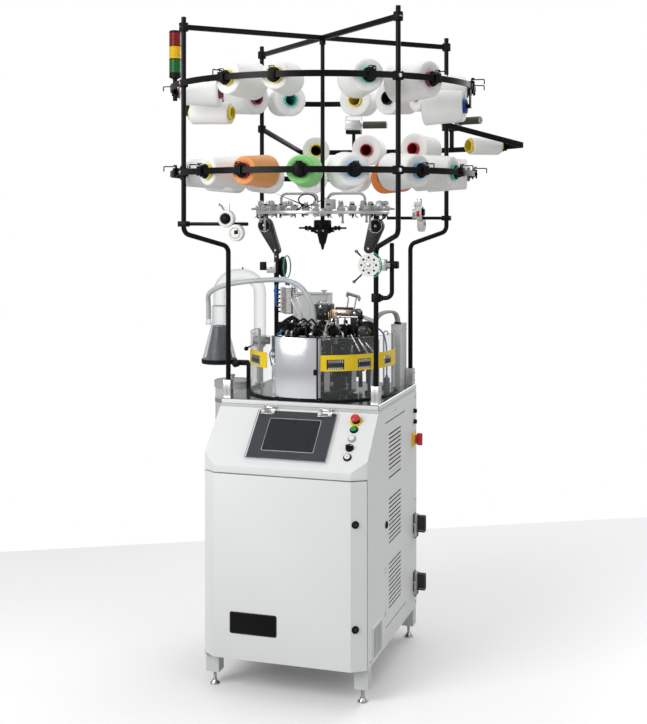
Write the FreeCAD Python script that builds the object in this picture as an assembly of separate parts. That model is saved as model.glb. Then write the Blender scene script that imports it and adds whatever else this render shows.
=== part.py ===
"""Single-cylinder circular knitting machine for socks, with its bobbin creel.

Everything is drawn about the knitting axis (x = y = 0) with the floor at z = 0, +X to the machine's right,
the operator in front at -Y. The finished pieces are then shifted together so that the frame's origin lies at
the bottom centre of the whole machine. Millimetres throughout.
"""
import FreeCAD, Part
import math
import os

# ---------------------------------------------------------------- clearances
SEAT = 0.3            # gap left at rest between curved or loose faces
RUN_FIT = 0.1         # radial clearance of a turning fit

# ---------------------------------------------------------------- facets of round forms
SMALL_SIDES = 12      # small turned pieces and pins
ROUND_SIDES = 16      # discs and vessels
FINE_SIDES = 24       # the knitting head
ARC_STEP = 7.5        # degrees a facet on the guard's curved walls
POLE_SIDES = 8        # poles and hoses

# ---------------------------------------------------------------- table and cabinet
TABLE_TOP = 1000.0    # height of the polished table
TABLE_T = 18.0
TABLE_X = 299.0       # half width
TABLE_Y = 290.0       # half depth
TABLE_BORE_R = 60.0   # bearing sleeve of the knitting head passes here
CABINET_X = 300.0     # half width over the side panels
CABINET_FRONT = -476.0
CABINET_REAR = 290.0
CABINET_BOTTOM = 119.0
COVER_GAP = 10.0      # covers stop short of the table and leave a dark gap
COVER_TOP = TABLE_TOP - TABLE_T - COVER_GAP
CHAMFER_X = 50.0      # the two front edges are cut back by this width
CHAMFER_Y = 36.0      # and this depth
SHEET = 2.0           # panel thickness
LIP_TOP = 796.0       # upright lip below the sloping console
SLOPE_DEG = 44.5
LIP_H = 26.0
CONSOLE_BOTTOM = LIP_TOP - LIP_H
DOOR_GAP = 4.0
POST = 48.0           # square posts of the frame
POST_FRONT = -432.0
RAIL_H = 40.0
MOTOR_PLATE_T = 12.0
LEG_BOTTOM = 49.0
FOOT_R = 17.5
FOOT_STEM_R = 6.0
FOOT_THREAD = 28.0
PANEL_FRONT = -437.0  # front edge of both side panels
DOOR_BACK = -441.0
HINGE_X = -295.0      # pivot pins of the front door
HINGE_Y = -441.5
HINGE_PIN_R = 2.0
HINGE_BARREL_R = 4.5
HINGE_BARREL_H = 12.0
HINGE_FIT = 0.05
LUG_T = 6.0
LUG_REACH = 5.5        # how far the door's lugs pass the pins
LOCK_HEIGHTS = (265.0, 621.0)
LOCK_ALONG = 16.8     # from the front corner, along the chamfer
LOCK_BARREL_R = 9.0
LOCK_HEAD_R = 13.0
LOCK_DEPTH = 18.0
LOCK_CAM_L = 24.0

# side panel openings: (front, rear, lowest slot, highest slot)
LOUVRE_FRONT = -148.0
LOUVRE_REAR = 34.0
LOUVRE_BANKS = (240.0, 476.0, 712.0)
LOUVRE_SLOTS = 11
LOUVRE_PITCH = 15.8
LOUVRE_SLOT_H = 6.0
SEAM_SLOTS = ((-200.0, 98.0, 920.0), (-190.0, 112.0, 183.0))
SEAM_H = 4.0
FILTER_FRONT = -382.0
FILTER_REAR = -250.0
FILTER_LOW = 124.0
FILTER_HIGH = 246.0
FILTER_FRAME = 10.0
FILTER_BARS = 6

# ---------------------------------------------------------------- console fittings (x along, s up the slope)
TERMINAL_X = 6.0
TERMINAL_S = 136.0
TERMINAL_W = 288.0
TERMINAL_H = 202.0
TERMINAL_FACE = 8.0
TERMINAL_BODY_W = 262.0
TERMINAL_BODY_H = 176.0
TERMINAL_BODY_D = 50.0
SCREEN_W = 193.0
SCREEN_H = 139.0
SCREEN_DEEP = 1.5
COVER_T = 3.0
COVER_W = 298.0
COVER_S0 = 31.0
HINGE_S = 250.0       # axis of the clear cover's hinges
HINGE_H = 7.0
HINGE_CENTRES = (-104.0, 110.0)
COVER_PIN_R = 2.5
KNUCKLE_R = 5.5
KNUCKLE_W = 27.0
LUG_W = 8.0
BUTTON_X = 226.0
STOP_S = 215.0
BUTTON_S = {"start_button": 178.0, "reset_button": 139.0, "selector_knob": 101.0, "jog_button": 62.0}
BUTTON_R = 10.0
BEZEL_R = 14.5
BEZEL_H = 5.0
BEZEL_BODY_R = 11.0
BEZEL_BODY_L = 34.0
BEZEL_SIDES = 8
BUTTON_STANDS = 4.0   # above the bezel
STOP_PLATE_R = 22.0
STOP_PLATE_H = 3.0
STOP_COLLAR_H = 12.0
STOP_HEAD_R = 16.0
STOP_HEAD_H = 11.0
STOP_TRAVEL = 4.0

# main switch and connectors on the right side, near the rear
SWITCH_Y = 236.0
SWITCH_Z = 790.0
SWITCH_PLATE = 58.0
SWITCH_BASE_H = 10.0
HANDLE_H = 26.0
GLAND_Z = (857.0, 899.0)
GLAND_R = 10.0
CONNECTOR_Y = 250.0
CONNECTOR_Z = (227.0, 455.0)
CONNECTOR_W = 44.0
CONNECTOR_H = 76.0
CONNECTOR_D = 46.0
LEVER_PIN_R = 3.0
LEVER_T = 3.0
LEVER_W = 8.0
LEVER_PIN_OUT = 9.0
LEVER_L = 50.0
LEVER_BAR = 5.0

# ---------------------------------------------------------------- creel
SOCKET_X = 282.0
SOCKET_Y = 262.0
SOCKET = 30.0
SOCKET_H = 65.0
POLE_R = 9.0
POLE_TOP_X = 398.0
POLE_TOP_Y = 403.0
FEED_RING_RISE = 676.0    # feeder ring over the table
SHOULDER_DROP = 70.0      # poles' upper bend below the feeder ring
KNEE_DROP = 50.0          # poles' lower bend below the upper one
RING_RISE = 150.0         # lower ring over the feeder ring
RING_PITCH = 322.0        # from ring to ring
POLE_STANDS = 239.0       # poles over the upper ring
CROSS_DROP = 37.0         # cross below the poles' tops
FEED_RING_Z = TABLE_TOP + FEED_RING_RISE
POLE_SHOULDER_Z = FEED_RING_Z - SHOULDER_DROP
POLE_KNEE_Z = POLE_SHOULDER_Z - KNEE_DROP
RING_LOWER_Z = FEED_RING_Z + RING_RISE
RING_UPPER_Z = RING_LOWER_Z + RING_PITCH
POLE_TOP = RING_UPPER_Z + POLE_STANDS
CROSS_Z = POLE_TOP - CROSS_DROP
POLE_BEND_R = 30.0
CROSS_BAR = 18.0
CENTRE_POLE_R = 8.0
RING_BAR_H = 22.0
RING_BAR_T = 5.0
RING_SIDES = 40
RING_IN = math.hypot(POLE_TOP_X, POLE_TOP_Y) + POLE_R + SEAT
SADDLE_W = 34.0
SADDLE_H = 30.0
SADDLE_WALL = 2.0
CLAMP_WALL = 8.0
REAR_R = 845.0
REAR_DROP = 194.0         # rear arc below the upper ring
REAR_Z = RING_UPPER_Z - REAR_DROP
REAR_FROM = 35.0
REAR_TO = 114.0
STRUT_RISE = 82.0         # struts' clamps over the rear arc
STRUT_DROP_Z = REAR_Z + STRUT_RISE

# ---------------------------------------------------------------- yarn packages: ring, azimuth, drop, size
BIG = (66.0, 80.0, 160.0)      # outer end radius, inner end radius, length
MEDIUM = (58.0, 70.0, 150.0)
SMALL = (50.0, 61.0, 150.0)
CONE = (41.0, 45.0, 165.0)
BOBBIN = (34.0, 36.0, 140.0)
UPPER_PACKAGES = (
    (250.5, 0.0, MEDIUM), (270.3, 0.0, SMALL), (304.1, 0.0, MEDIUM), (331.3, 0.0, BIG),
    (0.0, 75.0, MEDIUM), (20.0, 0.0, MEDIUM), (40.4, 0.0, MEDIUM), (66.0, 0.0, MEDIUM),
    (88.0, 0.0, MEDIUM), (127.0, 0.0, MEDIUM), (150.0, 0.0, MEDIUM), (178.0, 75.0, CONE),
    (191.0, 0.0, SMALL),
)
LOWER_PACKAGES = (
    (219.8, 0.0, SMALL), (239.7, 0.0, SMALL), (257.8, 0.0, SMALL), (279.6, 0.0, SMALL),
    (298.7, 0.0, MEDIUM), (325.3, 0.0, MEDIUM), (347.0, 0.0, MEDIUM), (12.0, 0.0, MEDIUM),
    (69.0, 0.0, MEDIUM), (91.0, 0.0, MEDIUM), (114.0, 0.0, MEDIUM), (139.8, 0.0, MEDIUM),
    (165.0, 0.0, MEDIUM),
)
REAR_PACKAGES = ((110.0, 0.0, SMALL), (91.0, 0.0, MEDIUM), (72.0, 0.0, MEDIUM), (45.0, 0.0, BOBBIN))
PACKAGE_SIDES = 10
CORE_SIDES = 6
CORE_BACK = 18.0      # core's outer end stays this far inside the ring
PLUG_L = 20.0         # holder's plug in the core
YARN_GAP = 0.05
CORE_R = 28.0
CORE_WALL = 3.0
CORE_SHOW = 9.0       # core standing out of the yarn at each end
CLAMP_W = 24.0

# ---------------------------------------------------------------- signal tower
TOWER_X = -616.0
TOWER_R = 24.0
TOWER_RISE = 69.0
TOWER_BASE_Z = RING_UPPER_Z + TOWER_RISE
TOWER_SEGMENTS = (20.0, 56.0, 52.0, 55.0)
TOWER_CAP = 6.0
TOWER_STEM_R = 9.0

# ---------------------------------------------------------------- roller drives on the rear arc
ROLLER_AZ = {"drive_roller_left": 98.0, "drive_roller_right": 66.0}
ROLLER_RISE = 123.0
ROLLER_Z = REAR_Z + ROLLER_RISE
ROLLER_BOX = (70.0, 60.0, 80.0)
ROLLER_R = 17.0
ROLLER_L = 110.0
ROLLER_SHAFT_R = 6.0
ROLLER_POST = 14.0

# ---------------------------------------------------------------- yarn guiding
FEED_RING_R = 255.0
FEED_RING_W = 30.0
FEED_RING_T = 12.0
SPOKE_W = 22.0
TENSIONERS = 16
TENSIONER_Z = 34.0
HEAD_GUIDE_R = 34.0
HEAD_GUIDE_DROP = 23.0
HEAD_GUIDE_BODY = 53.0
HEAD_GUIDE_CONE = 61.0
HEAD_GUIDE_TOP = FEED_RING_Z - HEAD_GUIDE_DROP
HEAD_GUIDE_WAIST = HEAD_GUIDE_TOP - HEAD_GUIDE_BODY
HEAD_GUIDE_TIP = HEAD_GUIDE_WAIST - HEAD_GUIDE_CONE
ARM_T = 34.0
# eyes of the tension devices: (x, height, radius), the large one and the small one
LEFT_KNEE = ((-226.0, FEED_RING_Z - 44.0, 29.0), (-180.0, FEED_RING_Z - 140.0, 15.0))
RIGHT_KNEE = ((218.0, FEED_RING_Z - 46.0, 29.0), (190.0, FEED_RING_Z - 130.0, 19.0))
KNEE_Y = -20.0
KNEE_STEPS = 5
COLUMN_DROP = 132.0       # column's foot below the left small eye
COLUMN_FOOT_Z = LEFT_KNEE[1][1] - COLUMN_DROP
FEED_BAR_R = 6.5
LEFT_BAR_DROP = 36.0
LEFT_BAR_Z = FEED_RING_Z - LEFT_BAR_DROP
LEFT_BAR_END = -150.0
RIGHT_BAR_DROP = 17.0
RIGHT_BAR_Z = FEED_RING_Z - RIGHT_BAR_DROP
RIGHT_BAR_END = 150.0
FEEDER_R = 31.0
FEEDER_T = 26.0
FEEDER_STEP = (37.0, -50.0)
LEFT_FEEDER_X = -224.0
RIGHT_FEEDER_X = 300.0
WHEEL_R = 15.0
WHEEL_PINS = 7
ELASTIC_R = 40.0
ELASTIC_T = 8.0
ELASTIC_HOLES = 6
ELASTIC_HOLE_R = 4.0
ELASTIC_SHAFT = 14.0
RIGHT_DISC_DROP = 180.0
LEFT_DISC_DROP = 205.0
RIGHT_DISC = (268.0, -310.0, FEED_RING_Z - RIGHT_DISC_DROP)
LEFT_DISC = (-162.0, 14.0, FEED_RING_Z - LEFT_DISC_DROP)
J_TUBE_R = 8.0
J_TUBE_X = 340.0
J_TUBE_DROP = 118.0       # below the right disc's axis
J_TUBE_H = 182.0
J_TUBE_LOW = RIGHT_DISC[2] - J_TUBE_DROP
J_TUBE_HIGH = J_TUBE_LOW + J_TUBE_H

# ---------------------------------------------------------------- guard
GUARD_R = 273.0
GUARD_T = 3.0
GUARD_H = 229.0
GUARD_LEFT = (172.5, 249.0)
GUARD_RIGHT = (285.0, 380.0)
BASE_RING_H = 6.0
BASE_RING_OUT = 288.0
DOOR_R = 281.0
DOOR_T = 2.5
DOOR_SPAN = (250.0, 283.0)
GUARD_POST_R = 5.0
BAND_RISE = 109.0
BAND_H = 68.0
BAND_LOW = TABLE_TOP + BAND_RISE
BAND_HIGH = BAND_LOW + BAND_H
BAND_T = 2.0
BAND_PIECES = ((203.0, 231.0), (286.0, 378.0))
BAND_WINDOWS = ((211.0, 224.0), (289.5, 302.0), (311.0, 323.0), (340.0, 352.0))
WINDOW_MARGIN = (6.0, 16.0)

# ---------------------------------------------------------------- knitting head
CYLINDER_R = 57.0
CYLINDER_BORE = 48.0
CYLINDER_STANDS = 240.0
JOURNAL_STANDS = 40.0
CYLINDER_TOP = TABLE_TOP + CYLINDER_STANDS
CYLINDER_SHOULDER = TABLE_TOP + JOURNAL_STANDS
JOURNAL_R = 54.0
PULLEY_R = 70.0
PULLEY_DROP = 50.0
PULLEY_LOW = TABLE_TOP - PULLEY_DROP
PULLEY_H = 24.0
NEEDLE_SLOTS = 32
SLOT_W = 2.4
SLOT_DEEP = 2.0
SLOT_H = 90.0
SLOT_LOW = CYLINDER_TOP - SLOT_H
HOUSING_FLANGE_R = 110.0
HOUSING_FLANGE_T = 12.0
HOUSING_R = 95.0
HOUSING_DROP = 22.0       # housing below the cylinder's top
HOUSING_TOP = CYLINDER_TOP - HOUSING_DROP
HOUSING_GAP = 1.5     # running clearance round the turning cylinder
CAM_BLOCKS = 8
CAM_OUT = 165.0
CAM_W = 44.0
CAM_DROP = 22.0
CAM_H = 130.0
CAM_HIGH = HOUSING_TOP - CAM_DROP
CAM_LOW = CAM_HIGH - CAM_H
DIAL_R = 50.0
DIAL_GAP = 3.0
DIAL_LOW = CYLINDER_TOP + DIAL_GAP
DIAL_T = 12.0
DIAL_SHAFT_R = 9.0
DIAL_SLOTS = 12
COLUMN_X = (118.0, 152.0)
COLUMN_HALF = 22.0
BRIDGE_RISE = 60.0        # bridge's axis over the cylinder
BRIDGE_Z = CYLINDER_TOP + BRIDGE_RISE
BRIDGE_PIN_X = 135.0
BRIDGE_PIN_R = 6.0
BRIDGE_HALF_H = 15.0
BRIDGE_HALF_W = 20.0
CHEEK_T = 7.0
GEARBOX = (-34.0, 40.0, 34.0, BRIDGE_Z - 28.0, BRIDGE_Z + 30.0)  # x from, x to, half depth, low, high
LEVER_POST = (58.0, 82.0, -78.0, -52.0)
LEVER_PIVOT = (70.0, -65.0)
LEVER_RISE = 65.0
LEVER_LOW = HOUSING_TOP + LEVER_RISE
LEVER_HUB_R = 10.0
LEVER_HUB_H = 14.0
LEVER_ROD_R = 3.5
LEVER_REACH = 102.0
LEVER_BALL_R = 9.5
BALL_STEPS = 6
SIDE_HOUSING = (-190.0, -42.0, 196.0, 270.0, 1358.0)
RIGHT_BOX = (222.0, 262.0, 185.0, 285.0, 1243.0)
VALVE_BLOCK = (-232.0, -190.0, 200.0, 244.0, 1271.0, 1386.0)
VALVES = 6
PLUG_COLUMN = (150.0, 186.0, 112.0, 148.0, 1190.0)
AIR_FITTING = (226.0, 246.0, 56.0, 76.0, 1060.0)

# ---------------------------------------------------------------- drive below the table
MOTOR_Y = 150.0
MOTOR_HALF = 55.0
MOTOR_L = 190.0
MOTOR_PLATE_Y = (84.0, 240.0)
SHAFT_R = 11.0
MOTOR_PULLEY_R = 30.0
BELT_T = 3.0
BELT_H = 18.0
BELT_STEPS = 10
BELT_GAP = 0.4

# ---------------------------------------------------------------- suction
FLASK = (-426.0, 0.0)
FLASK_RISE = 99.0
FLASK_CONE_H = 145.0
FLASK_NECK_H = 69.0
FLASK_FOOT_Z = TABLE_TOP + FLASK_RISE
FLASK_R = 67.0
FLASK_SHOULDER_Z = FLASK_FOOT_Z + FLASK_CONE_H
FLASK_NECK_R = 30.0
FLASK_NECK_TOP = FLASK_SHOULDER_Z + FLASK_NECK_H
FLASK_WALL = 3.0
FILTER_TOP_R = 24.0
FILTER_FOOT_R = 52.0
BRACKET_W = 24.0
BRACKET_T = 8.0
PIPE_R = 25.0
PIPE_WALL = 2.5
PIPE_SIDES = 12
PIPE_LEG = (-284.0, 75.0)
PIPE_RISE = 122.0
PIPE_TOP = FLASK_NECK_TOP + PIPE_RISE
PIPE_BEND_R = 72.0
VALVE_H = 188.0
VALVE_TOP = TABLE_TOP + VALVE_H
VALVE_R = 13.0
POT = (-409.0, 100.0)
POT_R = 70.0
POT_WALL = 2.5
POT_STANDS = 5.0          # pot's rim over the table
POT_H = 315.0
POT_RIM = TABLE_TOP + POT_STANDS
POT_BOTTOM = POT_RIM - POT_H
LID_T = 7.0
KNOB_R = 9.0
KNOB_H = 22.0
HOSE_R = 9.5
CABLE_R = 5.0
AIR_R = 3.0

HOSE_START = (-472.0, 0.0, 1262.0)
HOSE_END = (-8.0, -78.0, 1246.0)
HOSE_ROUTE = (HOSE_START, (-472, 0, 1322), (-464, -28, 1366), (-400, -54, 1396), (-306, -62, 1414),
              (-205, -62, 1424),
              (-125, -62, 1426), (-62, -68, 1402), (-24, -76, 1350), (-8, -78, 1295), HOSE_END)
CABLES = 3
CABLE_PITCH = 8.0
CABLE_ROUTE = ((236, 215, 1243), (236, 215, 1272), (222, 201, 1296), (182, 157, 1290), (160, 135, 1258),
               (160, 135, 1190))
AIR_ROUTE = ((99, -12, 1205), (124, -34, 1222), (160, -36, 1248), (198, -10, 1254), (226, 30, 1236),
             (236, 60, 1190),
             (236, 66, 1130), (236, 66, 1060))
NOZZLE_R = 12.0

X_AXIS = FreeCAD.Vector(1, 0, 0)
Y_AXIS = FreeCAD.Vector(0, 1, 0)
Z_AXIS = FreeCAD.Vector(0, 0, 1)
CENTRE = FreeCAD.Vector(0, 0, 0)

nodes = {}


def vec(x, y, z):
    return FreeCAD.Vector(x, y, z)


def add(name, *solids):
    """Adds solids to a named piece."""
    nodes.setdefault(name, []).extend(solids)


# ---------------------------------------------------------------- basic forms
def box(x0, x1, y0, y1, z0, z1):
    return Part.makeBox(x1 - x0, y1 - y0, z1 - z0, vec(x0, y0, z0))


def rod(radius, length, base, axis=Z_AXIS, sides=0):
    """A round bar, or a faceted one whose corners lie on the radius."""
    if sides:
        return faceted([(radius, 0), (radius, length)], sides, base, axis)
    return Part.makeCylinder(radius, length, base, axis)


def tube(outer, inner, length, base, axis=Z_AXIS, sides=SMALL_SIDES):
    return turned([(outer, 0), (outer, length), (inner, length), (inner, 0)], base, axis, sides)


def prism(points, along):
    """Extrudes a closed polygon."""
    outline = Part.makePolygon(points + [points[0]])
    return Part.Face(outline).extrude(along)


def turned(profile, base, axis=Z_AXIS, sides=SMALL_SIDES):
    """A turned ring from a closed (radius, height) outline, in flat facets."""
    return skin([ring_points(r, t, sides) for r, t in profile + [profile[0]]], base, axis, True)


def faceted(profile, sides, base, axis=Z_AXIS):
    """A turned form with flat facets, from its (radius, height) stations going along the axis."""
    return skin([ring_points(r, t, sides) for r, t in profile], base, axis)


def bore(radius, length, base, axis=Z_AXIS, sides=SMALL_SIDES):
    """The cutter of a faceted hole whose flats touch the radius."""
    return rod(radius / math.cos(math.pi / sides), length, base, axis, sides)


def ring_points(radius, height, sides):
    """Corners of a regular polygon, its flats facing the axes."""
    angles = [2 * math.pi * (i + 0.5) / sides for i in range(sides)]
    return [vec(radius * math.cos(a), radius * math.sin(a), height) for a in angles]


def skin(rings, base=CENTRE, axis=Z_AXIS, endless=False):
    """A solid of flat facets stretched over rings of corners, closed by its first and last ring."""
    faces = []
    for low, high in zip(rings, rings[1:]):
        for i in range(len(low)):
            j = (i + 1) % len(low)
            faces.append(Part.Face(Part.makePolygon([low[i], low[j], high[j], high[i], low[i]])))
    if not endless:
        for ring in (rings[0], rings[-1]):
            faces.append(Part.Face(Part.makePolygon(ring + [ring[0]])))
    shell = Part.Shell(faces)
    solid = Part.Solid(shell)
    if solid.Volume < 0:
        solid.reverse()
    solid.Placement = FreeCAD.Placement(base, FreeCAD.Rotation(Z_AXIS, axis))
    return solid


def mitred(points, radii, radius, sides, steps=3):
    """A bar of faceted section whose bends are a few short mitred lengths."""
    line = [points[0]]
    for edge in bend_path(points, radii):
        if isinstance(edge.Curve, Part.Circle):
            span = edge.LastParameter - edge.FirstParameter
            line += [edge.valueAt(edge.FirstParameter + span * i / steps) for i in range(steps + 1)]
    line.append(points[-1])
    heading = (line[1] - line[0]).normalize()
    turn = FreeCAD.Rotation(Z_AXIS, heading)
    rings = [[line[0] + turn.multVec(corner) for corner in ring_points(radius, 0, sides)]]
    for i in range(1, len(line)):
        heading = (line[i] - line[i - 1]).normalize()
        onward = (line[i + 1] - line[i]).normalize() if i + 1 < len(line) else heading
        normal = (heading + onward).normalize()
        ring = []
        for corner in rings[-1]:
            reach = (line[i] - corner).dot(normal) / heading.dot(normal)
            ring.append(corner + heading * reach)
        rings.append(ring)
    return skin(rings)


def pole_bore(x, y, z, length):
    """The cutter of a clamp's hole round a pole."""
    return rod(POLE_R + RUN_FIT, length, vec(x, y, z), Z_AXIS, POLE_SIDES)


def slotted(outer, root, count, low, high):
    """An upright disc whose rim has open slots all round."""
    points = []
    for i in range(count):
        middle = 360.0 * i / count
        half = math.degrees(SLOT_W / 2 / outer)
        for radius, azimuth in ((outer, middle - half), (root, middle - half), (root, middle + half),
                                (outer, middle + half)):
            points.append(polar(radius, azimuth, low))
    return prism(points, vec(0, 0, high - low))


def fuse(parts):
    """Joins parts into one solid."""
    whole = parts[0]
    if len(parts) > 1:
        whole = whole.multiFuse(parts[1:]).removeSplitter()
    return whole.Solids[0] if len(whole.Solids) == 1 else whole


def polar(radius, azimuth, z=0.0):
    angle = math.radians(azimuth)
    return vec(radius * math.cos(angle), radius * math.sin(angle), z)


def turned_to(shape, azimuth):
    """Turns a shape about the knitting axis."""
    shape = shape.copy()
    shape.rotate(CENTRE, Z_AXIS, azimuth)
    return shape


def arc_wall(r0, r1, z0, z1, start, end):
    """A curved wall about the knitting axis between two azimuths, its facets on one common pitch."""
    azimuths = [start]
    azimuths += [i * ARC_STEP for i in range(math.floor(start / ARC_STEP) + 1, math.ceil(end / ARC_STEP))]
    azimuths.append(end)
    outline = [polar(r1, a, z0) for a in azimuths] + [polar(r0, a, z0) for a in reversed(azimuths)]
    return prism(outline, vec(0, 0, z1 - z0))


def bend_path(points, radii):
    """Straight runs joined by tangent arcs."""
    edges = []
    at = points[0]
    for before, corner, after, radius in zip(points, points[1:], points[2:], radii):
        u = (corner - before).normalize()
        v = (after - corner).normalize()
        turn = math.acos(max(-1.0, min(1.0, u.dot(v))))
        reach = radius * math.tan(turn / 2)
        start = corner - u * reach
        end = corner + v * reach
        inward = (v - u).normalize()
        middle = corner + inward * (radius / math.cos(turn / 2) - radius)
        edges.append(Part.LineSegment(at, start).toShape())
        edges.append(Part.Arc(start, middle, end).toShape())
        at = end
    edges.append(Part.LineSegment(at, points[-1]).toShape())
    return edges


def cord(name, points, radius, sides, steps):
    """A free hose or cable: each arc is as large as its two runs allow."""
    radii = []
    for before, corner, after in zip(points, points[1:], points[2:]):
        first = corner - before
        second = after - corner
        turn = first.getAngle(second)
        radii.append(0.45 * min(first.Length, second.Length) / math.tan(turn / 2))
    length = sum(edge.Length for edge in bend_path(points, radii))
    solid = mitred(points, radii, radius, sides, steps)
    section = 0.5 * sides * radius ** 2 * math.sin(2 * math.pi / sides)
    print("%s: length %.0f mm, radii %s mm, volume over section times length %.4f" % (
        name, length, " ".join("%.0f" % r for r in radii), solid.Volume / (section * length)))
    return solid


def bar_between(start, end, width, height):
    """A flat bar between two points, its height upright."""
    along = end - start
    side = along.cross(Z_AXIS).normalize() * (width / 2)
    up = side.cross(along).normalize() * (height / 2)
    corners = [start + side + up, start - side + up, start - side - up, start + side - up]
    return prism(corners, along)


# ---------------------------------------------------------------- cabinet outline
CHAMFER_ANGLE = math.atan2(CHAMFER_Y, CHAMFER_X)
SLOPE = math.radians(SLOPE_DEG)
CHAMFER_REAR = CABINET_FRONT + CHAMFER_Y


def front_block(inset, z0, z1, back):
    """The cabinet's plan with its two cut-back front edges, drawn in by the inset."""
    front_x = CABINET_X - CHAMFER_X - inset * math.tan(CHAMFER_ANGLE / 2)
    side_y = CHAMFER_REAR + inset * math.tan((math.pi / 2 - CHAMFER_ANGLE) / 2)
    side_x = CABINET_X - inset
    front_y = CABINET_FRONT + inset
    rear = CABINET_REAR
    plan = [(-side_x, rear), (-side_x, side_y), (-front_x, front_y), (front_x, front_y), (side_x, side_y),
            (side_x, rear)]
    block = prism([vec(x, y, z0) for x, y in plan], vec(0, 0, z1 - z0))
    return block.common(box(-CABINET_X, CABINET_X, CABINET_FRONT, back, z0, z1))


def slope_line(inset, z):
    """Where the sloping console face, drawn in by the inset, stands at a height."""
    knee = LIP_TOP - inset * math.tan((math.pi / 2 - SLOPE) / 2)
    return CABINET_FRONT + inset + (z - knee) / math.tan(SLOPE)


def slope_knee(inset):
    return LIP_TOP - inset * math.tan((math.pi / 2 - SLOPE) / 2)


def on_slope(shape):
    """Moves a shape drawn as (x, up the slope, off the face) onto the console."""
    shape = shape.copy()
    shape.rotate(CENTRE, X_AXIS, SLOPE_DEG)
    shape.translate(vec(0, CABINET_FRONT, LIP_TOP))
    return shape


# ---------------------------------------------------------------- cabinet
def base_frame():
    """Welded frame: four posts, rails, the uprights below the table, the motor plate and the door's pins."""
    x_out = CABINET_X - SHEET
    x_in = x_out - POST
    rear_out = CABINET_REAR - SHEET
    frame_top = TABLE_TOP - TABLE_T
    rail_low = CABINET_BOTTOM + 1
    parts = []
    for side in (-1, 1):
        x0, x1 = sorted((side * x_in, side * x_out))
        parts.append(box(x0, x1, POST_FRONT, POST_FRONT + POST, LEG_BOTTOM, CONSOLE_BOTTOM))
        parts.append(box(x0, x1, rear_out - POST, rear_out, LEG_BOTTOM, frame_top))
        parts.append(box(x0, x1, -TABLE_Y, -TABLE_Y + POST, CONSOLE_BOTTOM - POST, frame_top))
        parts.append(box(x0, x1, POST_FRONT, rear_out, rail_low, rail_low + RAIL_H))
        parts.append(box(x0, x1, POST_FRONT, rear_out, CONSOLE_BOTTOM - POST, CONSOLE_BOTTOM))
        parts.append(box(x0, x1, -TABLE_Y, rear_out, frame_top - RAIL_H, frame_top))
    parts.append(box(-x_out, x_out, POST_FRONT, POST_FRONT + POST, rail_low, rail_low + RAIL_H))
    parts.append(box(-x_out, x_out, POST_FRONT, POST_FRONT + POST, CONSOLE_BOTTOM - POST, CONSOLE_BOTTOM))
    parts.append(box(-x_out, x_out, rear_out - POST, rear_out, rail_low, rail_low + RAIL_H))
    parts.append(box(-x_out, x_out, -TABLE_Y, -TABLE_Y + POST, frame_top - RAIL_H, frame_top))
    parts.append(box(-x_out, x_out, rear_out - POST, rear_out, frame_top - RAIL_H, frame_top))
    plate_top = frame_top - RAIL_H
    parts.append(box(-x_out, x_out, MOTOR_PLATE_Y[0], rear_out, plate_top - MOTOR_PLATE_T, plate_top))
    # lugs and pins of the front door
    lug_y = (HINGE_Y - LUG_REACH, POST_FRONT)
    door_high = CONSOLE_BOTTOM - DOOR_GAP
    for low, high, pin in ((CABINET_BOTTOM - LUG_T, CABINET_BOTTOM, CABINET_BOTTOM - 1),
                           (door_high + SEAT, CONSOLE_BOTTOM - SEAT, door_high + SEAT - HINGE_BARREL_H)):
        parts.append(box(-x_out, HINGE_X + LUG_REACH, lug_y[0], lug_y[1], low, high))
        parts.append(rod(HINGE_PIN_R, HINGE_BARREL_H + SHEET, vec(HINGE_X, HINGE_Y, pin), Z_AXIS,
                         SMALL_SIDES))
    frame = fuse(parts)
    for x, y in foot_places():
        frame = frame.cut(bore(FOOT_STEM_R, FOOT_THREAD + 2, vec(x, y, LEG_BOTTOM), Z_AXIS, POLE_SIDES))
    return frame.cut(bore(SHAFT_R + 3, MOTOR_PLATE_T, vec(0, MOTOR_Y, plate_top - MOTOR_PLATE_T)))


def foot_places():
    x = CABINET_X - SHEET - POST / 2
    rear = CABINET_REAR - SHEET - POST / 2
    return [(-x, POST_FRONT + POST / 2), (x, POST_FRONT + POST / 2), (-x, rear), (x, rear)]


def levelling_feet():
    """Cone feet on threaded stems, with a hexagon nut against each leg."""
    feet = []
    for x, y in foot_places():
        base = vec(x, y, 0)
        stem = [(FOOT_R, 0), (FOOT_R, 4), (8.0, 15), (FOOT_STEM_R, 15),
                (FOOT_STEM_R, LEG_BOTTOM + FOOT_THREAD)]
        nut = faceted([(10.0, LEG_BOTTOM - 8), (10.0, LEG_BOTTOM)], 6, base)
        feet.append(fuse([faceted(stem, POLE_SIDES, base), nut]))
    return feet


def side_outline(x):
    """Edge of a side panel: square at the rear, sloping under the console at the front."""
    knee_z = LIP_TOP + (PANEL_FRONT - slope_line(SHEET, LIP_TOP)) * math.tan(SLOPE)
    top_y = slope_line(SHEET, COVER_TOP)
    outline = [(PANEL_FRONT, CABINET_BOTTOM), (PANEL_FRONT, knee_z), (top_y, COVER_TOP)]
    outline += [(CABINET_REAR, COVER_TOP), (CABINET_REAR, CABINET_BOTTOM)]
    return [vec(x, y, z) for y, z in outline]


def left_rear_cover():
    """One sheet folded round the left side and the back."""
    left = prism(side_outline(-CABINET_X), vec(SHEET, 0, 0))
    rear = box(-CABINET_X, CABINET_X - SHEET, CABINET_REAR - SHEET, CABINET_REAR, CABINET_BOTTOM, COVER_TOP)
    return fuse([left, rear])


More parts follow.
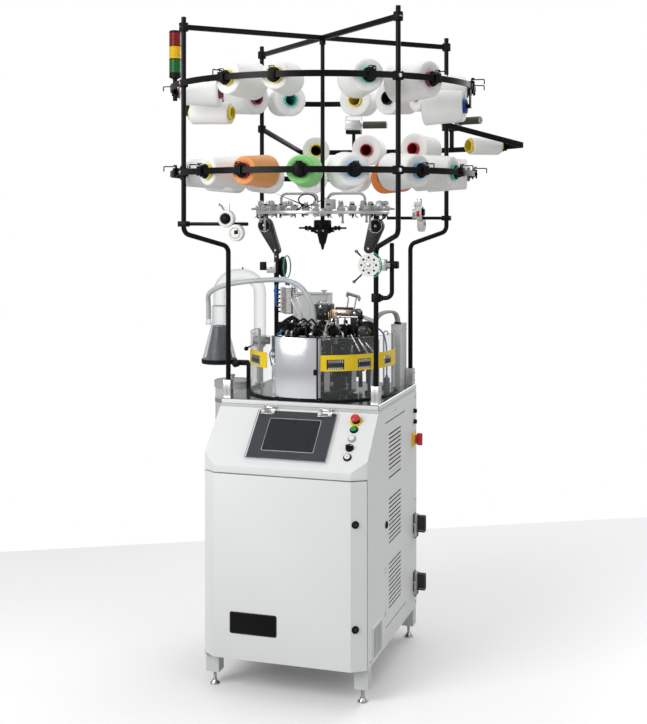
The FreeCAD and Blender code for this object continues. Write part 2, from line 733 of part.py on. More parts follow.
def right_side_panel():
    """Louvred panel with two long seam slots and a framed filter opening."""
    x0 = CABINET_X - SHEET
    panel = prism(side_outline(x0), vec(SHEET, 0, 0))
    cuts = []
    for low in LOUVRE_BANKS:
        for i in range(LOUVRE_SLOTS):
            z = low + i * LOUVRE_PITCH
            cuts.append(box(x0 - 1, CABINET_X + 1, LOUVRE_FRONT, LOUVRE_REAR, z, z + LOUVRE_SLOT_H))
    for front, rear, z in SEAM_SLOTS:
        cuts.append(box(x0 - 1, CABINET_X + 1, front, rear, z, z + SEAM_H))
    frame = box(x0, CABINET_X + 3, FILTER_FRONT, FILTER_REAR, FILTER_LOW, FILTER_HIGH)
    inner = (FILTER_FRONT + FILTER_FRAME, FILTER_REAR - FILTER_FRAME)
    pitch = (inner[1] - inner[0]) / FILTER_BARS
    for i in range(FILTER_BARS):
        y = inner[0] + i * pitch
        cuts.append(box(x0 - 1, CABINET_X + 4, y + 2, y + pitch - 2, FILTER_LOW + FILTER_FRAME,
                        FILTER_HIGH - FILTER_FRAME))
    panel = fuse([panel, frame])
    return panel.cut(Part.makeCompound(cuts))


def lock_place(z):
    """Centre of a lock on the right chamfer's outer face, with the face's outward direction."""
    along = vec(math.cos(CHAMFER_ANGLE), math.sin(CHAMFER_ANGLE), 0)
    corner = vec(CABINET_X - CHAMFER_X, CABINET_FRONT, z)
    return corner + along * LOCK_ALONG, vec(math.sin(CHAMFER_ANGLE), -math.cos(CHAMFER_ANGLE), 0), along


def front_door():
    """Folded pan with chamfered edges, closed at top and bottom, turning on two barrels."""
    low = CABINET_BOTTOM + SHEET
    high = CONSOLE_BOTTOM - DOOR_GAP
    outer = front_block(0, low, high, DOOR_BACK)
    inner = front_block(SHEET, low + SHEET, high - SHEET, DOOR_BACK + 1)
    pan = outer.cut(inner)
    barrels = []
    bores = []
    for z in (low, high - HINGE_BARREL_H):
        place = vec(HINGE_X, HINGE_Y, z)
        barrels.append(rod(HINGE_BARREL_R, HINGE_BARREL_H, place, Z_AXIS, POLE_SIDES))
        bores.append(bore(HINGE_PIN_R + HINGE_FIT, HINGE_BARREL_H + 2, place - Z_AXIS))
    for z in LOCK_HEIGHTS:
        centre, out, _ = lock_place(z)
        bores.append(bore(LOCK_BARREL_R + HINGE_FIT, 20, centre - out * 10, out))
    return fuse([pan] + barrels).cut(Part.makeCompound(bores))


def door_lock(z):
    """Quarter-turn lock: slotted head, barrel through the door and a cam behind it."""
    centre, out, along = lock_place(z)
    back = centre - out * LOCK_DEPTH
    body = faceted([(LOCK_BARREL_R, -LOCK_DEPTH), (LOCK_BARREL_R, RUN_FIT), (LOCK_HEAD_R, RUN_FIT),
                    (LOCK_HEAD_R, 5)],
                   SMALL_SIDES, centre, out)
    cam = bar_between(back - along * 6, back + along * LOCK_CAM_L, 3.0, 9.0)
    slot = bar_between(centre + out * 5 - along * 8, centre + out * 5 + along * 8, 4.0, 3.0)
    return fuse([body, cam]).cut(slot)


def console_panel():
    """Folded console: upright lip, sloping face, tapering chamfers and a flange that rests on the frame."""
    top = COVER_TOP
    rear = slope_line(0, top) + 4
    full = CABINET_X

    def section(inset, low, high, back):
        outline = [(CABINET_FRONT + inset, low), (CABINET_FRONT + inset, slope_knee(inset))]
        outline += [(slope_line(inset, high), high), (back, high), (back, low)]
        return prism([vec(-full, y, z) for y, z in outline], vec(2 * full, 0, 0))

    outer = section(0, CONSOLE_BOTTOM, top, rear).common(front_block(0, CONSOLE_BOTTOM, top, rear))
    inner = section(SHEET, CONSOLE_BOTTOM + SHEET, top + 20, rear + 30)
    inner = inner.common(front_block(SHEET, CONSOLE_BOTTOM, top + 20, rear + 30).fuse(
        box(-full, full, PANEL_FRONT, rear + 30, CONSOLE_BOTTOM, top + 20)))
    shell = outer.cut(inner)
    shell = shell.cut(box(-full, full, POST_FRONT + POST, rear + 1, CONSOLE_BOTTOM, CONSOLE_BOTTOM + SHEET))
    for x0, x1 in ((-full, SHEET - full), (full - SHEET, full)):
        shell = shell.cut(box(x0, x1, PANEL_FRONT, POST_FRONT + POST, CONSOLE_BOTTOM, CONSOLE_BOTTOM + SHEET))
    cuts = [box(TERMINAL_X - TERMINAL_BODY_W / 2 - 2, TERMINAL_X + TERMINAL_BODY_W / 2 + 2,
                TERMINAL_S - TERMINAL_BODY_H / 2 - 2, TERMINAL_S + TERMINAL_BODY_H / 2 + 2, -9, 1)]
    for s in [STOP_S] + list(BUTTON_S.values()):
        cuts.append(bore(BEZEL_BODY_R, 10, vec(BUTTON_X, s, -9), Z_AXIS, BEZEL_SIDES))
    return shell.cut(on_slope(Part.makeCompound(cuts)))


def operator_terminal():
    """Panel computer: flat front with a sunk screen, body behind the console sheet."""
    half_w = TERMINAL_W / 2
    half_h = TERMINAL_H / 2
    face = box(TERMINAL_X - half_w, TERMINAL_X + half_w, TERMINAL_S - half_h, TERMINAL_S + half_h, 0,
               TERMINAL_FACE)
    body = box(TERMINAL_X - TERMINAL_BODY_W / 2, TERMINAL_X + TERMINAL_BODY_W / 2,
               TERMINAL_S - TERMINAL_BODY_H / 2, TERMINAL_S + TERMINAL_BODY_H / 2, -TERMINAL_BODY_D, 0)
    screen = box(TERMINAL_X - SCREEN_W / 2, TERMINAL_X + SCREEN_W / 2,
                 TERMINAL_S - SCREEN_H / 2, TERMINAL_S + SCREEN_H / 2, TERMINAL_FACE - SCREEN_DEEP,
                 TERMINAL_FACE)
    return on_slope(fuse([face, body]).cut(screen))


def screen_cover():
    """Clear flap over the terminal with a hinge leaf and knuckle at each hinge."""
    low = TERMINAL_FACE + SEAT
    x0 = TERMINAL_X - COVER_W / 2
    parts = [box(x0, x0 + COVER_W, COVER_S0, HINGE_S - 9, low, low + COVER_T)]
    bores = []
    for x in HINGE_CENTRES:
        half = KNUCKLE_W / 2
        parts.append(rod(KNUCKLE_R, KNUCKLE_W, vec(x - half, HINGE_S, HINGE_H), X_AXIS, POLE_SIDES))
        parts.append(box(x - half, x + half, HINGE_S - 30, HINGE_S - 3, low + COVER_T - 2,
                         low + COVER_T + 1.5))
        bores.append(bore(COVER_PIN_R + RUN_FIT, KNUCKLE_W + 2, vec(x - half - 1, HINGE_S, HINGE_H),
                          X_AXIS, POLE_SIDES))
    return on_slope(fuse(parts).cut(Part.makeCompound(bores)))


def hinge_leaf(x):
    """Fixed hinge half: two lugs on the console joined by the pin."""
    half = KNUCKLE_W / 2 + SEAT
    lugs = [box(x - half - LUG_W, x - half, HINGE_S - 7, HINGE_S + 7, 0, HINGE_H + 5),
            box(x + half, x + half + LUG_W, HINGE_S - 7, HINGE_S + 7, 0, HINGE_H + 5)]
    pin = rod(COVER_PIN_R, 2 * half, vec(x - half, HINGE_S, HINGE_H), X_AXIS, POLE_SIDES)
    return on_slope(fuse(lugs + [pin]))


def bezel(s):
    """Threaded collar of a push button, hollow for the plunger."""
    r = BUTTON_R + 2 * RUN_FIT
    outline = [(BEZEL_BODY_R, -BEZEL_BODY_L), (BEZEL_BODY_R, 0), (BEZEL_R, 0), (BEZEL_R, BEZEL_H),
               (r, BEZEL_H), (r, -14.0)]
    return on_slope(faceted(outline, BEZEL_SIDES, vec(BUTTON_X, s, 0)))


def stop_bezel():
    """Round plate and collar of the emergency stop."""
    r = BUTTON_R + 2 * RUN_FIT
    outline = [(BEZEL_BODY_R, -BEZEL_BODY_L), (BEZEL_BODY_R, 0), (STOP_PLATE_R, 0),
               (STOP_PLATE_R, STOP_PLATE_H),
               (BEZEL_R, STOP_PLATE_H), (BEZEL_R, STOP_COLLAR_H), (r, STOP_COLLAR_H), (r, -14.0)]
    return on_slope(faceted(outline, BEZEL_SIDES, vec(BUTTON_X, STOP_S, 0)))


def push_button(s):
    outline = [(BUTTON_R, -10.0), (BUTTON_R, BEZEL_H + BUTTON_STANDS)]
    return on_slope(faceted(outline, BEZEL_SIDES, vec(BUTTON_X, s, 0)))


def selector_knob():
    """Knob with a grip bar across it."""
    s = BUTTON_S["selector_knob"]
    foot = BEZEL_H + SEAT
    neck = BUTTON_R - 1.0
    body = faceted([(neck, -10), (neck, foot), (BEZEL_R - 1.5, foot), (BEZEL_R - 1.5, foot + 4)],
                   BEZEL_SIDES, vec(BUTTON_X, s, 0))
    grip = box(BUTTON_X - 12, BUTTON_X + 12, s - 3.5, s + 3.5, foot + 4, foot + 13)
    return on_slope(fuse([body, grip]))


def emergency_stop():
    """Mushroom head on a plunger."""
    under = STOP_COLLAR_H + STOP_TRAVEL + SEAT
    outline = [(BUTTON_R, -9.0), (BUTTON_R, under), (STOP_HEAD_R - 2, under), (STOP_HEAD_R, under + 3),
               (STOP_HEAD_R - 3, under + STOP_HEAD_H - 2), (STOP_HEAD_R - 9, under + STOP_HEAD_H)]
    return on_slope(faceted(outline, BEZEL_SIDES, vec(BUTTON_X, STOP_S, 0)))


def main_switch_plate():
    """Square plate of the main switch with its round boss."""
    half = SWITCH_PLATE / 2
    plate = box(CABINET_X, CABINET_X + 3, SWITCH_Y - half, SWITCH_Y + half, SWITCH_Z - half, SWITCH_Z + half)
    boss = rod(20, SWITCH_BASE_H, vec(CABINET_X, SWITCH_Y, SWITCH_Z), X_AXIS, SMALL_SIDES)
    well = bore(8 + RUN_FIT, SWITCH_BASE_H, vec(CABINET_X + 2, SWITCH_Y, SWITCH_Z), X_AXIS, POLE_SIDES)
    return fuse([plate, boss]).cut(well)


def main_switch_handle():
    base = vec(CABINET_X, SWITCH_Y, SWITCH_Z)
    start = SWITCH_BASE_H + SEAT
    body = faceted([(8, 3), (8, start), (19, start), (19, start + 6)], SMALL_SIDES, base, X_AXIS)
    grip = box(CABINET_X + start + 6, CABINET_X + start + HANDLE_H, SWITCH_Y - 6, SWITCH_Y + 6,
               SWITCH_Z - 24, SWITCH_Z + 24)
    return fuse([body, grip])


def connector_housing(z):
    """Surface housing with a mating hood and a pivot pin for the locking lever."""
    y0 = CONNECTOR_Y - CONNECTOR_W / 2
    y1 = CONNECTOR_Y + CONNECTOR_W / 2
    half = CONNECTOR_H / 2
    foot = box(CABINET_X, CABINET_X + 16, y0 + 4, y1 - 4, z - half, z + half)
    hood = box(CABINET_X + 16, CABINET_X + CONNECTOR_D, y0 + 8, y1 - 8, z - half + 6, z + half - 6)
    pin = rod(LEVER_PIN_R, CONNECTOR_W, vec(CABINET_X + LEVER_PIN_OUT, y0, z), Y_AXIS, POLE_SIDES)
    return fuse([foot, hood, pin])


def connector_lever(z):
    """Locking bail: two arms that hang from the pin past the hood, joined by a bar below it."""
    y0 = CONNECTOR_Y - CONNECTOR_W / 2
    y1 = CONNECTOR_Y + CONNECTOR_W / 2
    x = CABINET_X + LEVER_PIN_OUT - LEVER_W / 2
    foot = z - LEVER_L - LEVER_BAR
    top = z + LEVER_W
    outline = [(y0, top), (y0, foot), (y1, foot), (y1, top), (y1 - LEVER_T, top),
               (y1 - LEVER_T, foot + LEVER_BAR),
               (y0 + LEVER_T, foot + LEVER_BAR), (y0 + LEVER_T, top)]
    bail = prism([vec(x, y, t) for y, t in outline], vec(LEVER_W, 0, 0))
    pin = vec(CABINET_X + LEVER_PIN_OUT, y0 - 1, z)
    return bail.cut(bore(LEVER_PIN_R + RUN_FIT, CONNECTOR_W + 2, pin, Y_AXIS, POLE_SIDES))


def table_plate():
    """Polished table with the bearing bore and the four aluminium pole sockets."""
    plate = box(-TABLE_X, TABLE_X, -TABLE_Y, TABLE_Y, TABLE_TOP - TABLE_T, TABLE_TOP)
    blocks = []
    cuts = [bore(TABLE_BORE_R + SEAT, TABLE_T + 2, vec(0, 0, TABLE_TOP - TABLE_T - 1), Z_AXIS, FINE_SIDES)]
    for x, y in corner_places(SOCKET_X, SOCKET_Y):
        half = SOCKET / 2
        blocks.append(box(x - half, x + half, y - half, y + half, TABLE_TOP, TABLE_TOP + SOCKET_H))
        cuts.append(pole_bore(x, y, TABLE_TOP + 5, SOCKET_H))
    return fuse([plate] + blocks).cut(Part.makeCompound(cuts))


def corner_places(x, y):
    return [(-x, -y), (x, -y), (-x, y), (x, y)]


# ---------------------------------------------------------------- drive
def main_motor():
    """Square servo motor hanging from the motor plate."""
    hang = TABLE_TOP - TABLE_T - RAIL_H - MOTOR_PLATE_T
    flange = box(-MOTOR_HALF - 8, MOTOR_HALF + 8, MOTOR_Y - MOTOR_HALF - 8, MOTOR_Y + MOTOR_HALF + 8,
                 hang - 10, hang)
    cut = MOTOR_HALF - 14
    outline = [(MOTOR_HALF, cut), (cut, MOTOR_HALF), (-cut, MOTOR_HALF), (-MOTOR_HALF, cut)]
    outline += [(-x, -y) for x, y in outline]
    body = prism([vec(x, MOTOR_Y + y, hang - MOTOR_L) for x, y in outline], vec(0, 0, MOTOR_L))
    lid = rod(MOTOR_HALF - 8, 12, vec(0, MOTOR_Y, hang - MOTOR_L - 12), Z_AXIS, ROUND_SIDES)
    return fuse([flange, body, lid])


def motor_pulley():
    """Motor shaft with its pulley."""
    hang = TABLE_TOP - TABLE_T - RAIL_H - MOTOR_PLATE_T
    outline = [(SHAFT_R, hang), (SHAFT_R, PULLEY_LOW), (MOTOR_PULLEY_R, PULLEY_LOW),
               (MOTOR_PULLEY_R, PULLEY_LOW + PULLEY_H)]
    return faceted(outline, ROUND_SIDES, vec(0, MOTOR_Y, 0))


def drive_belt():
    """Endless belt round the motor pulley and the cylinder pulley."""
    low = PULLEY_LOW + (PULLEY_H - BELT_H) / 2
    lean = math.degrees(math.asin((PULLEY_R - MOTOR_PULLEY_R) / MOTOR_Y))

    def loop(gap):
        points = []
        for radius, centre_y, start, span in ((MOTOR_PULLEY_R, MOTOR_Y, lean, 180 - 2 * lean),
                                              (PULLEY_R, 0, 180 - lean, 180 + 2 * lean)):
            corner_r = (radius + gap) / math.cos(math.radians(span / BELT_STEPS / 2))
            for i in range(BELT_STEPS + 1):
                points.append(polar(corner_r, start + span * i / BELT_STEPS, low) + vec(0, centre_y, 0))
        return prism(points, vec(0, 0, BELT_H))

    return loop(BELT_GAP + BELT_T).cut(loop(BELT_GAP))


# ---------------------------------------------------------------- creel
def creel_pole(sx, sy):
    """Steel tube bent outwards above the head and upright again."""
    points = [vec(sx * SOCKET_X, sy * SOCKET_Y, TABLE_TOP + 5),
              vec(sx * SOCKET_X, sy * SOCKET_Y, POLE_KNEE_Z),
              vec(sx * POLE_TOP_X, sy * POLE_TOP_Y, POLE_SHOULDER_Z),
              vec(sx * POLE_TOP_X, sy * POLE_TOP_Y, POLE_TOP)]
    return mitred(points, [POLE_BEND_R, POLE_BEND_R], POLE_R, POLE_SIDES)


def centre_frame():
    """Welded cross of two bars clamped to the poles, with the centre pole hanging from it."""
    parts = [rod(CENTRE_POLE_R, CROSS_Z - HEAD_GUIDE_TOP, vec(0, 0, HEAD_GUIDE_TOP), Z_AXIS, POLE_SIDES)]
    for sx, sy in ((1, 1), (-1, 1)):
        end = vec(sx * POLE_TOP_X, sy * POLE_TOP_Y, CROSS_Z)
        parts.append(bar_between(vec(-end.x, -end.y, CROSS_Z), end, CROSS_BAR, CROSS_BAR))
    bores = []
    for x, y in corner_places(POLE_TOP_X, POLE_TOP_Y):
        place = vec(x, y, CROSS_Z - SADDLE_H / 2)
        parts.append(rod(POLE_R + CLAMP_WALL, SADDLE_H, place, Z_AXIS, POLE_SIDES))
        bores.append(pole_bore(x, y, place.z - 1, SADDLE_H + 2))
    return fuse(parts).cut(Part.makeCompound(bores))


def creel_ring(z):
    """Rolled flat bar outside the poles with a clamp block bolted to each pole."""
    parts = [tube(RING_IN + RING_BAR_T, RING_IN, RING_BAR_H, vec(0, 0, z - RING_BAR_H / 2), Z_AXIS,
                  RING_SIDES)]
    cuts = []
    for x, y in corner_places(POLE_TOP_X, POLE_TOP_Y):
        azimuth = math.degrees(math.atan2(y, x))
        inner = math.hypot(x, y) - POLE_R - SADDLE_WALL
        block = box(inner, RING_IN + 1, -SADDLE_W / 2, SADDLE_W / 2, z - SADDLE_H / 2, z + SADDLE_H / 2)
        parts.append(turned_to(block, azimuth))
        cuts.append(pole_bore(x, y, z - SADDLE_H / 2 - 1, SADDLE_H + 2))
    return fuse(parts).cut(Part.makeCompound(cuts))


def rear_ring():
    """Rear arc carried by two struts from the rear poles."""
    half = RING_BAR_H / 2
    parts = [arc_wall(REAR_R, REAR_R + RING_BAR_T, REAR_Z - half, REAR_Z + half, REAR_FROM, REAR_TO)]
    cuts = []
    for sx, azimuth in ((1, REAR_FROM), (-1, REAR_TO)):
        pole = vec(sx * POLE_TOP_X, POLE_TOP_Y, STRUT_DROP_Z)
        tip = polar(REAR_R + RING_BAR_T / 2, azimuth, REAR_Z)
        parts.append(bar_between(pole, tip, 8.0, RING_BAR_H))
        parts.append(rod(POLE_R + CLAMP_WALL, SADDLE_H, pole - Z_AXIS * (SADDLE_H / 2), Z_AXIS, POLE_SIDES))
        cuts.append(pole_bore(pole.x, pole.y, STRUT_DROP_Z - 40, 80))
    return fuse(parts).cut(Part.makeCompound(cuts))


def package_set(ring_in, z, azimuth, drop, size):
    """One holder, yarn package and core, drawn at azimuth 0 and turned to its place."""
    outer_r, inner_r, length = size
    half = RING_BAR_H / 2
    slot_in = ring_in * math.cos(math.pi / RING_SIDES) - SEAT
    slot_out = ring_in + RING_BAR_T + SEAT
    core_out = ring_in - CORE_BACK
    plug = core_out - PLUG_L
    grip = (CORE_R - CORE_WALL) * math.cos(math.pi / CORE_SIDES) - SEAT
    outline = [(slot_out + 6, grip), (slot_out + 6, -half - 5), (slot_out, -half - 5),
               (slot_out, half + SEAT),
               (slot_in, half + SEAT), (slot_in, -drop - grip), (plug, -drop - grip), (plug, grip - drop)]
    if drop:
        outline += [(core_out + 2, grip - drop), (core_out + 2, grip)]
    holder = prism([vec(x, -CLAMP_W / 2, t) for x, t in outline], vec(0, CLAMP_W, 0))
    core_length = length + 2 * CORE_SHOW
    core = tube(CORE_R, CORE_R - CORE_WALL, core_length, vec(core_out - core_length, 0, -drop), X_AXIS,
                CORE_SIDES)
    start = core_out - CORE_SHOW - length
    yarn = faceted([(inner_r, 0), (outer_r, length)], PACKAGE_SIDES, vec(start, 0, -drop), X_AXIS)
    yarn = yarn.cut(rod(CORE_R + YARN_GAP, length + 2, vec(start - 1, 0, -drop), X_AXIS, CORE_SIDES))
    out = []
    for shape in (holder, yarn, core):
        shape = turned_to(shape, azimuth)
        shape.translate(vec(0, 0, z))
        out.append(shape)
    return out


def signal_tower():
    """Three lamp segments over a base, on a stem clamped to the upper ring's left end."""
    place = vec(TOWER_X, 0, 0)
    z = TOWER_BASE_Z
    top = z + sum(TOWER_SEGMENTS)
    body = faceted([(TOWER_STEM_R, RING_UPPER_Z - RING_BAR_H), (TOWER_STEM_R, z), (TOWER_R, z),
                    (TOWER_R, top),
                    (TOWER_R - 3, top), (TOWER_R - 3, top + TOWER_CAP)], ROUND_SIDES, place)
    face = -(RING_IN + RING_BAR_T) * math.cos(math.pi / RING_SIDES) - SEAT
    bracket = box(TOWER_X, face, -7, 7, RING_UPPER_Z - 10, RING_UPPER_Z + 10)
    return fuse([body, bracket])


def roller_drive(azimuth):
    """Drive box on a post that stands on the rear arc."""
    w, d, h = ROLLER_BOX
    low = ROLLER_Z - h / 2
    middle = REAR_R + RING_BAR_T / 2
    half = ROLLER_POST / 2
    casing = box(middle - d / 2, middle + d / 2, -w / 2, w / 2, low, low + h)
    post = box(middle - half, middle + half, -half, half, REAR_Z + RING_BAR_H / 2, low)
    shaft_hole = bore(ROLLER_SHAFT_R + RUN_FIT, 24, vec(middle, -w / 2 - 1, ROLLER_Z), Y_AXIS, POLE_SIDES)
    return turned_to(fuse([casing, post]).cut(shaft_hole), azimuth)


def drive_roller(azimuth):
    """Rubber roll on a shaft that turns in the drive box."""
    base = vec(REAR_R + RING_BAR_T / 2, -ROLLER_BOX[0] / 2, ROLLER_Z)
    gap = 6
    outline = [(ROLLER_SHAFT_R, -20), (ROLLER_SHAFT_R, gap), (ROLLER_R, gap), (ROLLER_R, gap + ROLLER_L)]
    return turned_to(faceted(outline, SMALL_SIDES, base, vec(0, -1, 0)), azimuth)


# ---------------------------------------------------------------- yarn guiding
def feeder_ring():
    """Ring on four spokes round the centre pole, with tensioner blocks and two carrying handles."""
    z0 = FEED_RING_Z
    z1 = z0 + FEED_RING_T
    sides = TENSIONERS + 8
    parts = [tube(FEED_RING_R, FEED_RING_R - FEED_RING_W, FEED_RING_T, vec(0, 0, z0), Z_AXIS, sides),
             tube(24, CENTRE_POLE_R + RUN_FIT, 30, vec(0, 0, z0 - 9), Z_AXIS, POLE_SIDES)]
    for azimuth in (0, 90, 180, 270):
        spoke = box(20, FEED_RING_R - FEED_RING_W + 2, -SPOKE_W / 2, SPOKE_W / 2, z0, z1)
        parts.append(turned_to(spoke, azimuth))
    for i in range(TENSIONERS):
        azimuth = 360.0 * (i + 0.5) / TENSIONERS
        block = box(FEED_RING_R - 27, FEED_RING_R + 8, -11, 11, z1, z1 + TENSIONER_Z)
        parts.append(turned_to(block, azimuth))
    for side in (-1, 1):
        x0, x1 = sorted((side * 20, side * 170))
        rise = FEED_RING_Z + 78
        points = [vec(x0, 0, z1 - 1), vec(x0, 0, rise), vec(x1, 0, rise), vec(x1, 0, z1 - 1)]
        parts.append(mitred(points, [18, 18], 5, 6, 2))
    return fuse(parts)


def centre_guide_head():
    """Yarn guide hung on the centre pole: body, cone and two eyelet arms."""
    outline = [(3, HEAD_GUIDE_TIP), (22, HEAD_GUIDE_WAIST), (HEAD_GUIDE_R, HEAD_GUIDE_WAIST + 4),
               (HEAD_GUIDE_R, HEAD_GUIDE_TOP)]
    z = HEAD_GUIDE_WAIST + 18
    parts = [faceted(outline, ROUND_SIDES, CENTRE)]
    for side in (-1, 1):
        x0, x1 = sorted((side * (HEAD_GUIDE_R - 3), side * (HEAD_GUIDE_R + 46)))
        parts.append(box(x0, x1, -4, 4, z, z + 8))
        parts.append(tube(9, 5, 6, vec(side * (HEAD_GUIDE_R + 52), 0, z + 1), Z_AXIS, POLE_SIDES))
    return fuse(parts)


def knee_plate(upper, lower):
    """Cover of a tension device: a large eye tapering to a small one."""
    (x0, z0, r0), (x1, z1, r1) = upper, lower
    heading = math.degrees(math.atan2(z1 - z0, x1 - x0))
    lean = math.degrees(math.acos((r0 - r1) / math.hypot(x1 - x0, z1 - z0)))
    points = []
    for x, z, r, start, span in ((x0, z0, r0, heading + lean, 360 - 2 * lean),
                                 (x1, z1, r1, heading - lean, 2 * lean)):
        for i in range(KNEE_STEPS + 1):
            angle = math.radians(start + span * i / KNEE_STEPS)
            points.append(vec(x + r * math.cos(angle), KNEE_Y - ARM_T / 2, z + r * math.sin(angle)))
    return prism(points, vec(0, ARM_T, 0))


def tension_arms():
    """Left and right tension devices hanging from the feeder ring, with the left column below."""
    arms = []
    for upper, lower in (LEFT_KNEE, RIGHT_KNEE):
        parts = [knee_plate(upper, lower)]
        parts.append(box(upper[0] - 9, upper[0] + 9, KNEE_Y - 9, KNEE_Y + 9, upper[1], FEED_RING_Z))
        if (upper, lower) == LEFT_KNEE:
            x = lower[0]
            parts.append(box(x - 8, x + 8, KNEE_Y - 8, KNEE_Y + 8, COLUMN_FOOT_Z, lower[1]))
        arms.append(fuse(parts))
    return arms


def feeder_body(x, y, z, turn):
    """Measuring feeder: two discs joined into one body, drilled for its wheel."""
    dx, dz = FEEDER_STEP
    parts = [rod(FEEDER_R, FEEDER_T, CENTRE, Y_AXIS, ROUND_SIDES),
             rod(FEEDER_R, FEEDER_T, vec(dx, 0, dz), Y_AXIS, ROUND_SIDES)]
    parts.append(box(-8, 8, FEEDER_T - 8, FEEDER_T, -8, FEEDER_R + 24))
    body = fuse(parts).cut(bore(4 + RUN_FIT, 12, vec(0, -1, 0), Y_AXIS, POLE_SIDES))
    body.rotate(CENTRE, Z_AXIS, turn)
    body.translate(vec(x, y, z))
    return body


def feeder_wheel(x, y, z, turn):
    """Toothed yarn wheel on a short shaft."""
    points = []
    for i in range(4 * WHEEL_PINS):
        angle = 2 * math.pi * (i + 0.5) / (4 * WHEEL_PINS)
        radius = WHEEL_R if i % 4 < 2 else WHEEL_R - 5
        points.append(vec(radius * math.cos(angle), -8, radius * math.sin(angle)))
    wheel = fuse([rod(4, 10, vec(0, -1, 0), Y_AXIS, POLE_SIDES), prism(points, vec(0, 8 - SEAT, 0))])
    wheel.rotate(CENTRE, Z_AXIS, turn)
    wheel.translate(vec(x, y, z))
    return wheel


LEFT_FEEDER = (LEFT_FEEDER_X, -(POLE_TOP_Y + FEED_BAR_R + FEEDER_T), LEFT_BAR_Z + 19, 0.0)
RIGHT_FEEDER = (RIGHT_FEEDER_X, POLE_TOP_Y, RIGHT_BAR_Z + 24, 90.0)


def yarn_feeders():
    """Two side bars clamped to the poles, each with its measuring feeder."""
    solids = []
    for side, z, end, place in ((-1, LEFT_BAR_Z, LEFT_BAR_END, LEFT_FEEDER),
                                (1, RIGHT_BAR_Z, RIGHT_BAR_END, RIGHT_FEEDER)):
        pole = vec(side * POLE_TOP_X, side * POLE_TOP_Y, z)
        half = POLE_R + CLAMP_WALL
        clamp = box(pole.x - half, pole.x + half, pole.y - half, pole.y + half, z - 10, z + 10)
        clamp = clamp.cut(pole_bore(pole.x, pole.y, z - 20, 40))
        x0, x1 = sorted((pole.x - side * (half - 1), end))
        bar = rod(FEED_BAR_R, x1 - x0, vec(x0, pole.y, z), X_AXIS, POLE_SIDES)
        solids.append(fuse([clamp, bar, feeder_body(*place)]))
    return solids


def elastic_disc(centre, axis):
    """Holed storage disc with a hub shaft."""
    disc = rod(ELASTIC_R, ELASTIC_T, centre, axis, ROUND_SIDES)
    shaft = rod(4, ELASTIC_SHAFT, centre + axis * ELASTIC_T, axis, POLE_SIDES)
    side = Z_AXIS.cross(axis)
    holes = []
    for i in range(ELASTIC_HOLES):
        angle = 2 * math.pi * i / ELASTIC_HOLES
        place = centre + Z_AXIS * (28 * math.cos(angle)) + side * (28 * math.sin(angle)) - axis
        holes.append(rod(ELASTIC_HOLE_R, ELASTIC_T + 2, place, axis, 6))
    return fuse([disc, shaft]).cut(Part.makeCompound(holes))


def elastic_feeders():
    """Right feeder on its bent tube, left feeder on the tension column, each a motor box behind a disc."""
    x, y, z = RIGHT_DISC
    back = y + ELASTIC_T + SEAT
    pole_y = -SOCKET_Y
    motor = box(x - 12, x + 62, back, back + 30, z - 20, z + 20)
    arm = box(x + 40, J_TUBE_X, back + 10, pole_y + 6, z - 8, z + 8)
    points = [vec(SOCKET_X + POLE_R + 1, pole_y, J_TUBE_LOW), vec(J_TUBE_X, pole_y, J_TUBE_LOW),
              vec(J_TUBE_X, pole_y, J_TUBE_HIGH)]
    bend = mitred(points, [24], J_TUBE_R, POLE_SIDES)
    collar = rod(POLE_R + CLAMP_WALL, 30, vec(SOCKET_X, pole_y, J_TUBE_LOW - 15), Z_AXIS, POLE_SIDES)
    right = fuse([motor, arm, bend, collar])
    right = right.cut(pole_bore(SOCKET_X, pole_y, J_TUBE_LOW - 20, 40))
    right = right.cut(bore(4 + RUN_FIT, ELASTIC_SHAFT, vec(x, back - SEAT, z), Y_AXIS, POLE_SIDES))
    x, y, z = LEFT_DISC
    face = x - ELASTIC_T - SEAT
    left = box(face - 54, face, KNEE_Y + 8, y + 18, z - 20, z + 20)
    left = left.cut(bore(4 + RUN_FIT, ELASTIC_SHAFT, vec(face + SEAT, y, z), vec(-1, 0, 0), POLE_SIDES))
    return [right, left]


# ---------------------------------------------------------------- guard
def guard():
    """Black base ring on the table, two clear curved panels and their posts."""
    low = TABLE_TOP + BASE_RING_H
    high = TABLE_TOP + GUARD_H
    parts = [arc_wall(GUARD_R - 5, BASE_RING_OUT, TABLE_TOP, low, GUARD_LEFT[0], GUARD_RIGHT[1])]
    for start, end in (GUARD_LEFT, GUARD_RIGHT):
        parts.append(arc_wall(GUARD_R, GUARD_R + GUARD_T, low, high, start, end))
    for azimuth in (GUARD_LEFT[0] + 1, GUARD_RIGHT[0], GUARD_RIGHT[1] - 1):
        parts.append(rod(GUARD_POST_R, high - low, polar(GUARD_R - 2, azimuth, low), Z_AXIS, POLE_SIDES))
    return fuse(parts)


def guard_band():
    """Yellow band on the clear panels, cut out round the finger levers."""
    r0 = GUARD_R + GUARD_T
    pieces = []
    cuts = []
    for start, end in BAND_PIECES:
        pieces.append(arc_wall(r0, r0 + BAND_T, BAND_LOW, BAND_HIGH, start, end))
    for start, end in BAND_WINDOWS:
        cuts.append(arc_wall(r0 - 1, r0 + BAND_T + 1, BAND_LOW + WINDOW_MARGIN[0],
                             BAND_HIGH - WINDOW_MARGIN[1], start, end))
    cutter = Part.makeCompound(cuts)
    return [piece.cut(cutter) for piece in pieces]


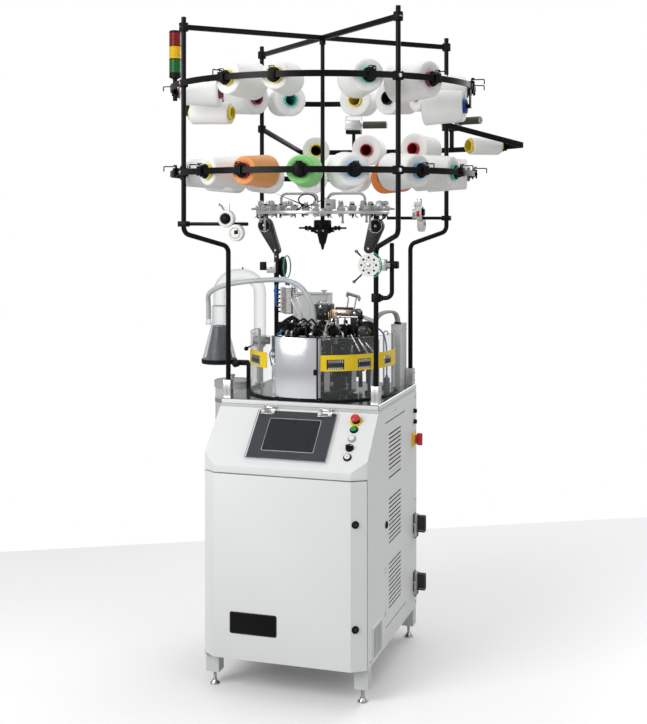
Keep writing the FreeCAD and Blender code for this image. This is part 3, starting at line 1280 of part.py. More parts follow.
def guard_door():
    """Curved metal sheet that slides round the axis on the base ring."""
    low = TABLE_TOP + BASE_RING_H + SEAT
    sheet = arc_wall(DOOR_R, DOOR_R + DOOR_T, low, TABLE_TOP + GUARD_H, DOOR_SPAN[0], DOOR_SPAN[1])
    grip = arc_wall(DOOR_R - 0.5, DOOR_R + 11, low + 90, low + 110, DOOR_SPAN[1] - 2, DOOR_SPAN[1])
    return fuse([sheet, grip])


# ---------------------------------------------------------------- knitting head
def needle_cylinder():
    """Slotted needle cylinder with its journal and drive pulley under the table."""
    outline = [(CYLINDER_BORE, PULLEY_LOW), (PULLEY_R, PULLEY_LOW), (PULLEY_R, PULLEY_LOW + PULLEY_H)]
    outline += [(JOURNAL_R, PULLEY_LOW + PULLEY_H), (JOURNAL_R, CYLINDER_SHOULDER),
                (CYLINDER_R, CYLINDER_SHOULDER)]
    outline += [(CYLINDER_R, SLOT_LOW), (CYLINDER_BORE, SLOT_LOW)]
    body = turned(outline, CENTRE, Z_AXIS, FINE_SIDES)
    comb = slotted(CYLINDER_R, CYLINDER_R - SLOT_DEEP, NEEDLE_SLOTS, SLOT_LOW, CYLINDER_TOP)
    return fuse([body, comb.cut(rod(CYLINDER_BORE, 200, vec(0, 0, SLOT_LOW - 1), Z_AXIS, FINE_SIDES))])


def head_housing():
    """Bearing flange, cam housing and cam blocks round the cylinder, the bridge column and the lever post."""
    sleeve_low = TABLE_TOP - TABLE_T + 2
    flange_top = TABLE_TOP + HOUSING_FLANGE_T
    shell = faceted([(TABLE_BORE_R, sleeve_low), (TABLE_BORE_R, TABLE_TOP), (HOUSING_FLANGE_R, TABLE_TOP),
                     (HOUSING_FLANGE_R, flange_top), (HOUSING_R, flange_top), (HOUSING_R, HOUSING_TOP)],
                     FINE_SIDES, CENTRE)
    parts = [shell]
    for i in range(CAM_BLOCKS):
        block = box(HOUSING_R - 6, CAM_OUT, -CAM_W / 2, CAM_W / 2, CAM_LOW, CAM_HIGH)
        parts.append(turned_to(block, 360.0 * (i + 0.5) / CAM_BLOCKS))
    x0, x1 = COLUMN_X
    parts.append(box(x0, x1, -COLUMN_HALF, COLUMN_HALF, TABLE_TOP, BRIDGE_Z - BRIDGE_HALF_H - 4))
    parts.append(box(HOUSING_R - 6, x0 + 1, -COLUMN_HALF, COLUMN_HALF, CAM_LOW, CAM_HIGH))
    for side in (-1, 1):
        y0, y1 = sorted((side * (BRIDGE_HALF_W + SEAT), side * (BRIDGE_HALF_W + SEAT + CHEEK_T)))
        parts.append(box(x0, x1, y0, y1, BRIDGE_Z - BRIDGE_HALF_H - 40, BRIDGE_Z + BRIDGE_HALF_H))
    pin_half = BRIDGE_HALF_W + SEAT + CHEEK_T
    parts.append(rod(BRIDGE_PIN_R, 2 * pin_half, vec(BRIDGE_PIN_X, -pin_half, BRIDGE_Z), Y_AXIS, SMALL_SIDES))
    x0, x1, y0, y1 = LEVER_POST
    parts.append(box(x0, x1, y0, y1, HOUSING_TOP - 30, LEVER_LOW - SEAT))
    px, py = LEVER_PIVOT
    parts.append(rod(4, LEVER_HUB_H + 4, vec(px, py, LEVER_LOW - SEAT), Z_AXIS, POLE_SIDES))
    x, y, z = HOSE_END
    parts.append(rod(NOZZLE_R, z - HOUSING_TOP + 4, vec(x, y, HOUSING_TOP - 4), Z_AXIS, POLE_SIDES))
    journal = (JOURNAL_R + RUN_FIT) / math.cos(math.pi / FINE_SIDES)
    chamber = faceted([(journal, sleeve_low - 1), (journal, CYLINDER_SHOULDER - 1),
                       (CYLINDER_R + HOUSING_GAP, CYLINDER_SHOULDER - 1),
                       (CYLINDER_R + HOUSING_GAP, BRIDGE_Z)], FINE_SIDES, CENTRE)
    return fuse(parts).cut(chamber)


def dial():
    """Dial over the cylinder with radial slots, on the shaft that the bridge drives."""
    outline = [(DIAL_R, DIAL_LOW), (DIAL_R, DIAL_LOW + DIAL_T - 4), (DIAL_SHAFT_R, DIAL_LOW + DIAL_T - 4),
               (DIAL_SHAFT_R, GEARBOX[3] + 24)]
    comb = slotted(DIAL_R, DIAL_R - 12, DIAL_SLOTS, DIAL_LOW + DIAL_T - 4, DIAL_LOW + DIAL_T)
    return fuse([faceted(outline, FINE_SIDES, CENTRE), comb])


def dial_bridge():
    """Arm that swings up on the column's pin and carries the dial's gearbox."""
    x0, x1, half, low, high = GEARBOX
    gearbox = box(x0, x1, -half, half, low, high)
    end = BRIDGE_PIN_X
    arm = box(x1 - 1, end, -BRIDGE_HALF_W, BRIDGE_HALF_W, BRIDGE_Z - BRIDGE_HALF_H, BRIDGE_Z + BRIDGE_HALF_H)
    eye = rod(BRIDGE_HALF_H, 2 * BRIDGE_HALF_W, vec(end, -BRIDGE_HALF_W, BRIDGE_Z), Y_AXIS, SMALL_SIDES)
    cap = faceted([(22, high - 1), (22, high + 8), (14, high + 14)], SMALL_SIDES, CENTRE)
    bridge = fuse([gearbox, arm, eye, cap])
    bridge = bridge.cut(bore(BRIDGE_PIN_R + RUN_FIT, 2 * BRIDGE_HALF_W + 2,
                             vec(end, -BRIDGE_HALF_W - 1, BRIDGE_Z), Y_AXIS))
    return bridge.cut(bore(DIAL_SHAFT_R + RUN_FIT, 25 + SEAT, vec(0, 0, low - 1)))


def head_lever():
    """Hand lever with a ball grip."""
    px, py = LEVER_PIVOT
    hub = tube(LEVER_HUB_R, (4 + RUN_FIT) / math.cos(math.pi / POLE_SIDES), LEVER_HUB_H,
               vec(px, py, LEVER_LOW), Z_AXIS, POLE_SIDES)
    z = LEVER_LOW + LEVER_HUB_H / 2
    start = LEVER_HUB_R - 3
    reach = LEVER_REACH - start
    outline = [(LEVER_ROD_R, 0), (LEVER_ROD_R, reach - LEVER_BALL_R)]
    for i in range(1, BALL_STEPS):
        angle = math.pi * i / BALL_STEPS
        outline.append((LEVER_BALL_R * math.sin(angle), reach - LEVER_BALL_R * math.cos(angle)))
    outline.append((1.0, reach + LEVER_BALL_R))
    return fuse([hub, faceted(outline, POLE_SIDES, vec(px + start, py, z), X_AXIS)])


def table_housings():
    """Electrics housing, side box, valve block, plug column, air fitting and suction valve on the table."""
    def block(place):
        x0, x1, y0, y1, top = place
        return box(x0, x1, y0, y1, TABLE_TOP, top)

    knob = tube(7, 3, 12, vec(SIDE_HOUSING[1] - 20, SIDE_HOUSING[2] + 20, SIDE_HOUSING[4]), Z_AXIS,
                POLE_SIDES)
    x0, x1, y0, y1, z0, z1 = VALVE_BLOCK
    valves = [box(x0, x1, y0, y1, z0, z1)]
    for i in range(VALVES):
        z = z0 + 8 + i * (z1 - z0 - 10) / VALVES
        valves.append(box(x0 - 10, x0 + 1, y0 + 6, y1 - 6, z, z + 11))
    px, py = PIPE_LEG
    cup = VALVE_TOP - 38
    valve = faceted([(VALVE_R, TABLE_TOP), (VALVE_R, cup), (PIPE_R - 1, cup), (PIPE_R - 1, VALVE_TOP)],
                    SMALL_SIDES, vec(px, py, 0))
    return [fuse([block(SIDE_HOUSING), knob]), block(RIGHT_BOX), fuse(valves), block(PLUG_COLUMN),
            block(AIR_FITTING), valve]


# ---------------------------------------------------------------- suction
def suction_flask():
    """Clear conical flask with a side nozzle at its neck."""
    x, y = FLASK
    w = FLASK_WALL
    z0 = FLASK_FOOT_Z
    outline = [(FLASK_R, z0), (FLASK_R, z0 + 10), (FLASK_NECK_R, FLASK_SHOULDER_Z),
               (FLASK_NECK_R, FLASK_NECK_TOP)]
    outline += [(r - w, z) for r, z in reversed(outline[1:])]
    outline.append((FLASK_R - w, z0 + w))
    glass = faceted(outline, ROUND_SIDES, vec(x, y, 0))
    nx, ny, nz = HOSE_START
    nozzle = rod(NOZZLE_R - 2, 22, vec(nx, ny, nz - 22), Z_AXIS, POLE_SIDES)
    web = box(nx, x - FLASK_NECK_R + 2, ny - 5, ny + 5, nz - 18, nz - 6)
    return fuse([glass, nozzle, web])


def flask_filter():
    """Mesh basket inside the flask."""
    x, y = FLASK
    z0 = FLASK_FOOT_Z + FLASK_WALL
    top = FLASK_SHOULDER_Z - 8
    outline = [(FILTER_FOOT_R, z0), (FILTER_TOP_R, top), (FILTER_TOP_R - 2, top), (FILTER_FOOT_R - 2, z0 + 2)]
    return faceted(outline, ROUND_SIDES, vec(x, y, 0))


def flask_bracket():
    """Upright plate on the table's left edge with an arm and a ring below the flask."""
    x, y = FLASK
    top = FLASK_FOOT_Z
    low = top - BRACKET_T
    plate = box(-TABLE_X - BRACKET_T, -TABLE_X, y - 15, y + 15, TABLE_TOP - TABLE_T + 3, top)
    ring = tube(FLASK_R + 3, FLASK_R - 12, BRACKET_T, vec(x, y, low), Z_AXIS, ROUND_SIDES)
    arm = box(x + FLASK_R - 6, -TABLE_X - 1, y - BRACKET_W / 2, y + BRACKET_W / 2, low, top)
    return fuse([plate, ring, arm])


def clear_pipe():
    """Rigid bent pipe from the flask's neck over to the suction valve."""
    points = [vec(FLASK[0], FLASK[1], FLASK_NECK_TOP + SEAT), vec(FLASK[0], FLASK[1], PIPE_TOP),
              vec(PIPE_LEG[0], PIPE_LEG[1], PIPE_TOP), vec(PIPE_LEG[0], PIPE_LEG[1], VALVE_TOP + SEAT)]
    radii = [PIPE_BEND_R, PIPE_BEND_R]
    outer = mitred(points, radii, PIPE_R, PIPE_SIDES, 5)
    return outer.cut(mitred(points, radii, PIPE_R - PIPE_WALL, PIPE_SIDES, 5))


def collection_pot():
    """Waste pot with two straps to the cabinet's side, and its loose lid."""
    x, y = POT
    w = POT_WALL
    outline = [(POT_R, POT_BOTTOM), (POT_R, POT_RIM - 9), (POT_R + 4, POT_RIM - 9), (POT_R + 4, POT_RIM)]
    outline += [(POT_R - w, POT_RIM), (POT_R - w, POT_BOTTOM + w)]
    pot = faceted(outline, ROUND_SIDES, vec(x, y, 0))
    straps = []
    for z in (POT_BOTTOM + 60, POT_RIM - 80):
        straps.append(box(x + POT_R - 6, -CABINET_X - SEAT, y - 12, y + 12, z, z + 20))
    inside = faceted([(POT_R - w, POT_BOTTOM + w), (POT_R - w, POT_RIM)], ROUND_SIDES, vec(x, y, 0))
    straps = [strap.cut(inside) for strap in straps]
    lid_top = POT_RIM + LID_T
    lid = faceted([(POT_R + 4, POT_RIM), (POT_R + 4, lid_top), (KNOB_R, lid_top), (KNOB_R, lid_top + KNOB_H)],
                  ROUND_SIDES, vec(x, y, 0))
    return [fuse([pot] + straps), lid]


def hoses_and_cables():
    """Suction hose, cable bundle and an air line, each made whole along its route."""
    solids = [cord("suction hose", [vec(*p) for p in HOSE_ROUTE], HOSE_R, POLE_SIDES, 2)]
    for i in range(CABLES):
        shift = vec(CABLE_PITCH * i, -CABLE_PITCH * i, 0)
        route = [vec(*p) + shift for p in CABLE_ROUTE]
        solids.append(cord("cable %d" % (i + 1), route, CABLE_R, 6, 1))
    solids.append(cord("air line", [vec(*p) for p in AIR_ROUTE], AIR_R, 6, 1))
    return solids


# ---------------------------------------------------------------- assembly
def build():
    add("base_frame", base_frame())
    add("levelling_feet", *levelling_feet())
    add("left_rear_cover", left_rear_cover())
    add("right_side_panel", right_side_panel())
    add("front_door", front_door())
    add("door_lock_lower", door_lock(LOCK_HEIGHTS[0]))
    add("door_lock_upper", door_lock(LOCK_HEIGHTS[1]))
    add("console_panel", console_panel())
    add("operator_terminal", operator_terminal())
    add("screen_cover", screen_cover())
    add("console_fittings", stop_bezel(), main_switch_plate())
    for s in BUTTON_S.values():
        add("console_fittings", bezel(s))
    for x in HINGE_CENTRES:
        add("console_fittings", hinge_leaf(x))
    for z in GLAND_Z:
        gland = rod(GLAND_R, 12, vec(CABINET_X, SWITCH_Y + 10, z), X_AXIS, 6)
        add("console_fittings", gland)
    add("emergency_stop_button", emergency_stop())
    for name in ("start_button", "reset_button", "jog_button"):
        add(name, push_button(BUTTON_S[name]))
    add("selector_knob", selector_knob())
    add("main_switch_handle", main_switch_handle())
    for z in CONNECTOR_Z:
        add("connector_housings", connector_housing(z))
    add("connector_lever_lower", connector_lever(CONNECTOR_Z[0]))
    add("connector_lever_upper", connector_lever(CONNECTOR_Z[1]))
    add("table_plate", table_plate())
    add("main_motor", main_motor())
    add("motor_pulley", motor_pulley())
    add("drive_belt", drive_belt())
    for sx, sy in ((-1, -1), (1, -1), (-1, 1), (1, 1)):
        add("creel_poles", creel_pole(sx, sy))
    add("centre_frame", centre_frame())
    add("creel_ring_upper", creel_ring(RING_UPPER_Z))
    add("creel_ring_lower", creel_ring(RING_LOWER_Z))
    add("rear_ring", rear_ring())
    for ring_in, z, packages in ((RING_IN, RING_UPPER_Z, UPPER_PACKAGES),
                                 (RING_IN, RING_LOWER_Z, LOWER_PACKAGES),
                                 (REAR_R, REAR_Z, REAR_PACKAGES)):
        for azimuth, drop, size in packages:
            holder, yarn, core = package_set(ring_in, z, azimuth, drop, size)
            add("package_holders", holder)
            add("yarn_packages", yarn)
            add("package_cores", core)
    add("signal_tower", signal_tower())
    for name, azimuth in ROLLER_AZ.items():
        add("roller_drives", roller_drive(azimuth))
        add(name, drive_roller(azimuth))
    add("feeder_ring", feeder_ring())
    add("centre_guide_head", centre_guide_head())
    add("tension_arms", *tension_arms())
    add("yarn_feeders", *yarn_feeders())
    add("feeder_wheel_left", feeder_wheel(*LEFT_FEEDER))
    add("feeder_wheel_right", feeder_wheel(*RIGHT_FEEDER))
    add("elastic_feeders", *elastic_feeders())
    add("elastic_disc_right", elastic_disc(vec(*RIGHT_DISC), Y_AXIS))
    add("elastic_disc_left", elastic_disc(vec(*LEFT_DISC), vec(-1, 0, 0)))
    add("guard_cylinder", guard())
    add("guard_band", *guard_band())
    add("guard_door", guard_door())
    add("needle_cylinder", needle_cylinder())
    add("head_housing", head_housing())
    add("dial", dial())
    add("dial_bridge", dial_bridge())
    add("head_lever", head_lever())
    add("table_housings", *table_housings())
    add("suction_flask", suction_flask())
    add("flask_filter", flask_filter())
    add("flask_bracket", flask_bracket())
    add("clear_pipe", clear_pipe())
    add("collection_pot", *collection_pot())
    add("hoses_and_cables", *hoses_and_cables())


def write():
    """Shifts everything to the frame's origin and writes one file a piece."""
    whole = FreeCAD.BoundBox()
    for solids in nodes.values():
        for solid in solids:
            whole.add(solid.BoundBox)
    shift = vec(-(whole.XMin + whole.XMax) / 2, -(whole.YMin + whole.YMax) / 2, -whole.ZMin)
    print("knitting axis in the frame: %.3f %.3f, size %.0f x %.0f x %.0f" % (
        shift.x, shift.y, whole.XLength, whole.YLength, whole.ZLength))
    os.makedirs("parts", exist_ok=True)
    for name, solids in nodes.items():
        moved = []
        for solid in solids:
            for piece in solid.Solids:
                piece = piece.copy()
                piece.translate(shift)
                moved.append(piece)
        shape = moved[0] if len(moved) == 1 else Part.makeCompound(moved)
        shape.exportStep("parts/%s.step" % name)


build()
write()
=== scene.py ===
"""Looks of a sock knitting machine: grey cabinet, glazed knitting head and a black yarn creel above it.

Sizes are in millimetres about the knitting axis, the upright line through the needle cylinder, with the floor
at zero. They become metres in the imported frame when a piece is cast. X runs to the operator's right, Y to the
back.
"""
import logging
import math
from dataclasses import dataclass, field
from enum import Enum
from typing import Iterable, Sequence

import bmesh
import bpy
from mathutils import Matrix, Vector


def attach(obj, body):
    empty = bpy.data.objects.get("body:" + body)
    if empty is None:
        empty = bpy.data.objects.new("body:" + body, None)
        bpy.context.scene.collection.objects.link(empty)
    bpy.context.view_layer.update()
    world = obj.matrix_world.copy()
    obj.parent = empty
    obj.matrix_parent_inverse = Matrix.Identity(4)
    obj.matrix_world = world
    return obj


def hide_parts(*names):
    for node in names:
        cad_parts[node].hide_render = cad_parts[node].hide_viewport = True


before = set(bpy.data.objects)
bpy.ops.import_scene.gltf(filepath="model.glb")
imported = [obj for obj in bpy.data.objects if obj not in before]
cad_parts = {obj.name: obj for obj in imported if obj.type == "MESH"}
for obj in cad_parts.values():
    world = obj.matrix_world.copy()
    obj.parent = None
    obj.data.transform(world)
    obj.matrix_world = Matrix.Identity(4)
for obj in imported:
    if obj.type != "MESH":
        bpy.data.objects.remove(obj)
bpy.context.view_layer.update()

MM = 0.001
KNITTING_AXIS = Vector((-0.02925, -0.144735, 0.0))
ROOT = "machine"
X_AXIS = Vector((1.0, 0.0, 0.0))
Y_AXIS = Vector((0.0, 1.0, 0.0))
Z_AXIS = Vector((0.0, 0.0, 1.0))
FRONTWARD = Matrix.Rotation(math.radians(90), 4, "X")  # drawn flat, stood up to face the front
CORNERS = ((-1, -1), (-1, 1), (1, -1), (1, 1))
SHARP = math.radians(38.0)  # an edge that turns more is shaded sharp
ROUNDED = math.radians(28.0)  # an edge that turns more is rounded off
SKIN_ROUNDED = math.radians(32.0)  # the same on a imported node's own form
FLAT = math.radians(2.0)  # faces that turn less are taken as one
WELD = 2e-6  # corners closer than this, in metres, are one
BUMP_DEPTH = 0.0006  # metres of relief at full strength
FRONT_Y = -476.0  # the cabinet's front face
SIDE_X = 300.0  # its right side panel
SLOPE_FOOT_Z = 796.0  # where its sloping console begins
SLOPE = 44.5  # the console's slope, in degrees
TABLE_Z = 1000.0  # the table's top

log = logging.getLogger("knitting_machine")

Point = Sequence[float]


def in_frame(point: Point) -> Vector:
    """A point about the knitting axis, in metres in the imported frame."""
    return Vector(point) * MM + KNITTING_AXIS


def on_circle(radius: float, azimuth: float, z: float = 0.0) -> Vector:
    """A point at a radius and an azimuth in degrees about the knitting axis."""
    angle = math.radians(azimuth)
    return Vector((radius * math.cos(angle), radius * math.sin(angle), z))


def turned(azimuth: float, shift: Point = (0.0, 0.0, 0.0)) -> Matrix:
    """A turn about the knitting axis, after a shift."""
    return Matrix.Rotation(math.radians(azimuth), 4, "Z") @ Matrix.Translation(Vector(shift))


def tilted(base: Point, degrees: float, axis: str) -> Matrix:
    """A placement at a base point, turned about one of its own axes."""
    return Matrix.Translation(Vector(base)) @ Matrix.Rotation(math.radians(degrees), 4, axis)


def facing(base: Point, axis: Vector) -> Matrix:
    """A placement whose local Z runs along an axis from a base point."""
    return Matrix.Translation(Vector(base)) @ Z_AXIS.rotation_difference(axis).to_matrix().to_4x4()


def rounded(x0: float, x1: float, y0: float, y1: float, radius: float, steps: int = 5) -> list[Point]:
    """A rectangle with round corners, anticlockwise.

    Args:
        x0: its left edge.
        x1: its right edge.
        y0: its low edge.
        y1: its high edge.
        radius: radius of its corners.
        steps: facets of each corner.

    Returns:
        Its corners.
    """
    outline: list[Point] = []
    for cx, cy, start in ((x1 - radius, y0 + radius, -90), (x1 - radius, y1 - radius, 0),
                          (x0 + radius, y1 - radius, 90), (x0 + radius, y0 + radius, 180)):
        for i in range(steps + 1):
            angle = math.radians(start + 90.0 * i / steps)
            outline.append((cx + radius * math.cos(angle), cy + radius * math.sin(angle)))
    return outline


def between(rings: int, steps: int, closed: bool = False) -> list[Sequence[int]]:
    """Faces between rings of corners that are numbered one ring after the other.

    Args:
        rings: how many rings.
        steps: corners on each ring.
        closed: whether the last ring joins the first.

    Returns:
        Each face as indices of its corners.
    """
    loops: list[Sequence[int]] = []
    for low in range(rings if closed else rings - 1):
        high = (low + 1) % rings
        for i in range(steps):
            j = (i + 1) % steps
            loops.append((low * steps + i, low * steps + j, high * steps + j, high * steps + i))
    return loops


def feed(node: bpy.types.Node, **values: object) -> None:
    """Gives a node's inputs plain values, named with underscores for spaces."""
    for label, value in values.items():
        node.inputs[label.replace("_", " ")].default_value = value


# ---------------------------------------------------------------- node groups
class NodeGroup:
    """A node group under construction, with short calls for its nodes and links."""

    def __init__(self, name: str, kind: str, outputs: dict[str, str]) -> None:
        """Opens the group and its output sockets.

        Args:
            name: the group's name.
            kind: the kind of node tree.
            outputs: socket kind for each output.
        """
        self.tree = bpy.data.node_groups.new(name, kind)
        for label, socket in outputs.items():
            self.tree.interface.new_socket(name=label, in_out="OUTPUT", socket_type=socket)
        self.result = self.tree.nodes.new("NodeGroupOutput").inputs

    def node(self, kind: str, feeds: dict[str | int, object] | None = None,
             **settings: object) -> bpy.types.Node:
        """Adds a node.

        Args:
            kind: the node's type.
            feeds: a socket or a plain value for each named or numbered input.
            settings: the node's properties.

        Returns:
            The node.
        """
        node = self.tree.nodes.new(kind)
        for label, value in settings.items():
            setattr(node, label, value)
        for label, value in (feeds or {}).items():
            if isinstance(value, bpy.types.NodeSocket):
                self.link(value, node.inputs[label])
            else:
                node.inputs[label].default_value = value
        return node

    def link(self, start: bpy.types.NodeSocket, end: bpy.types.NodeSocket) -> None:
        """Joins two sockets."""
        self.tree.links.new(start, end)

    def maths(self, operation: str, *values: object) -> bpy.types.NodeSocket:
        """Adds a Math node fed by sockets or numbers, and gives its output."""
        return self.node("ShaderNodeMath", dict(enumerate(values)), operation=operation).outputs[0]


class ShaderGroup(NodeGroup):
    """A shader node group under construction."""

    def __init__(self, name: str, inputs: dict[str, tuple[str, object]], outputs: dict[str, str]) -> None:
        """Opens the group and its sockets.

        Args:
            name: the group's name.
            inputs: socket kind and default value for each input.
            outputs: socket kind for each output.
        """
        super().__init__(name, "ShaderNodeTree", outputs)
        for label, (kind, value) in inputs.items():
            socket = self.tree.interface.new_socket(name=label, in_out="INPUT", socket_type=kind)
            socket.default_value = value
        self.given = self.tree.nodes.new("NodeGroupInput").outputs

    def noise(self, vector: bpy.types.NodeSocket, scale: object, detail: float = 3.0) -> bpy.types.NodeSocket:
        """Adds a Noise Texture and gives its value."""
        return self.node("ShaderNodeTexNoise",
                         {"Detail": detail, "Vector": vector, "Scale": scale}).outputs["Fac"]

    def shaded(self, colour: bpy.types.NodeSocket, factor: bpy.types.NodeSocket) -> bpy.types.NodeSocket:
        """Multiplies a colour by a grey factor."""
        return self.node("ShaderNodeVectorMath", {0: colour, "Scale": factor}, operation="SCALE").outputs[0]


def surface_group() -> bpy.types.NodeTree:
    """Grain, uneven gloss and settled dust that every finish of the machine shares.

    Returns:
        A group that gives a colour, a roughness and a bump height on Object coordinates.
    """
    group = ShaderGroup(
        "Worked Surface",
        {"Colour": ("NodeSocketColor", (0.8, 0.8, 0.8, 1.0)), "Roughness": ("NodeSocketFloat", 0.4),
         "Grain": ("NodeSocketFloat", 900.0), "Stretch": ("NodeSocketVector", (1.0, 1.0, 1.0)),
         "Shade": ("NodeSocketFloat", 0.06), "Gloss": ("NodeSocketFloat", 0.12), "Dust": (
             "NodeSocketFloat", 0.1)},
        {"Colour": "NodeSocketColor", "Roughness": "NodeSocketFloat", "Height": "NodeSocketFloat"})
    given = group.given
    place = group.node("ShaderNodeTexCoord").outputs["Object"]
    stretched = group.node("ShaderNodeVectorMath", {0: place, 1: given["Stretch"]}, operation="MULTIPLY")
    fine = group.noise(stretched.outputs[0], given["Grain"], 2.0)
    broad = group.noise(place, 7.0, 4.0)
    tone = group.maths("MULTIPLY", group.maths("SUBTRACT", broad, 0.5), given["Shade"])
    speck = group.maths("MULTIPLY", group.maths("SUBTRACT", fine, 0.5),
                        group.maths("MULTIPLY", given["Shade"], 0.7))
    factor = group.maths("ADD", group.maths("ADD", tone, speck), 1.0)
    up = group.node("ShaderNodeSeparateXYZ", {0: group.node("ShaderNodeNewGeometry").outputs["Normal"]})
    patch = group.noise(place, 26.0, 6.0)
    lying = group.maths("MULTIPLY", group.maths("MAXIMUM", up.outputs["Z"], 0.0),
                        group.maths("MULTIPLY", patch, patch))
    dust = group.maths("MULTIPLY", lying, given["Dust"])
    mix = group.node("ShaderNodeMix", data_type="RGBA")
    group.link(dust, mix.inputs["Factor"])
    group.link(group.shaded(given["Colour"], factor), mix.inputs["A"])
    feed(mix, B=(0.62, 0.61, 0.58, 1.0))
    uneven = group.maths("MULTIPLY", group.maths("SUBTRACT", group.noise(place, 19.0, 5.0), 0.5),
                         given["Gloss"])
    rough = group.maths("ADD", group.maths("ADD", given["Roughness"], uneven),
                        group.maths("MULTIPLY", dust, 0.5))
    group.link(mix.outputs["Result"], group.result["Colour"])
    group.link(group.maths("MINIMUM", group.maths("MAXIMUM", rough, 0.03), 1.0), group.result["Roughness"])
    group.link(fine, group.result["Height"])
    return group.tree


def winding_group() -> bpy.types.NodeTree:
    """Crossing turns of yarn that follow a package's own UV map, with fuzz between the turns and painted shade
    in the grooves between them.

    Returns:
        A group that gives a colour and a bump height.
    """
    group = ShaderGroup(
        "Cross Winding",
        {"Colour": ("NodeSocketColor", (0.9, 0.9, 0.9, 1.0)), "Turns": ("NodeSocketFloat", 60.0),
         "Slant": ("NodeSocketFloat", 5.0), "Shade": ("NodeSocketFloat", 0.12)},
        {"Colour": "NodeSocketColor", "Height": "NodeSocketFloat"})
    given = group.given
    split = group.node("ShaderNodeSeparateXYZ", {0: group.node("ShaderNodeUVMap", uv_map="UVMap").outputs[0]})
    lean = group.maths("MULTIPLY", split.outputs["X"], given["Slant"])
    along = group.maths("MULTIPLY", split.outputs["Y"], given["Turns"])
    turns = []
    for operation in ("ADD", "SUBTRACT"):
        phase = group.maths("MULTIPLY", group.maths(operation, along, lean), 2 * math.pi)
        turns.append(group.maths("ADD", group.maths("MULTIPLY", group.maths("SINE", phase), 0.5), 0.5))
    crossed = group.maths("MAXIMUM", turns[0], turns[1])
    fuzz = group.noise(group.node("ShaderNodeTexCoord").outputs["Object"], 1500.0, 2.0)
    height = group.maths("ADD", crossed, group.maths("MULTIPLY", fuzz, 0.5))
    # painted shade: the colour darkens where the height dips between the turns
    tone = group.maths("MULTIPLY", group.maths("SUBTRACT", height, 1.0), given["Shade"])
    group.link(group.shaded(given["Colour"], group.maths("ADD", tone, 1.0)), group.result["Colour"])
    group.link(height, group.result["Height"])
    return group.tree


# ---------------------------------------------------------------- finishes
class Stretch(Enum):
    """Which way a surface's grain is drawn out."""

    EVEN = (1.0, 1.0, 1.0)
    ALONG_X = (0.04, 1.0, 1.0)
    UPRIGHT = (1.0, 1.0, 0.04)


@dataclass(frozen=True)
class Finish:
    """One finish of the machine: a Principled surface fed by the shared grain.

    A clear finish has an opacity below one, which grows by the rim where the surface turns away: painted grey
    edges that stand in for the refraction and reflection of a clear sheet seen edge-on.
    """

    name: str
    colour: tuple[float, float, float]
    roughness: float = 0.4
    metallic: float = 0.0
    grain: float = 900.0
    stretch: Stretch = Stretch.EVEN
    shade: float = 0.06
    gloss: float = 0.12
    dust: float = 0.08
    bump: float = 0.08
    coat: float = 0.0
    opacity: float = 1.0
    rim: float = 0.0
    specular: float = 0.5

    def material(self) -> bpy.types.Material:
        """The finish as a Blender material, made once.

        Returns:
            The material.
        """
        known = bpy.data.materials.get(self.name)
        if known:
            return known
        material = bpy.data.materials.new(self.name)
        material.use_nodes = True
        nodes, links = material.node_tree.nodes, material.node_tree.links
        surface = nodes["Principled BSDF"]
        self.dress(nodes, links, surface)
        feed(surface, Metallic=self.metallic, Coat_Weight=self.coat, Coat_Roughness=0.12,
             Specular_IOR_Level=self.specular, Alpha=self.opacity)
        # painted edges: the opacity grows where the surface turns from the view, standing in for refraction and
        # reflection
        if self.rim:
            slant = nodes.new("ShaderNodeLayerWeight")
            feed(slant, Blend=0.32)
            denser = nodes.new("ShaderNodeMath")
            denser.operation = "MULTIPLY_ADD"
            denser.inputs[1].default_value = self.rim
            denser.inputs[2].default_value = self.opacity
            links.new(slant.outputs["Facing"], denser.inputs[0])
            links.new(denser.outputs[0], surface.inputs["Alpha"])
        return material

    def dress(self, nodes: bpy.types.Nodes, links: bpy.types.NodeLinks, surface: bpy.types.Node) -> None:
        """Feeds the surface with the shared grain's colour, roughness and bump.

        Args:
            nodes: the material's nodes.
            links: the material's links.
            surface: its Principled BSDF.
        """
        grain = nodes.new("ShaderNodeGroup")
        grain.node_tree = bpy.data.node_groups["Worked Surface"]
        feed(grain, Colour=(*self.colour, 1.0), Roughness=self.roughness, Grain=self.grain,
             Stretch=self.stretch.value, Shade=self.shade, Gloss=self.gloss, Dust=self.dust)
        links.new(grain.outputs["Colour"], surface.inputs["Base Color"])
        links.new(grain.outputs["Roughness"], surface.inputs["Roughness"])
        self.emboss(nodes, links, grain.outputs["Height"], surface)

    def emboss(self, nodes: bpy.types.Nodes, links: bpy.types.NodeLinks, height: bpy.types.NodeSocket,
               surface: bpy.types.Node) -> None:
        """Feeds a height to the surface's normal through a Bump node.

        Args:
            nodes: the material's nodes.
            links: the material's links.
            height: the socket that holds the height.
            surface: its Principled BSDF.
        """
        bump = nodes.new("ShaderNodeBump")
        feed(bump, Strength=self.bump, Distance=BUMP_DEPTH)
        links.new(height, bump.inputs["Height"])
        links.new(bump.outputs["Normal"], surface.inputs["Normal"])


@dataclass(frozen=True)
class Yarn(Finish):
    """Wound yarn: matt, with a soft sheen and crossing turns."""

    turns: float = 46.0

    def dress(self, nodes: bpy.types.Nodes, links: bpy.types.NodeLinks, surface: bpy.types.Node) -> None:
        """Feeds the surface with the crossing turns.

        Args:
            nodes: the material's nodes.
            links: the material's links.
            surface: its Principled BSDF.
        """
        winding = nodes.new("ShaderNodeGroup")
        winding.node_tree = bpy.data.node_groups["Cross Winding"]
        feed(winding, Colour=(*self.colour, 1.0), Turns=self.turns, Shade=self.shade)
        links.new(winding.outputs["Colour"], surface.inputs["Base Color"])
        feed(surface, Roughness=self.roughness, Sheen_Weight=0.25, Sheen_Roughness=0.5)
        self.emboss(nodes, links, winding.outputs["Height"], surface)


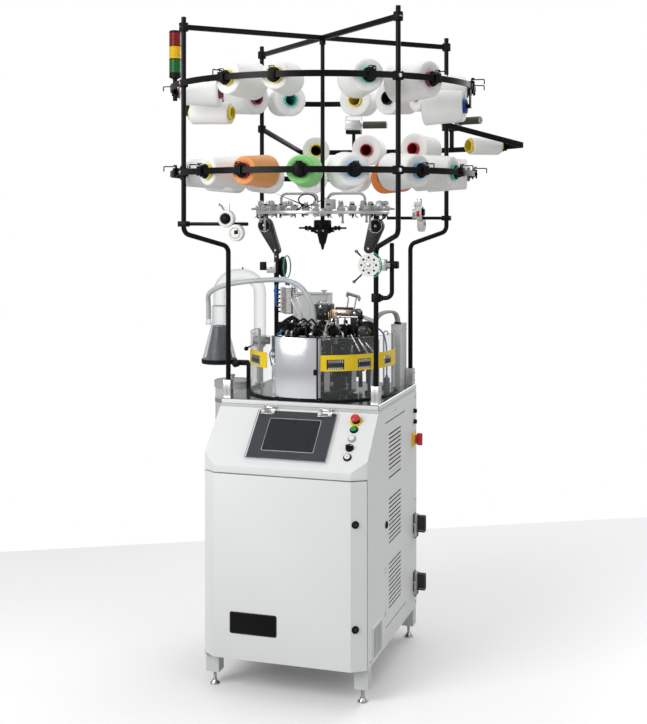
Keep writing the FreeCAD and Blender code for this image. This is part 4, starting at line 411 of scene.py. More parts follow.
class Coat(Enum):
    """Every finish on the machine."""

    CABINET = Finish("light_grey_powder_coat", (0.80, 0.81, 0.815), 0.42, grain=1400, shade=0.03,
                     dust=0.03, bump=0.10)
    FRAME = Finish("frame_grey_paint", (0.66, 0.67, 0.67), 0.5, grain=900, bump=0.12)
    SHADOW = Finish("unlit_inside", (0.015, 0.015, 0.017), 0.8)
    BLACK = Finish("black_tube_paint", (0.003, 0.003, 0.0035), 0.36, grain=1100, shade=0.3, bump=0.06,
                   dust=0.0, specular=0.16)
    BLACK_MATT = Finish("matt_black_moulding", (0.005, 0.005, 0.006), 0.5, grain=2000, shade=0.25, bump=0.2,
                        dust=0.0, specular=0.16)
    CAST_DARK = Finish("blackened_casting", (0.035, 0.033, 0.032), 0.45, 0.5, grain=700, shade=0.4, bump=0.5)
    BEZEL = Finish("terminal_front", (0.034, 0.040, 0.047), 0.42, grain=2600, shade=0.06, bump=0.08,
                   dust=0.0, specular=0.14)
    SCREEN = Finish("dark_screen", (0.006, 0.007, 0.010), 0.12, grain=300, shade=0.2, gloss=0.03, bump=0.0,
                    dust=0.0, specular=0.12)
    STEEL = Finish("ground_steel", (0.56, 0.56, 0.55), 0.24, 1.0, 1600, Stretch.UPRIGHT, 0.14,
                   bump=0.12, dust=0.03)
    BRIGHT = Finish("polished_steel", (0.70, 0.70, 0.69), 0.12, 1.0, 700, shade=0.06, bump=0.03, dust=0.03)
    TABLE = Finish("polished_table", (0.50, 0.51, 0.52), 0.16, 1.0, 1500, Stretch.ALONG_X, 0.08,
                   0.1, 0.08, 0.05)
    ALUMINIUM = Finish("anodised_aluminium", (0.80, 0.80, 0.79), 0.33, 1.0, 1500, Stretch.UPRIGHT,
                       0.05, bump=0.08)
    CAST = Finish("cast_aluminium", (0.47, 0.48, 0.48), 0.4, 0.9, 1100, shade=0.18, bump=0.35)
    GREY_METAL = Finish("grey_enamel", (0.42, 0.43, 0.43), 0.4, grain=900, bump=0.15)
    BRASS = Finish("turned_brass", (0.66, 0.47, 0.20), 0.25, 1.0, 1300, shade=0.1, bump=0.1)
    COPPER = Finish("heat_stained_steel", (0.34, 0.24, 0.17), 0.3, 1.0, 500, shade=0.4, bump=0.15)
    RUBBER = Finish("black_rubber", (0.014, 0.014, 0.014), 0.72, grain=1800, bump=0.4)
    OLIVE = Finish("olive_roll_rubber", (0.045, 0.042, 0.028), 0.55, grain=1500, bump=0.3)
    RED = Finish("red_moulding", (0.62, 0.012, 0.010), 0.3, grain=2200, bump=0.05, coat=0.3)
    GREEN = Finish("green_moulding", (0.012, 0.30, 0.055), 0.32, grain=2200, bump=0.05, coat=0.3)
    YELLOW = Finish("yellow_moulding", (0.85, 0.60, 0.010), 0.35, grain=2200, bump=0.05, coat=0.2)
    BAND = Finish("yellow_band", (0.88, 0.62, 0.008), 0.38, grain=1500, bump=0.05, dust=0.02)
    WHITE = Finish("white_moulding", (0.82, 0.82, 0.80), 0.32, grain=2200, bump=0.05, coat=0.2)
    TEAL = Finish("teal_ring", (0.02, 0.34, 0.22), 0.35, bump=0.05)
    LAMP_RED = Finish("red_lens", (0.20, 0.003, 0.003), 0.25, grain=500, bump=0.1, dust=0.0, specular=0.35)
    LAMP_YELLOW = Finish("yellow_lens", (0.72, 0.44, 0.003), 0.25, grain=500, bump=0.1,
                         dust=0.0, specular=0.35)
    LAMP_GREEN = Finish("green_lens", (0.003, 0.12, 0.02), 0.25, grain=500, bump=0.1, dust=0.0, specular=0.35)
    CORE_YELLOW = Finish("yellow_core", (0.80, 0.66, 0.06), 0.45)
    CORE_PURPLE = Finish("plum_core", (0.26, 0.030, 0.11), 0.45)
    CORE_RED = Finish("crimson_core", (0.42, 0.010, 0.020), 0.45)
    CORE_BLUE = Finish("blue_core", (0.010, 0.045, 0.36), 0.35)
    CORE_SKY = Finish("sky_core", (0.10, 0.42, 0.68), 0.45)
    CORE_TEAL = Finish("sea_green_core", (0.06, 0.50, 0.42), 0.45)
    CORE_BROWN = Finish("card_core", (0.22, 0.12, 0.06), 0.75)
    CORE_BLACK = Finish("black_core", (0.010, 0.010, 0.012), 0.4)
    YARN_WHITE = Yarn("white_yarn", (0.92, 0.92, 0.91), 0.85, bump=0.45, shade=0.05)
    YARN_IVORY = Yarn("ivory_yarn", (0.90, 0.89, 0.86), 0.85, bump=0.45, shade=0.06, turns=38.0)
    YARN_ORANGE = Yarn("orange_yarn", (0.90, 0.36, 0.11), 0.8, bump=0.45, shade=0.14)
    YARN_RUST = Yarn("rust_yarn", (0.72, 0.19, 0.03), 0.8, bump=0.45, shade=0.14)
    YARN_GREEN = Yarn("light_green_yarn", (0.24, 0.66, 0.19), 0.8, bump=0.45, shade=0.14)
    CLEAR = Finish("clear_sheet", (0.46, 0.49, 0.50), 0.05, grain=200, gloss=0.02, bump=0.0, dust=0.0,
                   opacity=0.05, rim=0.30)
    CLEAR_EDGE = Finish("sheet_edge", (0.30, 0.33, 0.34), 0.15, bump=0.0, dust=0.0, opacity=0.7)
    FLAP = Finish("screen_flap_sheet", (0.62, 0.65, 0.67), 0.05, grain=200, gloss=0.02, bump=0.0, dust=0.0,
                  opacity=0.015, rim=0.05)
    GLASSY = Finish("clear_moulding", (0.44, 0.47, 0.49), 0.08, gloss=0.03, bump=0.0, dust=0.0,
                    opacity=0.07, rim=0.42)
    POT = Finish("frosted_pot", (0.66, 0.68, 0.69), 0.3, gloss=0.05, bump=0.05, dust=0.0,
                 opacity=0.55, rim=0.3)
    POT_RIM = Finish("pot_rim_moulding", (0.40, 0.42, 0.44), 0.4, bump=0.05)
    MESH = Finish("woven_steel_mesh", (0.085, 0.09, 0.095), 0.42, 0.7, 2500, shade=0.3, bump=0.6)
    DOOR = Finish("satin_guard_door", (0.88, 0.89, 0.92), 0.2, 0.85, 900, Stretch.UPRIGHT, 0.05,
                  0.06, 0.0, 0.04)
    HOSE = Finish("grey_hose", (0.50, 0.53, 0.55), 0.35, grain=700, shade=0.1, bump=0.2, coat=0.3)
    CABLE = Finish("grey_cable_sheath", (0.36, 0.37, 0.33), 0.5, grain=700, shade=0.1, bump=0.2)
    AIR_LINE = Finish("blue_air_line", (0.010, 0.16, 0.52), 0.3, grain=700, shade=0.1, bump=0.05, coat=0.3)

    def material(self) -> bpy.types.Material:
        """The finish's material."""
        return self.value.material()


# ---------------------------------------------------------------- moulds
class Mould:
    """Collects one piece's faces, in millimetres about the knitting axis, and casts them as an object."""

    def __init__(self) -> None:
        """Opens an empty mould with no coats yet."""
        self.bm = bmesh.new()
        self.coats: list[Coat] = []
        self.coat = 0
        self.frame = Matrix.Identity(4)

    def use(self, coat: Coat) -> "Mould":
        """The faces made from here on wear this coat.

        Args:
            coat: the coat.

        Returns:
            This mould.
        """
        if coat not in self.coats:
            self.coats.append(coat)
        self.coat = self.coats.index(coat)
        return self

    def put(self, placement: Matrix) -> "Mould":
        """The faces made from here on are drawn in this placement."""
        self.frame = placement
        return self

    def home(self) -> "Mould":
        """The faces made from here on are drawn about the knitting axis."""
        return self.put(Matrix.Identity(4))

    def faces(self, points: Sequence[Vector], loops: Iterable[Sequence[int]], edge: float = 0.0,
              rounds: int = 2) -> None:
        """Adds a closed form, with its faces outwards and its sharp edges rounded.

        Args:
            points: its corners, in the current placement.
            loops: each face as indices of the corners.
            edge: radius of the rounded edges, or none.
            rounds: segments of each rounded edge.
        """
        corners = [self.bm.verts.new(self.frame @ Vector(p)) for p in points]
        made = [self.bm.faces.new([corners[i] for i in loop]) for loop in loops]
        bmesh.ops.recalc_face_normals(self.bm, faces=made)
        for face in made:
            face.material_index = self.coat
            face.smooth = True
        if edge:
            edges = [e for e in {e for f in made for e in f.edges} if len(e.link_faces) == 2
                     and e.calc_face_angle(0.0) > ROUNDED]
            done = bmesh.ops.bevel(self.bm, geom=edges, offset=edge, segments=rounds, profile=0.5,
                                   affect="EDGES", clamp_overlap=True, material=-1)
            for face in done["faces"]:
                face.smooth = True
                face.material_index = self.coat

    def block(self, x: tuple[float, float], y: tuple[float, float], z: tuple[float, float],
              edge: float = 0.8) -> None:
        """Adds a block between two corners with rounded edges."""
        self.slab([(x[0], y[0]), (x[1], y[0]), (x[1], y[1]), (x[0], y[1])], z, edge)

    def slab(self, outline: Sequence[Point], z: tuple[float, float], edge: float = 0.8,
             rounds: int = 2) -> None:
        """Adds a plate of any outline.

        Args:
            outline: its corners as (x, y).
            z: its low and high faces.
            edge: radius of its rounded edges.
            rounds: segments of each rounded edge.
        """
        n = len(outline)
        points = [Vector((p[0], p[1], z[0])) for p in outline] + [Vector((p[0], p[1], z[1])) for p in outline]
        loops: list[Sequence[int]] = [tuple(range(n - 1, -1, -1)), tuple(range(n, 2 * n))]
        loops += [(i, (i + 1) % n, n + (i + 1) % n, n + i) for i in range(n)]
        self.faces(points, loops, edge, rounds)

    def turn(self, profile: Sequence[Point], base: Point = (0, 0, 0), axis: Vector = Z_AXIS, steps: int = 40,
             hollow: bool = False, edge: float = 0) -> None:
        """Adds a turned form.

        Args:
            profile: its (radius, height) stations; a hollow form's profile closes on itself.
            base: where its height is zero.
            axis: the way its height grows.
            steps: facets round it.
            hollow: whether the profile is a closed outline off the axis.
            edge: radius of its rounded rims.
        """
        inner = self.frame
        self.frame = inner @ facing(base, axis)
        points: list[Vector] = []
        rows: list[list[int]] = []
        for radius, height in profile:
            if radius <= 1e-6:
                rows.append([len(points)] * steps)
                points.append(Vector((0, 0, height)))
                continue
            rows.append(list(range(len(points), len(points) + steps)))
            points += [on_circle(radius, 360 * (i + 0.5) / steps, height) for i in range(steps)]
        loops: list[Sequence[int]] = []
        for low, high in zip(rows, rows[1:] + rows[:1] if hollow else rows[1:]):
            for i in range(steps):
                j = (i + 1) % steps
                ring = (low[i], low[j], high[j], high[i])
                loop = [k for n, k in enumerate(ring) if k != ring[n - 1]]
                if len(loop) > 2:
                    loops.append(loop)
        if not hollow:
            loops += [row for row in (rows[0], rows[-1]) if row[0] != row[1]]
        self.faces(points, loops, edge)
        self.frame = inner

    def rod(self, radius: float, start: Point, end: Point, steps: int = 16, edge: float = 0.0) -> None:
        """Adds a round bar between two points."""
        line = Vector(end) - Vector(start)
        self.turn([(radius, 0), (radius, line.length)], start, line.normalized(), steps, edge=edge)

    def ball(self, radius: float, centre: Point, steps: int = 20) -> None:
        """Adds a ball.

        Args:
            radius: its radius.
            centre: its middle.
            steps: facets round it.
        """
        half = steps // 2
        profile = [(radius * math.sin(math.pi * i / half), -radius * math.cos(math.pi * i / half))
                   for i in range(half + 1)]
        self.turn(profile, centre, Z_AXIS, steps)

    def wall(self, radii: tuple[float, float], z: tuple[float, float], azimuths: tuple[float, float],
             step: float = 2.5, edge: float = 0) -> None:
        """Adds a curved wall about the knitting axis.

        Args:
            radii: its inner and outer radius.
            z: its low and high edges.
            azimuths: its two ends, in degrees.
            step: degrees a facet.
            edge: radius of its rounded edges.
        """
        count = max(2, round((azimuths[1] - azimuths[0]) / step))
        places = [azimuths[0] + (azimuths[1] - azimuths[0]) * i / count for i in range(count + 1)]
        outline = [on_circle(radii[1], a) for a in places] + [
            on_circle(radii[0], a) for a in reversed(places)]
        bottom = [Vector((p.x, p.y, z[0])) for p in outline]
        top = [Vector((p.x, p.y, z[1])) for p in outline]
        n = len(outline)
        loops: list[Sequence[int]] = [(i, (i + 1) % n, n + (i + 1) % n, n + i) for i in range(n)]
        for i in range(count):
            j = n - 1 - i
            loops += [(i, i + 1, j - 1, j), (n + i, n + i + 1, n + j - 1, n + j)]
        self.faces(bottom + top, loops, edge)

    def pipe(self, points: Sequence[Point], radius: float, bend: float = 0.0, steps: int = 14, turns: int = 7,
             bore: float = 0) -> None:
        """Adds a bar or tube along straight runs with rounded bends.

        Args:
            points: the runs' corners.
            radius: the bar's radius.
            bend: radius of each bend.
            steps: facets round the bar.
            turns: facets along a bend.
            bore: inner radius of a tube with open ends.
        """
        line = bent([Vector(p) for p in points], bend, turns)
        rings = carried(line, radius, steps)
        corners = [p for ring in rings for p in ring]
        loops = between(len(rings), steps)
        if bore:
            inner = [p for ring in carried(line, bore, steps) for p in ring]
            count = len(corners)
            loops += [[count + k for k in loop] for loop in loops[:]]
            corners += inner
            for r in (0, len(rings) - 1):
                for i in range(steps):
                    j = (i + 1) % steps
                    a, b = r * steps + i, r * steps + j
                    loops.append((a, b, count + b, count + a))
        else:
            loops += [tuple(range(steps)), tuple(range((len(rings) - 1) * steps, len(rings) * steps))]
        self.faces(corners, loops)

    def screw(self, centre: Point, axis: Vector, radius: float = 4.0, height: float = 3.0) -> None:
        """Adds a cap screw's head with its hexagon socket.

        Args:
            centre: the middle of the head's seat.
            axis: the way the head points.
            radius: the head's radius.
            height: the head's height.
        """
        socket = radius * 0.5
        self.turn([(radius, 0), (radius, height * 0.8), (radius * 0.85, height), (socket, height),
                   (socket, height * 0.4), (0, height * 0.4)], centre, axis, 12)

    def take(self, mesh: bpy.types.Mesh) -> None:
        """Adds a finished mesh that is drawn in the same millimetres, and frees it.

        Args:
            mesh: the mesh.
        """
        before = len(self.bm.faces)
        mesh.transform(self.frame)
        self.bm.from_mesh(mesh)
        self.bm.faces.ensure_lookup_table()
        for face in self.bm.faces[before:]:
            face.material_index = self.coat
            face.smooth = True
        bpy.data.meshes.remove(mesh)

    def copy(self) -> "Mould":
        """Another mould that holds the same faces.

        Returns:
            The new mould.
        """
        other = Mould()
        other.bm = self.bm.copy()
        return other

    def loose(self, name: str) -> bpy.types.Object:
        """The mould's faces as an unplaced object, for a recipe to repeat.

        Args:
            name: the object's name.

        Returns:
            The object, which is in no scene.
        """
        mesh = bpy.data.meshes.new(name)
        self.bm.to_mesh(mesh)
        self.bm.free()
        return bpy.data.objects.new(name, mesh)

    def cast(self, name: str, body: str, stands_for: Sequence[str] = (),
             sharp: float = SHARP) -> bpy.types.Object:
        """Makes the piece an object in metres that rides on a body.

        Args:
            name: the object's name.
            body: the body it moves with.
            stands_for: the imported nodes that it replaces.
            sharp: the angle above which an edge stays sharp.

        Returns:
            The finished object.
        """
        mesh = bpy.data.meshes.new(name)
        self.bm.transform(Matrix.Translation(KNITTING_AXIS) @ Matrix.Scale(MM, 4))
        self.bm.to_mesh(mesh)
        self.bm.free()
        return settle(name, mesh, [coat.material() for coat in self.coats], body, stands_for, sharp)


def settle(name: str, mesh: bpy.types.Mesh, coats: Sequence[bpy.types.Material], body: str,
           stands_for: Sequence[str],
           sharp: float = SHARP) -> bpy.types.Object:
    """Dresses a mesh, puts it in the scene and ties it to its body.

    Args:
        name: the object's name.
        mesh: its mesh, in metres in the frame.
        coats: its materials, in the order of the faces' indices.
        body: the body it moves with.
        stands_for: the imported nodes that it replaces.
        sharp: the angle above which an edge stays sharp.

    Returns:
        The object.
    """
    for coat in coats:
        mesh.materials.append(coat)
    mesh.shade_smooth()
    mesh.set_sharp_from_angle(angle=sharp)
    piece = bpy.data.objects.new(name, mesh)
    bpy.context.scene.collection.objects.link(piece)
    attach(piece, body)
    if stands_for:
        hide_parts(*stands_for)
    log.info("%s: %d faces on %s", name, len(mesh.polygons), body)
    return piece


def bent(points: list[Vector], radius: float, turns: int) -> list[Vector]:
    """A line whose corners are rounded.

    Args:
        points: the line's corners.
        radius: radius of each bend.
        turns: steps along each bend.

    Returns:
        The rounded line's points.
    """
    line = [points[0]]
    for before, corner, after in zip(points, points[1:], points[2:]):
        u, v = (corner - before).normalized(), (after - corner).normalized()
        turn = u.angle(v)
        if radius and turn > 0.02:
            reach = radius * math.tan(turn / 2)
            middle = corner + (v - u).normalized() * (radius / math.cos(turn / 2))
            first = corner - u * reach - middle
            spin = u.cross(v).normalized()
            line += [middle + Matrix.Rotation(turn * i / turns, 3, spin) @ first for i in range(turns + 1)]
        else:
            line.append(corner)
    return line + [points[-1]]


def carried(line: Sequence[Vector], radius: float, steps: int) -> list[list[Vector]]:
    """Rings of points carried along a line without twist.

    Args:
        line: the line's points.
        radius: the rings' radius.
        steps: points on each ring.

    Returns:
        One ring a point of the line.
    """
    heading = (line[1] - line[0]).normalized()
    turn = Z_AXIS.rotation_difference(heading)
    ring = [line[0] + turn @ on_circle(radius, 360 * (i + 0.5) / steps) for i in range(steps)]
    rings = [ring]
    for i in range(1, len(line)):
        heading = (line[i] - line[i - 1]).normalized()
        onward = (line[i + 1] - line[i]).normalized() if i + 1 < len(line) else heading
        normal = (heading + onward).normalized()
        ring = [p + heading * ((line[i] - p).dot(normal) / heading.dot(normal)) for p in ring]
        rings.append(ring)
    return rings


def softened(node: str, body: str, coat: Coat, edge: float = 1.2) -> bpy.types.Object:
    """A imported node's own form with its edges rounded, in a better finish.

    Args:
        node: the node that the piece stands for.
        body: the body it moves with.
        coat: its finish.
        edge: radius of its edges.

    Returns:
        The finished object.
    """
    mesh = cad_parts[node].data.copy()
    mesh.name = node + "_skin"
    mesh.materials.clear()
    bm = bmesh.new()
    bm.from_mesh(mesh)
    bmesh.ops.remove_doubles(bm, verts=bm.verts, dist=WELD)
    bmesh.ops.dissolve_limit(bm, angle_limit=FLAT, verts=bm.verts, edges=bm.edges)
    for face in bm.faces:
        face.material_index = 0
    bm.to_mesh(mesh)
    bm.free()
    piece = settle(node + "_skin", mesh, [coat.material()], body, [node])
    rounding = piece.modifiers.new("rounded edges", "BEVEL")
    rounding.width = edge * MM
    rounding.segments = 2
    rounding.limit_method = "ANGLE"
    rounding.angle_limit = SKIN_ROUNDED
    rounding.use_clamp_overlap = True
    return piece


# ---------------------------------------------------------------- recipes in geometry nodes
class Recipe(NodeGroup):
    """A geometry node tree under construction, and its use on a passing object."""

    def __init__(self, name: str, inputs: dict[str, str]) -> None:
        """Opens the tree and its sockets.

        Args:
            name: the tree's name.
            inputs: socket kind for each named input.
        """
        super().__init__(name, "GeometryNodeTree", {"Geometry": "NodeSocketGeometry"})
        self.keys: dict[str, str] = {}
        for label, kind in inputs.items():
            self.keys[label] = self.tree.interface.new_socket(
                name=label, in_out="INPUT", socket_type=kind).identifier
        self.given = self.tree.nodes.new("NodeGroupInput").outputs

    def finish(self, geometry: bpy.types.NodeSocket) -> "Recipe":
        """Realizes the instances, sets the material and closes the tree.

        Args:
            geometry: the socket that gives the instances.

        Returns:
            This recipe.
        """
        real = self.node("GeometryNodeRealizeInstances", {"Geometry": geometry})
        dressed = self.node(
            "GeometryNodeSetMaterial", {"Geometry": real.outputs[0], "Material": self.given["Material"]})
        self.link(dressed.outputs[0], self.result["Geometry"])
        return self

    def run(self, **values: object) -> bpy.types.Mesh:
        """Runs the tree on a passing object.

        Args:
            values: the named inputs, with underscores for spaces.

        Returns:
            The result as a plain mesh.
        """
        host = bpy.data.objects.new("passing", bpy.data.meshes.new("passing"))
        bpy.context.scene.collection.objects.link(host)
        modifier = host.modifiers.new("recipe", "NODES")
        modifier.node_group = self.tree
        for label, value in values.items():
            modifier[self.keys[label.replace("_", " ")]] = value
        settled = host.evaluated_get(bpy.context.evaluated_depsgraph_get())
        mesh = bpy.data.meshes.new_from_object(settled)
        host.modifiers.clear()
        bpy.data.objects.remove(host)
        return mesh


def repeating_recipe() -> Recipe:
    """A part repeated in a row, in rising steps or round the knitting axis.

    Returns:
        The recipe, whose inputs are the part, the count, the first turn, the turn and the shift a step, and
        the largest random lean.
    """
    recipe = Recipe("Repeat Part", {
        "Part": "NodeSocketObject", "Count": "NodeSocketInt", "First Turn": "NodeSocketFloat",
        "Turn": "NodeSocketFloat", "Shift": "NodeSocketVector", "Lean": "NodeSocketFloat",
        "Seed": "NodeSocketInt", "Material": "NodeSocketMaterial"})
    given = recipe.given
    index = recipe.node("GeometryNodeInputIndex").outputs[0]
    shift = recipe.node("ShaderNodeVectorMath", {0: given["Shift"], "Scale": index},
                        operation="SCALE").outputs[0]
    points = recipe.node("GeometryNodePoints", {"Count": given["Count"], "Position": shift})
    part = recipe.node("GeometryNodeObjectInfo", {"Object": given["Part"]}, transform_space="ORIGINAL")
    tilt = 0.05
    chance = recipe.node("FunctionNodeRandomValue", {
        "Min": (-tilt, -tilt, -1.0), "Max": (tilt, tilt, 1.0), "Seed": given["Seed"]},
        data_type="FLOAT_VECTOR").outputs[0]
    lean = recipe.node("ShaderNodeVectorMath", {0: chance, "Scale": given["Lean"]},
                       operation="SCALE").outputs[0]
    turn = recipe.maths("ADD", given["First Turn"], recipe.maths("MULTIPLY", index, given["Turn"]))
    upright = recipe.node("ShaderNodeCombineXYZ", {"Z": recipe.maths("RADIANS", turn)}).outputs[0]
    spin = recipe.node("ShaderNodeVectorMath", {0: lean, 1: upright}, operation="ADD").outputs[0]
    copies = recipe.node("GeometryNodeInstanceOnPoints", {
        "Points": points.outputs[0], "Instance": part.outputs["Geometry"], "Rotation": spin})
    return recipe.finish(copies.outputs[0])


def package_recipe() -> Recipe:
    """A yarn package wound on its core: a cone whose ends bulge and whose shoulders are rounded.

    Returns:
        The recipe, whose inputs are the outer and inner end radius, the core's radius, the length and the
        seed of its small unevenness. The package lies along X, its outer end at zero.
    """
    recipe = Recipe("Wound Package", {
        "Outer Radius": "NodeSocketFloat", "Inner Radius": "NodeSocketFloat",
        "Core Radius": "NodeSocketFloat", "Length": "NodeSocketFloat", "Seed": "NodeSocketFloat",
        "Material": "NodeSocketMaterial"})
    given = recipe.given
    grid = recipe.node("GeometryNodeMeshGrid",
                       {"Size X": 1.0, "Size Y": 1.0, "Vertices X": 49, "Vertices Y": 29})
    split = recipe.node("ShaderNodeSeparateXYZ", {0: recipe.node("GeometryNodeInputPosition").outputs[0]})
    round_about = recipe.maths("MULTIPLY", recipe.maths("ADD", split.outputs["X"], 0.5), 2 * math.pi)
    across = recipe.maths("ADD", split.outputs["Y"], 0.5)

    def curve(knots: Sequence[Point]) -> bpy.types.NodeSocket:
        """A Float Curve through the knots, read at the place across the grid.

        Args:
            knots: the curve's points, from one end to the other.

        Returns:
            The socket that gives the curve's value.
        """
        node = recipe.node("ShaderNodeFloatCurve", {"Value": across})
        line = node.mapping.curves[0]
        line.points[0].location, line.points[1].location = knots[0], knots[-1]
        for knot in knots[1:-1]:
            line.points.new(*knot)
        node.mapping.update()
        return node.outputs[0]

    swell = curve([(0, 0), (0.10, 0.55), (0.17, 0.93), (0.24, 1.0), (0.76, 1.0), (0.83, 0.93),
                   (0.90, 0.55), (1, 0)])
    along = curve([(0, 0.035), (0.10, 0.0), (0.17, 0.012), (0.24, 0.05), (0.76, 0.95), (0.83, 0.988),
                   (0.90, 1.0), (1, 0.965)])
    growth = recipe.maths("MULTIPLY",
                          recipe.maths("SUBTRACT", given["Inner Radius"], given["Outer Radius"]), along)
    full = recipe.maths("ADD", given["Outer Radius"], growth)
    radius = recipe.maths("ADD", given["Core Radius"],
                          recipe.maths(
                              "MULTIPLY", recipe.maths("SUBTRACT", full, given["Core Radius"]), swell))
    place = recipe.node("ShaderNodeCombineXYZ", {
        "X": recipe.maths("MULTIPLY", recipe.maths("MULTIPLY", given["Length"], along), -1.0),
        "Y": recipe.maths("MULTIPLY", radius, recipe.maths("COSINE", round_about)),
        "Z": recipe.maths("MULTIPLY", radius, recipe.maths("SINE", round_about))}).outputs[0]
    wrapped = recipe.node("GeometryNodeStoreNamedAttribute", {
        "Geometry": grid.outputs["Mesh"], "Name": "UVMap", "Value": grid.outputs["UV Map"]},
        data_type="FLOAT2", domain="CORNER")
    moved = recipe.node("GeometryNodeSetPosition", {"Geometry": wrapped.outputs[0], "Position": place})
    closed = recipe.node("GeometryNodeMergeByDistance", {"Geometry": moved.outputs[0], "Distance": 0.01})
    uneven = recipe.node("ShaderNodeTexNoise", {"Scale": 0.025, "Detail": 2.0, "W": given["Seed"]},
                         noise_dimensions="4D")
    bulge = recipe.maths("MULTIPLY", recipe.maths("SUBTRACT", uneven.outputs["Fac"], 0.5), 2.4)
    push = recipe.node("ShaderNodeVectorMath",
                       {0: recipe.node("GeometryNodeInputNormal").outputs[0], "Scale": bulge},
                       operation="SCALE")
    worn = recipe.node("GeometryNodeSetPosition", {"Geometry": closed.outputs[0], "Offset": push.outputs[0]})
    return recipe.finish(worn.outputs[0])


def netting_recipe() -> Recipe:
    """Round wires laid along the edges of a form, as a woven basket has them.

    Returns:
        The recipe, whose inputs are the form and the wire's radius.
    """
    recipe = Recipe("Wire Netting", {
        "Form": "NodeSocketObject", "Wire Radius": "NodeSocketFloat", "Material": "NodeSocketMaterial"})
    form = recipe.node("GeometryNodeObjectInfo", {"Object": recipe.given["Form"]}, transform_space="ORIGINAL")
    edges = recipe.node("GeometryNodeMeshToCurve", {"Mesh": form.outputs["Geometry"]})
    wire = recipe.node("GeometryNodeCurvePrimitiveCircle",
                       {"Resolution": 4, "Radius": recipe.given["Wire Radius"]})
    net = recipe.node("GeometryNodeCurveToMesh",
                      {"Curve": edges.outputs[0], "Profile Curve": wire.outputs[0]})
    return recipe.finish(net.outputs[0])


@dataclass
class Workshop:
    """The recipes in hand while the machine is built."""

    repeating: Recipe = field(default_factory=repeating_recipe)
    package: Recipe = field(default_factory=package_recipe)
    netting: Recipe = field(default_factory=netting_recipe)

    @staticmethod
    def work(recipe: Recipe, target: Mould, label: str, part: Mould, **values: object) -> None:
        """Works a part with a recipe and adds the result to another mould, in its placement and coat.

        Args:
            recipe: the recipe.
            target: the mould that takes the result.
            label: the recipe's input for the part.
            part: the part.
            values: the recipe's other inputs.
        """
        shape = part.loose(label)
        bpy.context.scene.collection.objects.link(shape)
        mesh = recipe.run(Material=target.coats[target.coat].material(), **{label: shape}, **values)
        bpy.data.objects.remove(shape)
        target.take(mesh)

    def repeat(self, target: Mould, part: Mould, count: int, turn: float = 0.0, first: float = 0.0,
               shift: Point = (0.0, 0.0, 0.0), lean: float = 0.0, seed: int = 7) -> None:
        """Repeats a part into another mould, in the target's placement and coat.

        Args:
            target: the mould that takes the copies.
            part: the part, drawn for the first place.
            count: how many copies.
            turn: degrees from one copy to the next.
            first: degrees of the first copy.
            shift: shift from one copy to the next.
            lean: largest random lean, in radians.
            seed: seed of the lean.
        """
        self.work(self.repeating, target, "Part", part, Count=count, First_Turn=first, Turn=turn,
                  Shift=tuple(shift), Lean=lean, Seed=seed)


